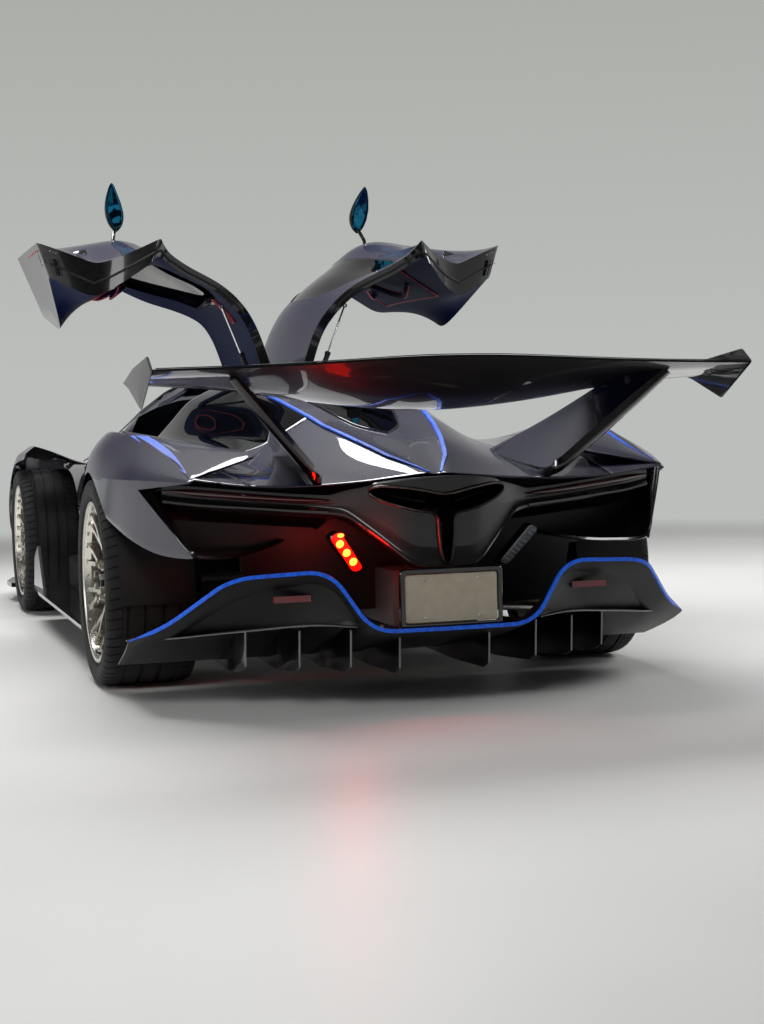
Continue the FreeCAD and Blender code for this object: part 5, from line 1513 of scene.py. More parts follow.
# the wing by x: (y, z) of its front, belly, knee and rear
wingTable = [(0, [(2030, 1000), (2140, 930), (2345, 976), (2518, 1102)]),
             (150, [(2032, 1003), (2142, 937), (2346, 980), (2518, 1100)]),
             (380, [(2045, 1015), (2150, 964), (2350, 1002), (2518, 1089)]),
             (640, [(2065, 1038), (2160, 1006), (2370, 1036), (2520, 1078)]),
             (960, [(2122, 1052), (2200, 1031), (2390, 1042), (2522, 1071)])]
wingTable = [(-x, row) for x, row in wingTable[:0:-1]] + wingTable
wingLook = {"stations": (-951, -860, -760, -640, -500, -380, -250, -120, 0), "plateAt": 0.953,
            "plate": [(2.002, 1.042), (2.110, 1.022), (2.322, 0.955), (2.531, 1.068), (2.465, 1.112),
                      (2.200, 1.084)]}


def wingSection(x):
    front, belly, knee, rear = sectionAt(wingTable, x)

    def mid(a, b, share, drop=0):
        return (a[0] + (b[0] - a[0]) * share, a[1] + (b[1] - a[1]) * share + drop)
    lower = [(front[0], front[1]), mid(front, belly, 0.5, -8), belly, mid(belly, knee, 0.5, -6), knee,
             mid(knee, rear, 0.55, -10), (rear[0], rear[1] - 7)]
    upper = [(rear[0] - 2, rear[1]), mid((knee[0] - 20, knee[1] + 36), rear, 0.5, -8),
             (knee[0] - 20, knee[1] + 36), mid(belly, knee, 0.45, 40), (belly[0], belly[1] + 50),
             (front[0] + 18, front[1] + 9)]
    return lower + upper


def makeWing():
    stations = list(wingLook["stations"]) + [-x for x in wingLook["stations"][-2::-1]]
    rows = [mm([(x, y, z) for y, z in wingSection(x)]) for x in stations]
    last = len(rows) - 1
    lines = [(0, 0, last, 0.7), (6, 0, last, 1.0), (7, 0, last, 1.0), (4, 0, last, 0.35), (2, 0, last, 0.2)]
    wing = cage("rearWing", rows, [glossCarbon], (), lines, loop=True)
    refine(wing, 2)
    settle(wing, 180)
    sealEnds(wing)
    shade(wing, 50)
    onChassis(wing, "wing")
    path = [Vector((x, wingSection(x)[7][0] + 1, wingSection(x)[7][1] + 0.5)) / 1000 for x in
            [-945 + 63 * k for k in range(31)]]
    lip = sweep("wingTrailingLip", path, [(-0.010, 0), (0.0015, 0), (0.0015, 0.003), (-0.010, 0.0022)],
                [blackGloss])
    onChassis(lip)


def makeEndplates():
    # moulded end blades: sharp edged, with a facet that stands out in the middle
    outline = [Vector((0, y, z)) for y, z in wingLook["plate"]]
    ring = rounded(outline + outline[:1], 0.012, 3)[:-1]
    middle = Vector((0, 2.30, 1.045))
    rows = []
    for share, out in ((0.30, 0.000), (0.95, 0.0), (1.0, 0.002), (1.0, 0.004), (0.95, 0.007), (0.45, 0.0105),
                       (0.03, 0.0108)):
        row = [middle.lerp(p, share) for p in ring]
        rows.append([(wingLook["plateAt"] + out, p.y, p.z) for p in row])
    plate = cage("wingEndplates", rows, [glossCarbon], loop=True)
    sealEnds(plate)
    shade(plate, 12)
    mirrorAcross(plate)
    onChassis(plate, "wing_endplates")


pylonLook = {"lowFront": (0.372, 1.600, 0.778), "lowRear": (0.380, 2.205, 0.722),
             "topFront": (0.578, 2.165, 1.000), "topRear": (0.700, 2.440, 1.046), "thick": 0.016,
             "band": 0.030}


def makePylons():
    # swept wing supports: a broad painted blade with a thick black rear spar that turns along its foot
    a, b, c, d = (Vector(pylonLook[k]) for k in ("lowFront", "lowRear", "topFront", "topRear"))
    way = (b - a).cross(c - a).normalized()
    if way.x < 0:
        way.negate()
    rows = []
    chord = (0.0, 0.06, 0.2, 0.45, 0.75, 1.0)
    thick = (0.10, 0.45, 0.8, 1.0, 0.9, 0.7)
    for k in range(9):
        t = k / 8
        low = a.lerp(c, t) + way * 0.010 * math.sin(math.pi * t)
        high = b.lerp(d, t) + way * 0.010 * math.sin(math.pi * t)
        face = [low.lerp(high, s) + way * pylonLook["thick"] / 2 * w for s, w in zip(chord, thick)]
        back = [low.lerp(high, s) - way * pylonLook["thick"] / 2 * w for s, w in zip(chord, thick)]
        rows.append(face + back[::-1])
    lines = [(0, 0, 8, 0.6), (5, 0, 8, 1), (6, 0, 8, 1), (11, 0, 8, 0.6)]
    blade = cage("wingPylons", rows, [paint], [(0, 0, 12, 1), (8, 0, 12, 1)], lines, loop=True)
    refine(blade, 2)
    settle(blade, 180)
    sealEnds(blade)
    shade(blade, 40)
    mirrorAcross(blade)
    onChassis(blade, "wing_pylons")
    path = rounded([d + Vector((0.004, 0.006, 0.0)), b + Vector((0.006, 0.020, 0.0)),
                    b + Vector((0.0, -0.12, 0.012)), a + Vector((0, 0.04, 0.004))], 0.07, 8)
    path = spaced(path, 0.05)
    sizes = [0.7 + 0.3 * min(1, k / 3) if k < len(path) * 0.6 else max(0.3, 1.0 - 1.1 * (k / len(path) - 0.6))
             for k in range(len(path))]
    half = pylonLook["band"] / 2
    spar = sweep("pylonSpars", path, [(-0.013, -half), (0.013, -half), (0.016, -half * 0.7),
                                      (0.016, half * 0.7), (0.013, half), (-0.013, half),
                                      (-0.016, half * 0.7), (-0.016, -half * 0.7)],
                 [blackGloss], up=(0.2, 0.75, 0.75), sizes=sizes)
    mirrorAcross(spar)
    onChassis(spar)
    pads = []
    for x, y in ((0.64, 2.30), (0.60, 2.20)):
        section = wingSection(x * 1000)
        pads.append(tube("pad", [(x, y, section[3][1] / 1000 - 0.010), (x, y, section[3][1] / 1000 + 0.006)],
                         0.016, [darkAlloy], 16))
    pads = joined("wingMounts", pads)
    mirrorAcross(pads)
    onChassis(pads)
    bolts = []
    for x, y in ((-0.045, 2.085), (0.045, 2.085)):
        z = wingSection(x * 1000)[1][1] / 1000
        bolts.append(tube("bolt", [(x, y, z - 0.010), (x, y, z + 0.01)], 0.006, [steel], 6))
    onChassis(joined("wingBolts", bolts))


makeWing()
makeEndplates()
makePylons()
print("wing made")
wheelLook = {
    "front": {"radius": 0.347, "wide": 0.265, "rim": 0.271, "x": 0.835, "y": -1.357},
    "rear": {"radius": 0.364, "wide": 0.325, "rim": 0.284, "x": 0.825, "y": 1.343},
    "grooves": (-0.31, -0.11, 0.11, 0.31), "grooveWide": 0.011, "grooveDeep": 0.007,
    "pitches": 64, "sipe": 0.005, "lean": 0.010}


def copyTree(name, extra, kind):
    # a group that makes copies of a piece; its inputs are the count, one more named input and the material
    tree = bpy.data.node_groups.new(name, "GeometryNodeTree")
    for socket, form in (("Geometry", "Geometry"), ("Count", "Int"), (extra, kind), ("Material", "Material")):
        tree.interface.new_socket(name=socket, in_out="INPUT", socket_type="NodeSocket" + form)
    tree.interface.new_socket(name="Geometry", in_out="OUTPUT", socket_type="NodeSocketGeometry")
    start = addNode(tree, "NodeGroupInput")
    line = addNode(tree, "GeometryNodeMeshLine", {"mode": "OFFSET", "Offset": (0, 0, 0)},
                   {"Count": (start, "Count")})
    copies = addNode(tree, "GeometryNodeInstanceOnPoints", {},
                     {"Points": (line, "Mesh"), "Instance": (start, "Geometry")})
    real = addNode(tree, "GeometryNodeRealizeInstances", {}, {"Geometry": (copies, "Instances")})
    finished = addNode(tree, "GeometryNodeSetMaterial", {}, {"Geometry": (real, "Geometry"),
                                                             "Material": (start, "Material")})
    addNode(tree, "NodeGroupOutput", {}, {"Geometry": (finished, "Geometry")})
    return tree, start, line, copies


def ringTree():
    # copies round an axis, from a first turn
    tree, start, _, copies = copyTree("copiesRoundAxis", "First Turn", "Float")
    index = addNode(tree, "GeometryNodeInputIndex")
    share = addNode(tree, "ShaderNodeMath", {"operation": "DIVIDE"},
                    {0: (index, "Index"), 1: (start, "Count")})
    turn = addNode(tree, "ShaderNodeMath", {"operation": "MULTIPLY_ADD", 1: 2 * math.pi},
                   {0: (share, "Value"), 2: (start, "First Turn")})
    addNode(tree, "ShaderNodeCombineXYZ", {}, {"Z": (turn, "Value")}, {"Vector": (copies, "Rotation")})
    return tree


def rowTree():
    # copies in a straight row, a step apart
    tree, start, line, _ = copyTree("copiesInRow", "Step", "Vector")
    tree.links.new(start.outputs["Step"], line.inputs["Offset"])
    return tree


copiesRoundAxis = ringTree()
copiesInRow = rowTree()


def repeated(item, tree, inputs):
    # the piece's mesh becomes its copies, in its own material; inputs are the group's other named inputs
    inputs = {"Material": item.data.materials[0], **inputs}
    new = item.modifiers.new("copies", "NODES")
    new.node_group = tree
    for socket in tree.interface.items_tree:
        if socket.in_out == "INPUT" and socket.name in inputs:
            new[socket.identifier] = inputs[socket.name]
    return settle(item, 35)


def lathe(name, profile, materials, segments=96, slot=None):
    # a closed profile of (radius, along the axis) turned about local Z
    rows = []
    for k in range(segments + 1):
        t = 2 * math.pi * k / segments
        rows.append([(r * math.cos(t), r * math.sin(t), a) for r, a in profile])
    item = cage(name, rows, materials, loop=True, slot=slot)
    turnOutwards(item)
    shade(item, 28)
    return item


def placedOnWheel(item, end, side):
    # from the wheel's own frame, whose Z points out of the car, to its place
    look = wheelLook[end]
    turn = Matrix.Rotation(side * math.pi / 2, 4, "Y")
    item.data.transform(Matrix.Translation((side * look["x"], look["y"], look["radius"])) @ turn)


def carcassProfile(look):
    radius, half, rim = look["radius"], look["wide"] / 2, look["rim"]
    flank = [(rim - 0.012, half - 0.030), (rim + 0.002, half - 0.024), (rim + 0.010, half - 0.010),
             (rim + 0.014, half - 0.004), (rim + 0.018, half - 0.006),
             (rim * 0.45 + radius * 0.55, half - 0.0005), (rim * 0.3 + radius * 0.7, half - 0.0015),
             (radius - 0.018, half - 0.006), (radius - 0.0105, half - 0.014),
             (radius - 0.0075, half - 0.026), (radius - 0.006, half - 0.052),
             (radius - 0.006, half - 0.0535), (radius - 0.0012, half - 0.054)]
    tread = []
    deep = radius - wheelLook["grooveDeep"]
    for place in wheelLook["grooves"][::-1]:
        a = place * (half - 0.02) * 2
        w = wheelLook["grooveWide"] / 2
        crown = 0.0022 * (a / half) ** 2 + 0.0006
        tread += [(radius - crown, a + w), (deep, a + w * 0.7), (deep, a - w * 0.7), (radius - crown, a - w)]
    outer = flank + tread + [(r, -a) for r, a in flank[::-1]]
    inner = [(rim - 0.012, -half + 0.040), (rim * 0.5 + radius * 0.5, -half + 0.014),
             (radius - 0.020, -half + 0.034), (radius - 0.020, half - 0.034),
             (rim * 0.5 + radius * 0.5, half - 0.014), (rim - 0.012, half - 0.040)]
    return outer + inner


def makeShoulder(look, side):
    # one pitch of a shoulder: a block between two slanted sipes
    radius, half = look["radius"], look["wide"] / 2
    pitch = 2 * math.pi / wheelLook["pitches"]
    gap = wheelLook["sipe"] / radius
    section = [(radius - 0.008, half - 0.0525), (radius - 0.0008, half - 0.0525),
               (radius - 0.0020, half - 0.034), (radius - 0.0042, half - 0.020),
               (radius - 0.0085, half - 0.0095), (radius - 0.0150, half - 0.0050),
               (radius - 0.0240, half - 0.0026), (radius - 0.0250, half - 0.0080)]
    points, faces = [], []
    for angle in (gap / 2, pitch - gap / 2):
        for r, a in section:
            t = angle + (half - a) * wheelLook["lean"] / radius * 20
            points.append((r * math.cos(t), r * math.sin(t), a * side))
    count = len(section)
    faces = [tuple(range(count))[::-1], tuple(range(count, 2 * count))]
    faces += [(k, (k + 1) % count, count + (k + 1) % count, count + k) for k in range(count)]
    block = meshObject("shoulderBlock", points, faces, [rubber])
    turnOutwards(block)
    return repeated(block, copiesRoundAxis, {"Count": wheelLook["pitches"],
                                             "First Turn": 0.0 if side > 0 else 0.03})


def makeWheelSet(end, side, hand):
    look = wheelLook[end]
    body = "%s_%s_wheel" % (end, hand)
    tyre = joined("tyre" + end.capitalize() + hand.capitalize(),
                  [lathe("carcass", carcassProfile(look), [rubber], 128), makeShoulder(look, 1),
                   makeShoulder(look, -1)])
    placedOnWheel(tyre, end, side)
    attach(tyre, body)
    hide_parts("tyre_%s_%s" % (end, hand))
    half, rim = look["wide"] / 2, look["rim"]
    lip = lathe("rimLip", [(rim - 0.0015, half - 0.0135), (rim - 0.0005, half - 0.0120),
                           (rim - 0.003, half - 0.0095), (rim - 0.014, half - 0.0110),
                           (rim - 0.0165, half - 0.0135)], [forged], 128)
    bolt = tube("rimBolt", [(rim - 0.0235, 0, half - 0.026), (rim - 0.0235, 0, half - 0.0205),
                            (rim - 0.0235, 0, half - 0.0195)], [0.0042, 0.0042, 0.003], [steel], 8)
    bolts = repeated(bolt, copiesRoundAxis, {"Count": 30, "First Turn": 0.1})
    nut = lathe("centreNut", [(0.012, half - 0.050), (0.034, half - 0.050), (0.036, half - 0.046),
                              (0.036, half - 0.034), (0.031, half - 0.030), (0.022, half - 0.029),
                              (0.020, half - 0.036), (0.012, half - 0.036)],
                [darkAlloy], 12)
    pin = tube("driverPin", [(0.052, 0, half - 0.055), (0.052, 0, half - 0.046), (0.052, 0, half - 0.044)],
               [0.006, 0.006, 0.004], [steel], 10)
    pins = repeated(pin, copiesRoundAxis, {"Count": 5, "First Turn": 0.3})
    stem = tube("valve", [(rim - 0.030, 0.010, half - 0.030), (rim - 0.040, 0.010, half - 0.008)], 0.0035,
                [blackSatin], 8)
    dress = joined("rimDress" + end.capitalize() + hand.capitalize(), [lip, bolts, nut, pins, stem])
    placedOnWheel(dress, end, side)
    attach(dress, body)


for wheelEnd in ("front", "rear"):
    for wheelSide, wheelHand in ((1, "left"), (-1, "right")):
        makeWheelSet(wheelEnd, wheelSide, wheelHand)
print("tyres and rims dressed")

# the mirror head by x in mm, with the door closed: middle y and z, depth, height
mirrorTable = [(834, -545, 779, 4, 4), (846, -547, 783, 40, 42), (868, -548, 787, 64, 70),
               (900, -547, 790, 79, 88), (945, -540, 792, 74, 83), (988, -523, 796, 56, 59),
               (1022, -502, 802, 32, 32), (1039, -488, 806, 9, 8)]
mirrorLook = {"glassAt": 0.30, "stalk": [(712, -470, 727), (752, -478, 733), (800, -500, 743),
                                         (832, -530, 762), (852, -546, 778)]}


def glassPlace(x):
    # the glass follows the housing's rear face in one smooth bend along its length; both in mm
    t = (x - 846) / 195
    return -536.6 + 17 * t + 36 * t * t


def makeMirror():
    # the left head with its stalk, glass and rim; it's made with the door shut, then swung open with it
    rows = []
    sides = 16
    for x, y, z, deep, tall in mirrorTable:
        row = []
        for k in range(sides):
            t = 2 * math.pi * k / sides
            a, b = math.cos(t), math.sin(t)
            flat = mirrorLook["glassAt"]
            back = deep / 2 * (a if a < flat else flat + (a - flat) * 0.12)
            row.append((x, y + back, z + tall / 2 * b))
        rows.append(mm(row))
    head = cage("mirrorHead", rows, [glossCarbon], (), [(3, 0, 7, 0.8), (13, 0, 7, 0.8)], loop=True)
    refine(head, 2)
    settle(head, 180)
    sealEnds(head)
    shade(head, 50)
    stalk = tube("stalk", rounded(mm(mirrorLook["stalk"]), 0.02, 4), 0.0085, [blackGloss], 12)
    boss = tube("boss", mm([(900, -592, 790), (900, -585, 790), (900, -578, 790)]), [0.014, 0.019, 0.021],
                [blackGloss], 20)
    edge = []
    for sign in (1, -1):
        # the glass is one plane, a touch outside the housing's rear face
        line = [(x + 3, glassPlace(x), z + sign * tall / 2 * 0.84) for x, y, z, deep, tall in mirrorTable[1:]]
        edge += line if sign > 0 else line[::-1]
    ring = rounded(mm(edge + edge[:1]), 0.006, 2)[:-1]
    middle = sum(ring, Vector()) / len(ring)
    rows = []
    for share, lift in ((1.0, -0.004), (1.0, 0.0002), (0.96, 0.0010), (0.7, 0.0012), (0.35, 0.0012),
                        (0.03, 0.0012)):
        row = [middle.lerp(p, share) for p in ring]
        rows.append([Vector((p.x, glassPlace(p.x * 1000) / 1000 + lift, p.z)) for p in row])
    glass = cage("mirrorGlass", rows, [mirrorGlass], loop=True)
    turnOutwards(glass)
    turnUp(glass, 1)
    shade(glass, 50)
    border = sweep("mirrorRim", [p + Vector((0, 0.001, 0)) for p in ring],
                   [(-0.0015, -0.001), (0.0015, -0.001), (0.0015, 0.002), (-0.0015, 0.002)], [blackSatin],
                   up=(0, 1, 0), closed=True)
    shell = joined("mirrorLeft", [head, stalk, boss, glass, border])
    swungOpen(shell)
    return shell


mirror = makeMirror()
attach(mirror, "left_door")
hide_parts("mirror_left")
otherMirror = twin(mirror, "mirrorRight", "right_door")
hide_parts("mirror_right")


def makeStrutEnds():
    # collars on the door's gas springs
    for side, hand in ((1, "left"), (-1, "right")):
        start = Vector((side * 0.104, 0.268, 0.978))
        end = Vector((side * 0.2634, 0.268, 1.385))
        way = (end - start).normalized()
        collar = start + way * 0.232
        item = tube("strutCollar" + hand.capitalize(),
                    [collar - way * 0.016, collar - way * 0.014, collar - way * 0.001, collar + way * 0.001],
                    [0.0112, 0.0125, 0.0125, 0.009], [darkAlloy], 20)
        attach(item, hand + "_strut_tube")


makeStrutEnds()
print("mirrors made")


def struck(tree, start, way, lift=0.0):
    # where a ray first meets a surface, a little off it on the ray's side
    place, normal = tree.ray_cast(Vector(start), Vector(way))[:2]
    if place is None:
        return None
    if normal.dot(Vector(way)) > 0:
        normal = -normal
    return place + normal * lift


def closedSurface(item):
    # the open left door's surface turned back to where it is closed
    x, z = (value / 1000 for value in bodyLook["hinge"])
    place = Matrix.Translation((x, 0, z))
    copy = bpy.data.objects.new("closed", item.data.copy())
    copy.data.transform(place @ Matrix.Rotation(math.radians(bodyLook["doorAngle"]), 4,
                                                "Y") @ place.inverted())
    tree = surfaceOf([copy])
    bpy.data.objects.remove(copy)
    return tree


def bothDoors(item, name, *node):
    # a left door piece, made closed, swings open, rides on its door and gets its twin
    swungOpen(item)
    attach(item, "left_door")
    other = twin(item, name.replace("Left", "Right"), "right_door")
    for piece, hand in ((item, "left"), (other, "right")):
        if node:
            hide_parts(node[0] + "_" + hand)


cardLook = {"from": -695, "to": 95, "stations": 11, "shares": (0.14, 0.3, 0.5, 0.7, 0.87),
            "crown": (3, 9, 12, 9, 3), "back": 0.9, "piping": 0.0032}
pullLook = {"path": [(-620, 0.62, 8), (-590, 0.58, 26), (-470, 0.40, 36), (-340, 0.36, 38), (-250, 0.55, 38),
                     (-150, 0.66, 36), (-60, 0.56, 30), (-30, 0.50, 8)], "wide": 0.026, "high": 0.014}


def cardPoint(y, share, depth):
    # a point over the lower door's inner face; share runs from the belt down, depth into the cabin
    line = sectionAt(cabinTable, y)
    top = Vector(atReach(line, 700)) + Vector((-0.86, -0.5)) * doorLook["wall"]
    down = Vector((548, 470)) - top
    out = Vector((down.y, -down.x)).normalized()
    place = top + down * share + out * depth
    return (place.x / 1000, y / 1000, place.y / 1000)


def makeDoorCard():
    count = cardLook["stations"]
    front, back = [], []
    for i in range(count):
        y = cardLook["from"] + (cardLook["to"] - cardLook["from"]) * i / (count - 1)
        low = 0.3 if i in (0, count - 1) else 1
        front.append([cardPoint(y, s, d * low) for s, d in zip(cardLook["shares"], cardLook["crown"])])
        back.append([cardPoint(y, s, cardLook["back"]) for s in cardLook["shares"]])
    card = slab("doorCardLeft", front, back, [leather, suede], edgeWeight=0.6)
    refine(card, 2)
    settle(card, 40)
    turnOutwards(card)
    shade(card, 50)
    edge = [cardPoint(y, 0.15, 3) for y in range(-680, 81, 76)]
    edge += [cardPoint(y, 0.86, 3) for y in range(80, -681, -76)]
    piping = tube("cardPiping", rounded(edge + edge[:1], 0.02, 3)[:-1], cardLook["piping"], [redLeather], 8,
                  True)
    path = rounded([cardPoint(*p) for p in pullLook["path"]], 0.05, 6)
    a, b = pullLook["wide"] / 2, pullLook["high"]
    pull = sweep("cardPull", path, [(-a, 0), (a * 0.2, -b * 0.2), (a, 0), (a, b * 0.7), (a * 0.5, b),
                                    (-a * 0.5, b), (-a, b * 0.7)], [leather], up=(-0.6, 0, 0.8))
    sides = []
    for sign in (-1, 1):
        line = []
        for here, after in zip(path, path[1:] + [path[-1] * 2 - path[-2]]):
            across = (after - here).normalized().cross(Vector((-0.6, 0, 0.8))).normalized()
            line.append(here + across * sign * a + Vector((-0.6, 0, 0.8)) * 0.004)
        sides.append(tube("pullEdge", line, 0.0028, [redLeather], 8))
    feet = []
    for y, share, _ in (pullLook["path"][0], pullLook["path"][-1]):
        feet.append(tube("pullFoot", [cardPoint(y, share, 4), cardPoint(y, share, 12),
                                      cardPoint(y, share, 22)],
                         [0.013, 0.012, 0.009], [darkAlloy], 14))
    return joined("doorCardLeft", [card, piping, pull] + sides + feet)


sealLook = {"radius": 0.005, "share": 0.55, "innerRadius": 0.004}


def makeDoorSeals(tree):
    # an extruded bulb seal along the rear jamb, and a thinner one along the door's front edge
    outer, inner = doorSheets()
    outer = [[Vector(p) / 1000 for p in row] for row in outer]
    inner = [[Vector(p) / 1000 for p in row] for row in inner]
    pieces = []
    line = [outer[10][j].lerp(inner[10][j], sealLook["share"]) for j in range(3, len(outer[10]))]
    path = []
    for p in spaced(line, 0.03):
        place = struck(tree, (p.x, p.y + 0.06, p.z), (0, -1, 0), 0.0005)
        if place is not None and abs(place.y - p.y) < 0.03:
            path.append(place)
    pieces.append(tube("jambSeal", path, sealLook["radius"], [seal], 10))
    front = [outer[0][j].lerp(inner[0][j], sealLook["share"]) for j in range(3, len(outer[0]))]
    path = []
    for p in spaced(front, 0.03):
        place = struck(tree, (p.x, p.y - 0.06, p.z), (0, 1, 0), 0.0005)
        if place is not None and abs(place.y - p.y) < 0.03:
            path.append(place)
    pieces.append(tube("frontSeal", path, sealLook["innerRadius"], [seal], 10))
    return joined("doorSealsLeft", pieces)


latchLook = {"catch": (0.752, 0.500), "plate": (0.770, 0.135)}


def screwHead(name, place, way, radius, material):
    # a low countersunk head with a hex socket, as one small turned piece
    way = Vector(way).normalized()
    side = way.orthogonal().normalized()
    other = way.cross(side)
    rows = []
    for share, a in ((1.0, 0.0), (1.0, 0.28), (0.82, 0.42), (0.5, 0.42), (0.46, 0.12)):
        rows.append([Vector(place) + (side * math.cos(t) + other * math.sin(t)) * radius * share
                     + way * radius * a for t in (2 * math.pi * k / 12 for k in range(12))])
    item = cage(name, rows, [material], loop=True)
    sealEnds(item)
    shade(item, 40)
    return item


def makeLatch(tree):
    pieces = []
    # the zinc catch on the rear jamb
    x, z = latchLook["catch"]
    foot = struck(tree, (x, 0.9, z), (0, -1, 0), 0.0)
    if foot is not None:
        ring = [(x - 0.006, foot.y, z - 0.016), (x - 0.006, foot.y + 0.0035, z - 0.016),
                (x - 0.006, foot.y + 0.0035, z + 0.016), (x - 0.006, foot.y, z + 0.016)]
        pieces.append(tube("catch", rounded(ring, 0.003, 3), 0.0018, [steel], 8))
        base = [(x - 0.02, foot.y + 0.0012, z - 0.026), (x + 0.012, foot.y + 0.0012, z - 0.026),
                (x + 0.012, foot.y + 0.0012, z + 0.026), (x - 0.02, foot.y + 0.0012, z + 0.026)]
        pieces.append(plateFrom("catchPlate", base, 0.002, [chrome], 0.0006))
        for dz in (-0.019, 0.019):
            pieces.append(screwHead("catchScrew", (x + 0.004, foot.y + 0.001, z + dz), (0, 1, 0), 0.0042,
                                    steel))
    # the lock under the sill, with its red release rod
    x, y = latchLook["plate"]
    low = struck(tree, (x, y, 0.0), (0, 0, 1), 0.0)
    if low is not None:
        corners = []
        for dx, dy in ((-0.030, -0.045), (0.030, -0.045), (0.034, 0.020), (0.012, 0.045), (-0.030, 0.045)):
            corner = struck(tree, (x + dx, y + dy, 0.0), (0, 0, 1), 0.0012)
            corners.append(corner if corner is not None else Vector((x + dx, y + dy, low.z)))
        pieces.append(plateFrom("lockPlate", corners[::-1], 0.0018, [blackSatin], 0.0005))
        for dx, dy in ((-0.022, -0.036), (0.022, -0.036), (-0.020, 0.036)):
            pieces.append(screwHead("lockScrew", (x + dx, y + dy, low.z - 0.001), (0, 0, -1), 0.0040, steel))
        rod = []
        for k in range(12):
            spot = struck(tree, (x + 0.036, y - 0.04 - 0.03 * k, 0.0), (0, 0, 1), 0.0012)
            if spot is not None:
                rod.append(spot)
        if len(rod) > 2:
            pieces.append(tube("releaseRod", rod, 0.0022, [redLeather], 8))
    return joined("doorLatchLeft", pieces)


slitLook = {"count": 7, "step": 0.0105, "from": (0.686, 0.347), "long": 0.070, "holes": 4, "holeStep": 0.011}


def makeSlits(tree):
    # a comb of narrow vents in the sill's rear face, and a short row of screws by the outer edge
    x, z = slitLook["from"]
    spots = [struck(tree, (x + slitLook["long"] * k / 3, 0.9, z + 0.03), (0, -1, 0), 0.0) for k in range(4)]
    if any(spot is None for spot in spots):
        return []
    y = max(spot.y for spot in spots) + 0.0008
    a, b = 0.0014, 0.0016
    bar = sweep("flapSlit", [(x, y, z), (x + 0.004, y, z), (x + slitLook["long"], y - 0.0003, z)],
                [(-b, -a), (b, -a), (b, a * 0.4), (b * 0.4, a), (-b, a)], [darkAlloy])
    slits = repeated(bar, copiesInRow, {"Count": slitLook["count"], "Step": (-0.004, 0.0, slitLook["step"])})
    screw = screwHead("flapScrew", (x + 0.098, y - 0.0006, z + 0.012), (0, 1, 0), 0.0034, steel)
    screws = repeated(screw, copiesInRow, {"Count": slitLook["holes"],
                                           "Step": (-0.007, 0.0, slitLook["holeStep"])})
    slits.name = "flapSlitsLeft"
    return [slits, screws]


closedDoor = closedSurface(door)
bothDoors(makeDoorCard(), "doorCardLeft", "door_trim")
bothDoors(makeDoorSeals(closedDoor), "doorSealsLeft")
bothDoors(makeLatch(closedDoor), "doorLatchLeft")
slitPieces = makeSlits(closedDoor)
if slitPieces:
    bothDoors(joined("flapSlitsLeft", slitPieces), "flapSlitsLeft")
print("door details made")


seatLook = {"middle": 0.237, "halfWide": 0.172, "shellWall": 0.008,
            "voxel": 0.006, "pressure": 4.0, "cap": 0.010, "frames": 20, "seam": 0.008, "seamDeep": 0.005}
# side view of the shell's inside (y, z), and how far its sides rise there
shellLine = [(-0.318, 0.246, 0.020), (-0.230, 0.244, 0.055), (-0.120, 0.226, 0.072), (0.000, 0.212, 0.078),
             (0.085, 0.222, 0.095), (0.140, 0.300, 0.105), (0.180, 0.400, 0.100), (0.222, 0.510, 0.098),
             (0.262, 0.620, 0.080), (0.296, 0.715, 0.040), (0.318, 0.775, 0.018), (0.336, 0.815, 0.006)]


def shellWays():
    # outward direction of the shell's section at each of its points, away from the sitter
    ways = []
    for i in range(len(shellLine)):
        a = Vector(shellLine[max(i - 1, 0)][:2])
        b = Vector(shellLine[min(i + 1, len(shellLine) - 1)][:2])
        along = (b - a).normalized()
        ways.append(Vector((along.y, -along.x)))
    return ways


def makeSeatShell():
    # one moulded carbon bucket: a floor and back with raised wings
    shape = [(-1.0, 1.0), (-0.93, 0.55), (-0.80, 0.12), (-0.45, 0.0), (0.0, 0.0), (0.45, 0.0), (0.80, 0.12),
             (0.93, 0.55), (1.0, 1.0)]
    inside, outside = [], []
    for (y, z, rise), way in zip(shellLine, shellWays()):
        wide = seatLook["halfWide"] * (1.0 if z < 0.72 else 0.80 if z < 0.79 else 0.62)
        one, two = [], []
        for a, up in shape:
            base = Vector((seatLook["middle"] + a * wide, y, z))
            base += Vector((0, -way.x, -way.y)) * rise * up
            side = Vector((math.copysign(1, a) * min(1, up * 1.2), way.x * (1 - up),
                           way.y * (1 - up))).normalized()
            one.append(base)
            two.append(base + side * seatLook["shellWall"])
        inside.append(one)
        outside.append(two)
    shell = slab("seatShellLeft", outside, inside, [glossCarbon, satinCarbon], edgeWeight=0.5, innerSlot=1)
    refine(shell, 2)
    settle(shell, 40)
    turnOutwards(shell)
    shade(shell, 50)
    return shell


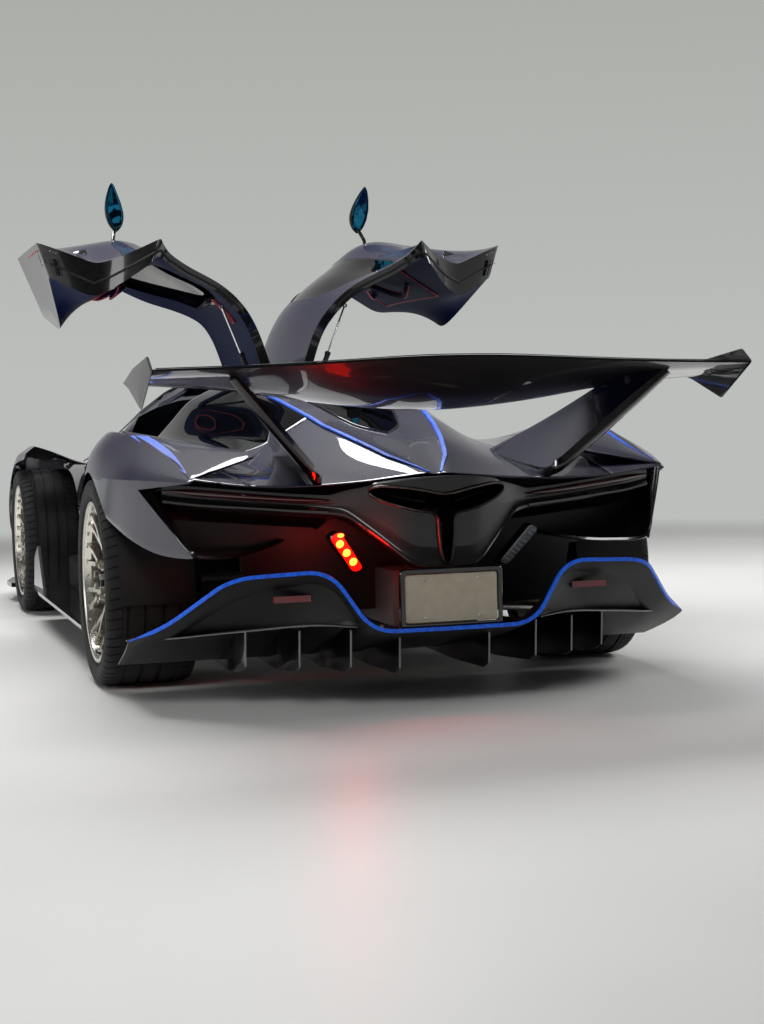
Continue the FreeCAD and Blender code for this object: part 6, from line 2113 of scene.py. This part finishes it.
def makePad(name, first, last, wide, thick, seams):
    # a closed form on the shell between two of its points, puffed by cloth pressure, then its seams drawn in
    ways = shellWays()
    rows = []
    steps = 10
    for k in range(steps + 1):
        place = first + (last - first) * k / steps
        i = min(int(place), len(shellLine) - 2)
        t = place - i
        y = shellLine[i][0] * (1 - t) + shellLine[i + 1][0] * t
        z = shellLine[i][1] * (1 - t) + shellLine[i + 1][1] * t
        way = (ways[i] * (1 - t) + ways[i + 1] * t).normalized()
        crown = min(1.0, 0.35 + 1.6 * min(k, steps - k) / steps)
        row = []
        for a in (-1.0, -0.75, -0.35, 0.0, 0.35, 0.75, 1.0):
            deep = thick * crown * (1 - 0.45 * abs(a) ** 3)
            row.append((seatLook["middle"] + a * wide, y - way.x * deep, z - way.y * deep))
        for a in (1.0, 0.5, -0.5, -1.0):
            row.append((seatLook["middle"] + a * wide * 0.97, y - way.x * 0.004, z - way.y * 0.004))
        rows.append(row)
    pad = cage(name, rows, [leather], loop=True)
    work = bmesh.new()
    work.from_mesh(pad.data)
    bmesh.ops.holes_fill(work, edges=[e for e in work.edges if len(e.link_faces) == 1])
    bmesh.ops.triangulate(work, faces=[f for f in work.faces if len(f.verts) > 4])
    work.to_mesh(pad.data)
    work.free()
    turnOutwards(pad)
    refine(pad, 2)
    settle(pad, 180)
    modifier(pad, "REMESH", mode="VOXEL", voxel_size=seatLook["voxel"])
    settle(pad, 180)
    before = [v.co.copy() for v in pad.data.vertices]
    cloth = pad.modifiers.new("puff", "CLOTH")
    cloth.settings.use_pressure = True
    cloth.settings.uniform_pressure_force = seatLook["pressure"]
    cloth.settings.effector_weights.gravity = 0
    cloth.settings.quality = 4
    for frameNumber in range(1, seatLook["frames"] + 1):
        scene.frame_set(frameNumber)
    settle(pad, 180)
    scene.frame_set(1)
    for vert, start in zip(pad.data.vertices, before):
        move = vert.co - start
        if move.length > seatLook["cap"]:
            vert.co = start + move.normalized() * seatLook["cap"]
    refine(pad, 1)
    settle(pad, 180)
    # each sewn channel is a line across or along the pad, drawn in along the pad's own normal
    normals = [v.normal.copy() for v in pad.data.vertices]
    for vert, normal in zip(pad.data.vertices, normals):
        sink = 0
        for axis, value in seams:
            far = abs(vert.co[axis] - value) / seatLook["seam"]
            if far < 1:
                sink = max(sink, (1 - far * far) ** 2)
        if sink:
            vert.co -= normal * sink * seatLook["seamDeep"]
    pad.data.update()
    shade(pad, 70)
    return pad


def makeSeats():
    x = seatLook["middle"]
    shell = makeSeatShell()
    cushion = makePad("seatCushionLeft", 0.25, 4.0, 0.116, 0.040,
                      [(0, x - 0.062), (0, x + 0.062), (1, -0.18)])
    backPad = makePad("seatBackLeft", 4.6, 8.2, 0.112, 0.036,
                      [(0, x - 0.058), (0, x + 0.058), (2, 0.42), (2, 0.52)])
    headPad = makePad("seatHeadLeft", 8.7, 10.3, 0.080, 0.034, [(0, x)])
    straps = []
    tree = surfaceOf([cushion, backPad, headPad])
    for side in (-1, 1):
        path = []
        for k in range(22):
            z = 0.700 - 0.42 * k / 21
            sideways = x + side * (0.045 + 0.030 * math.sin(math.pi * min(1, k / 26)))
            spot = struck(tree, (sideways, -0.35, z), (0, 1, 0), 0.0015)
            if spot is not None and spot.y > -0.05:
                path.append(spot)
        if len(path) > 3:
            straps.append(sweep("harness", path, [(-0.024, 0), (0.024, 0), (0.024, 0.0016),
                                                  (-0.024, 0.0016)], [webbing],
                                up=(0, -1, 0.3)))
    buckle = lathe("buckle", [(0.004, 0.0), (0.030, 0.0), (0.032, 0.004), (0.030, 0.012), (0.020, 0.015),
                              (0.004, 0.015)], [redLeather], 32)
    spot = struck(tree, (x, -0.35, 0.300), (0, 1, 0), 0.002)
    if spot is None:
        spot = Vector((x, 0.10, 0.31))
    buckle.data.transform(Matrix.Translation(spot) @ Matrix.Rotation(math.radians(78), 4, "X"))
    straps.append(buckle)
    harness = joined("harnessLeft", straps)
    for item, other in ((shell, "seatShellRight"), (cushion, "seatCushionRight"), (backPad, "seatBackRight"),
                        (headPad, "seatHeadRight"), (harness, "harnessRight")):
        onChassis(item)
        copy = twin(item, other, "chassis")
        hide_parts("seats")
        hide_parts("seats")


wheelRimLook = {"outline": [(-0.108, -0.100), (-0.145, -0.055), (-0.152, 0.018), (-0.138, 0.076),
                            (-0.095, 0.104), (0.095, 0.104), (0.138, 0.076), (0.152, 0.018), (0.145, -0.055),
                            (0.108, -0.100)],
                "grip": 0.0125, "tilt": 22, "hub": (0.237, -0.420, 0.655)}


def makeSteeringWheel():
    # local X to the right, Y up the wheel, Z towards the driver
    ring = rounded([(x, y, 0) for x, y in wheelRimLook["outline"] + wheelRimLook["outline"][:1]], 0.03, 4)
    ring = ring[:-1]
    rim = tube("steeringRim", ring, wheelRimLook["grip"], [suede], 14, True)
    stitch = tube("rimStitch", [p * 0.925 for p in ring], 0.0012, [leather], 6, True)
    pieces = [rim, stitch]
    for points in ([(-0.140, 0.016), (-0.060, 0.022), (-0.034, 0.030), (-0.034, -0.022), (-0.066, -0.014),
                    (-0.140, -0.010)],
                   [(0.140, -0.010), (0.066, -0.014), (0.034, -0.022), (0.034, 0.030), (0.060, 0.022),
                    (0.140, 0.016)],
                   [(-0.022, -0.020), (-0.016, -0.092), (0.016, -0.092), (0.022, -0.020)]):
        pieces.append(plateFrom("spoke", [(x, y, 0.004) for x, y in points], 0.008, [satinCarbon], 0.0025))
    pieces.append(lathe("hubCover", [(0.003, -0.020), (0.036, -0.020), (0.038, -0.010), (0.037, 0.010),
                                     (0.030, 0.017), (0.018, 0.019), (0.003, 0.019)], [suede], 48))
    pieces.append(lathe("hubRing", [(0.024, 0.017), (0.030, 0.0165), (0.030, 0.0195), (0.024, 0.0205)],
                        [darkAlloy], 48))
    pieces.append(tube("shaft", [(0, 0, -0.110), (0, 0, -0.018)], 0.0118, [steel], 20))
    for side in (-1, 1):
        paddle = [(side * 0.045, 0.045, -0.022), (side * 0.105, 0.060, -0.024), (side * 0.112, 0.030, -0.024),
                  (side * 0.100, -0.012, -0.024), (side * 0.045, 0.010, -0.022)]
        pieces.append(plateFrom("paddle", paddle if side > 0 else paddle[::-1], 0.003, [satinCarbon], 0.001))
        for y in (0.010, -0.004):
            pieces.append(screwHead("button", (side * 0.058, y, 0.004), (0, 0, 1), 0.0055, blackSatin))
    wheel = joined("steeringWheel", pieces)
    tilt = math.radians(wheelRimLook["tilt"])
    out = Vector((0, math.cos(tilt), math.sin(tilt)))
    up = Vector((0, -math.sin(tilt), math.cos(tilt)))
    turn = Matrix((Vector((-1, 0, 0)), up, out)).transposed().to_4x4()
    wheel.data.transform(Matrix.Translation(wheelRimLook["hub"]) @ turn)
    turnOutwards(wheel)
    shade(wheel, 40)
    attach(wheel, "steering")
    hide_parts("steering_wheel")


dashLook = {"slats": 5, "slatStep": 0.009, "screen": (0.0, 0.630), "screenWide": 0.220, "screenHigh": 0.095}


def dashPoint(tree, x, z, lift):
    # a place on the dashboard's rear face, a little off it
    spot = struck(tree, (x, 0.2, z), (0, -1, 0), lift)
    return spot if spot is not None else Vector((x, -0.64, z))


def makeDash():
    tree = surfaceOf([nodes["dashboard"]])
    pieces = []
    wide, high = dashLook["screenWide"] / 2, dashLook["screenHigh"] / 2
    z = dashLook["screen"][1]
    corners = [dashPoint(tree, a * wide, z + b * high, 0.006) for a,
               b in ((-1, -1), (1, -1), (1, 1), (-1, 1))]
    pieces.append(plateFrom("screen", corners[::-1], 0.005, [blackGloss], 0.002))
    # instrument hood ahead of the steering wheel
    rows = []
    for k in range(9):
        t = math.pi * k / 8
        x = 0.237 - 0.115 * math.cos(t)
        lift = 0.052 * math.sin(t) ** 0.7
        rows.append([(x, y, 0.694 + lift * s) for y, s in ((-0.850, 0.25), (-0.760, 0.75), (-0.690, 1.0),
                                                           (-0.655, 0.96))])
    hood = cage("instrumentHood", rows, [leather], (), [(3, 0, 8, 0.7)])
    turnUp(hood)
    modifier(hood, "SOLIDIFY", thickness=0.006, offset=-1)
    refine(hood, 2)
    settle(hood, 40)
    pieces.append(hood)
    face = [(0.237 + 0.098 * math.cos(t), -0.690, 0.694 + 0.040 * max(0, math.sin(t)) ** 0.7)
            for t in (math.pi * k / 12 for k in range(13))]
    pieces.append(plateFrom("instrumentFace", face, 0.004, [blackGloss], 0.0008))
    for x, z in ((-0.34, 0.640), (0.37, 0.640), (-0.20, 0.655)):
        foot = dashPoint(tree, x, z, 0.0)
        near = foot.y + 0.004
        bar = sweep("ventSlat", [(x - 0.045, near, z - 0.018), (x + 0.045, near, z - 0.018)],
                    [(-0.006, -0.0008), (0.004, -0.0008), (0.004, 0.0008), (-0.006, 0.0008)], [blackSatin])
        pieces.append(repeated(bar, copiesInRow, {"Count": dashLook["slats"],
                                                  "Step": (0.0, -0.0005, dashLook["slatStep"])}))
        ring = [(x + a, near, z + b) for a, b in ((-0.05, -0.025), (0.05, -0.025), (0.05, 0.025),
                                                  (-0.05, 0.025))]
        ring = rounded(ring + ring[:1], 0.012, 4)[:-1]
        pieces.append(tube("ventRim", ring, 0.003, [darkAlloy], 8, True))
    # console: a toggle row, a rotary selector and a red start button
    spots = dropped(tree, [(-0.024, -0.60), (0.0, -0.40), (0.0, -0.30)], 0.0)
    if len(spots) == 3:
        toggle = tube("toggle", [spots[0], spots[0] + Vector((0, 0.003, 0.012)),
                                 spots[0] + Vector((0, 0.006, 0.022))],
                      [0.0035, 0.003, 0.004], [steel], 8)
        pieces.append(repeated(toggle, copiesInRow, {"Count": 4, "Step": (0.016, 0.0, 0.0)}))
        knob = lathe("selector", [(0.003, 0.0), (0.024, 0.0), (0.025, 0.004), (0.022, 0.020), (0.018, 0.023),
                                  (0.003, 0.023)], [darkAlloy], 40)
        knob.data.transform(Matrix.Translation(spots[1] - Vector((0, 0, 0.003))) @ Matrix.Rotation(-0.35, 4,
                                                                                                   "X"))
        pieces.append(knob)
        start = lathe("startButton", [(0.002, 0.0), (0.014, 0.0), (0.015, 0.003), (0.011, 0.006),
                                      (0.002, 0.0065)],
                      [redLeather], 32)
        start.data.transform(Matrix.Translation(spots[2] - Vector((0, 0, 0.002))) @ Matrix.Rotation(-0.3, 4,
                                                                                                    "X"))
        pieces.append(start)
    onChassis(joined("dashFittings", pieces))


def makeWebbing():
    # polyester harness webbing, woven in a narrow rib: dull, with fine cross lines
    # the real rib is about 1 mm; it is drawn at 3 mm, because finer wouldn't show
    material, tree, shader = newMaterial("wovenHarnessWebbing", {"Roughness": 0.8, "Sheen Weight": 0.3})
    place = addNode(tree, "ShaderNodeTexCoord")
    rib = addNode(tree, "ShaderNodeTexWave", {"Scale": 1 / 0.003 / 6.28, "Distortion": 0.4,
                                              "bands_direction": "Z"},
                  {"Vector": (place, "Object")})
    addNode(tree, "ShaderNodeValToRGB", {"stops": [(0.2, "#3a0c10"), (0.8, "#7a141a")]},
            {"Fac": (rib, "Fac")}, {"Color": (shader, "Base Color")})
    addNode(tree, "ShaderNodeBump", {"Distance": 0.0004, "Strength": 0.6}, {"Height": (rib, "Fac")},
            {"Normal": (shader, "Normal")})
    return material


webbing = makeWebbing()
makeSeats()
print("seats made")
makeSteeringWheel()
makeDash()
print("cabin fitted")


roofPullLook = {"corners": [(398, 25), (398, 78), (268, 140), (268, 92)], "stand": 6, "radius": 0.0036}


def innerPoint(r, y, depth):
    # a point over the inside of the door's roof part, by its distance from the hinge; all in mm
    line = sectionAt(cabinTable, y)
    deep = Vector(atReach(line, r)) + inwardsAt(line, r) * (doorLook["wall"] + depth)
    return (deep.x / 1000, y / 1000, deep.y / 1000)


def makeRoofPull():
    # the red-edged release pull on the inside of the door's roof part
    corners = roofPullLook["corners"]
    ring = []
    for (r0, y0), (r1, y1) in zip(corners, corners[1:] + corners[:1]):
        ring += [innerPoint(r0 + (r1 - r0) * k / 4, y0 + (y1 - y0) * k / 4,
                            roofPullLook["stand"]) for k in range(4)]
    loop = tube("pullLoop", rounded(ring + ring[:1], 0.006, 2)[:-1], roofPullLook["radius"], [redLeather], 8,
                True)
    rows = []
    for k in range(7):
        t = k / 6
        a = innerPoint(corners[0][0] + (corners[3][0] - corners[0][0]) * t,
                       corners[0][1] + (corners[3][1] - corners[0][1]) * t, 1)
        b = innerPoint(corners[1][0] + (corners[2][0] - corners[1][0]) * t,
                       corners[1][1] + (corners[2][1] - corners[1][1]) * t, 1)
        rows.append([Vector(a).lerp(Vector(b), s) for s in (0.0, 0.35, 0.65, 1.0)])
    cup = cage("pullCup", rows, [blackSatin])
    modifier(cup, "SOLIDIFY", thickness=0.002, offset=0)
    settle(cup, 40)
    turnOutwards(cup)
    shade(cup, 40)
    return joined("roofPullLeft", [loop, cup])


bothDoors(makeRoofPull(), "roofPullLeft")

headLampLook = {"outline": [(0.612, -2.116), (0.690, -2.212), (0.880, -1.987), (0.867, -1.908)],
                "deep": 0.060, "strips": 4, "lens": ((0.715, -2.105, 0.030), (0.785, -2.030, 0.026))}


def makeLampBowl():
    # a dark bowl below the lamp's cover, two turned projectors and four stepped diode blades
    tree = surfaceOf([nodes["headlamps"]])
    corners = [Vector((x, y, 0)) for x, y in headLampLook["outline"]]
    ring = spaced(corners + corners[:1], 0.03)[:-1]
    middle = sum(ring, Vector()) / len(ring)
    rows = []
    for share, sink in ((0.96, 0.008), (0.93, 0.030), (0.86, headLampLook["deep"]),
                        (0.5, headLampLook["deep"] + 0.004), (0.04, headLampLook["deep"] + 0.004)):
        row = []
        for p in ring:
            flat = middle.lerp(p, share)
            near = middle.lerp(p, 0.90)
            spot = dropped(tree, [(near.x, near.y)])
            row.append(Vector((flat.x, flat.y, (spot[0].z if spot else 0.5) - sink)))
        rows.append(row)
    bowl = cage("lampBowl", rows, [blackGloss], loop=True)
    modifier(bowl, "SOLIDIFY", thickness=0.003, offset=0)
    settle(bowl, 40)
    turnOutwards(bowl)
    shade(bowl, 40)
    pieces = [bowl]
    for x, y, radius in headLampLook["lens"]:
        top = dropped(tree, [(x, y)])
        z = (top[0].z if top else 0.5) - 0.050
        barrel = lathe("projector", [(radius * 0.55, -0.010), (radius, -0.010), (radius, 0.020),
                                     (radius * 0.93, 0.026), (radius * 0.84, 0.020), (radius * 0.84, 0.012),
                                     (radius * 0.55, 0.012)], [chrome], 40)
        dome = lathe("projectorLens", [(0.0012, 0.010), (radius * 0.83, 0.010), (radius * 0.80, 0.015),
                                       (radius * 0.5, 0.024), (0.0012, 0.027)], [lampGlass], 40)
        turn = Matrix.Rotation(math.radians(62), 4, "X")
        for item in (barrel, dome):
            item.data.transform(Matrix.Translation((x, y, z)) @ turn)
            pieces.append(item)
    a, b = Vector((0.700, -2.180, 0)), Vector((0.862, -1.990, 0))
    inward = Vector((-0.75, 0.65, 0)).normalized()
    for k in range(headLampLook["strips"]):
        start = a + inward * (0.006 + 0.012 * k) + (b - a) * 0.03 * k
        end = b + inward * (0.006 + 0.009 * k) - (b - a) * 0.10 * k
        path = []
        for s in range(9):
            p = start.lerp(end, s / 8)
            spot = dropped(tree, [(p.x, p.y)])
            if spot:
                path.append(spot[0] - Vector((0, 0, 0.016 + 0.004 * k)))
        if len(path) > 3:
            pieces.append(sweep("diodeBlade", path, barProfile(0.005, 0.004), [ledWhite]))
    lamp = joined("lampInsides", pieces)
    mirrorAcross(lamp)
    onChassis(lamp)


makeLampBowl()

louvreLook = {"count": 5, "first": -1467, "step": 75, "inner": 800, "outer": 905, "rake": 18, "open": 30}


def makeLouvres(clam):
    # five vents through each front wing, each with a curved slat that closes half of it
    look = louvreLook
    for side in (1, -1):
        cutters = []
        for k in range(look["count"]):
            y = look["first"] + k * look["step"]
            outline = [(side * look["inner"], y), (side * look["outer"], y - look["rake"]),
                       (side * look["outer"], y - look["rake"] + look["open"]),
                       (side * look["inner"], y + look["open"])]
            outline = [(a / 1000, b / 1000) for a, b in outline]
            cutters.append(prismAlong("cutter", outline, 2, 0.6, 0.9, [paint]))
        cutAway(clam, joined("cutter", cutters))
    tree = surfaceOf([clam])
    x0, x1 = look["inner"] / 1000 - 0.006, look["outer"] / 1000 + 0.006
    y0 = (look["first"] - 14) / 1000
    path = []
    for k in range(7):
        t = k / 6
        p = (x0 + (x1 - x0) * t, y0 - look["rake"] / 1000 * t)
        spot = dropped(tree, [p])
        if spot:
            path.append(spot[0] + Vector((0, 0.006, -0.0035)))
    ahead = dropped(tree, [((x0 + x1) / 2, y0), ((x0 + x1) / 2, y0 + look["step"] / 1000 * 4)])
    rise = (ahead[1].z - ahead[0].z) / 4 if len(ahead) == 2 else 0.008
    slat = sweep("louvreSlat", path, [(-0.004, 0.0), (0.020, -0.016), (0.021, -0.014), (-0.002, 0.0022)],
                 [glossCarbon])
    row = repeated(slat, copiesInRow, {"Count": look["count"], "Step": (0.0, look["step"] / 1000, rise)})
    row.name = "wingLouvres"
    mirrorAcross(row)
    turnOutwards(row)
    shade(row, 35)
    onChassis(row)


makeLouvres(frontClam)

intakeLook = {"half": 0.610, "y": -2.30, "low": 0.108, "high": 0.262, "slats": 6, "step": 0.022}


def makeIntake():
    # the lower intake: a dark back wall, a row of thin blades across it and four upright vanes
    look = intakeLook
    y = look["y"]
    wall = plateFrom("intakeBack", [(-look["half"], y + 0.05, look["low"]),
                                    (-look["half"], y + 0.05, look["high"]),
                                    (look["half"], y + 0.05, look["high"]),
                                    (look["half"], y + 0.05, look["low"])],
                     0.004, [blackSatin], 0.001)
    path = [(look["half"] * s, y + 0.02 * abs(s) ** 2, look["low"] + 0.012) for s in (-1, -0.75, -0.5, -0.25,
                                                                                      0, 0.25,
                                                                                     0.5, 0.75, 1)]
    blade = sweep("intakeBlade", path, [(-0.010, -0.0012), (0.008, -0.0012), (0.010, 0.0), (0.008, 0.0012),
                                        (-0.010, 0.0012)], [blackSatin])
    blades = repeated(blade, copiesInRow, {"Count": look["slats"], "Step": (0.0, 0.0, look["step"])})
    pieces = [wall, blades]
    for x in (-0.585, -0.330, 0.330, 0.585):
        outline = [(x, -2.440, 0.101), (x, -2.250, 0.101), (x, -2.250, 0.300), (x, -2.370, 0.262),
                   (x, -2.432, 0.225)]
        vane = meshObject("vane", outline, [tuple(range(5))], [glossCarbon])
        modifier(vane, "SOLIDIFY", thickness=0.007, offset=0)
        modifier(vane, "BEVEL", width=0.0015, segments=2, limit_method="ANGLE", angle_limit=math.radians(40))
        settle(vane, 40)
        pieces.append(vane)
    onChassis(joined("noseIntake", pieces))


makeIntake()

wiperLook = {"foot": (0.060, -1.205), "tip": (-0.400, -0.960), "bladeLong": 0.52}


def makeWiper():
    # one arm from the cowl, with a flexed rubber blade on the screen
    tree = surfaceOf([nodes["windscreen"]])
    foot, tip = Vector(wiperLook["foot"] + (0,)), Vector(wiperLook["tip"] + (0,))
    arm = [foot.lerp(tip, k / 8) for k in range(9)]
    path = []
    for k, p in enumerate(arm):
        spot = dropped(tree, [(p.x, p.y)], 0.014 + 0.006 * math.sin(math.pi * k / 8))
        if spot:
            path.append(spot[0])
    if len(path) < 4:
        return
    pieces = [sweep("wiperArm", path, barProfile(0.012, 0.005), [blackSatin],
                    sizes=[1.4 - 0.7 * k / (len(path) - 1) for k in range(len(path))])]
    across = (tip - foot).normalized()
    blade = []
    for k in range(13):
        p = tip + across * (k / 12 - 0.62) * wiperLook["bladeLong"]
        spot = dropped(tree, [(p.x, p.y)], 0.003)
        if spot:
            blade.append(spot[0])
    if len(blade) > 4:
        pieces.append(sweep("wiperBlade", blade, [(-0.0025, -0.002), (0.0025, -0.002), (0.004, 0.005),
                                                  (0.002, 0.009), (-0.002, 0.009), (-0.004, 0.005)], [seal]))
    pieces.append(tube("wiperPivot", [path[0] - Vector((0, 0, 0.02)), path[0],
                                      path[0] + Vector((0, 0, 0.006))],
                       [0.014, 0.013, 0.009], [blackSatin], 20))
    onChassis(joined("wiper", pieces))


makeWiper()
print("front dressed")

linerLook = {"inner": 0.690, "outer": 0.945, "angleFrom": -8, "angleTo": 188}


def makeLiners():
    # moulded liners over the rear tyres, ribbed across so that they don't drum
    y0, z0, radius = archLook["rear"]
    rows = []
    count = 36
    for k in range(count + 1):
        t = math.radians(linerLook["angleFrom"] + (linerLook["angleTo"] - linerLook["angleFrom"]) * k / count)
        r = radius - 0.006 - (0.003 if k % 4 == 0 else 0)
        rows.append([(x, y0 + r * math.cos(t), z0 + r * math.sin(t)) for x in (linerLook["inner"], 0.80,
                                                                               linerLook["outer"])])
    liner = cage("wheelLiners", rows, [seal])
    modifier(liner, "SOLIDIFY", thickness=0.0025, offset=0)
    settle(liner, 30)
    turnOutwards(liner)
    shade(liner, 40)
    mirrorAcross(liner)
    onChassis(liner)


makeLiners()

finishes = {
    "tub": satinCarbon, "roof_spine": glossCarbon, "windscreen": smokedGlass, "roof_scoop": glossCarbon,
    "front_clam": paint, "headlamps": lampGlass, "front_splitter": glossCarbon, "side_pods": paint,
    "side_skirts": glossCarbon, "engine_cover": paint, "rear_clam": paint, "tail_panel": glossCarbon,
    "tail_lights": redGlass, "exhaust": heatSteel, "diffuser": glossCarbon, "diffuser_edge": edgePaint,
    "wing": glossCarbon, "wing_endplates": glossCarbon, "wing_pylons": paint, "number_plate": plateFace,
    "front_suspension": castAlloy, "rear_suspension": castAlloy, "steering_rack": steel,
    "seats": leather, "dashboard": suede, "steering_wheel": suede, "engine": castAlloy}
sided = {"wheel_front": forged, "wheel_rear": forged, "tyre_front": rubber, "tyre_rear": rubber,
         "knuckle_front": castAlloy, "door": paint, "door_window": smokedGlass, "door_trim": leather,
         "mirror": glossCarbon, "strut_cylinder": blackSatin, "strut_rod": chrome}
for name, material in sided.items():
    for hand in ("left", "right"):
        finishes[name + "_" + hand] = material
for name, material in finishes.items():
    ownFinish(name, material)
print("carried-over pieces finished")
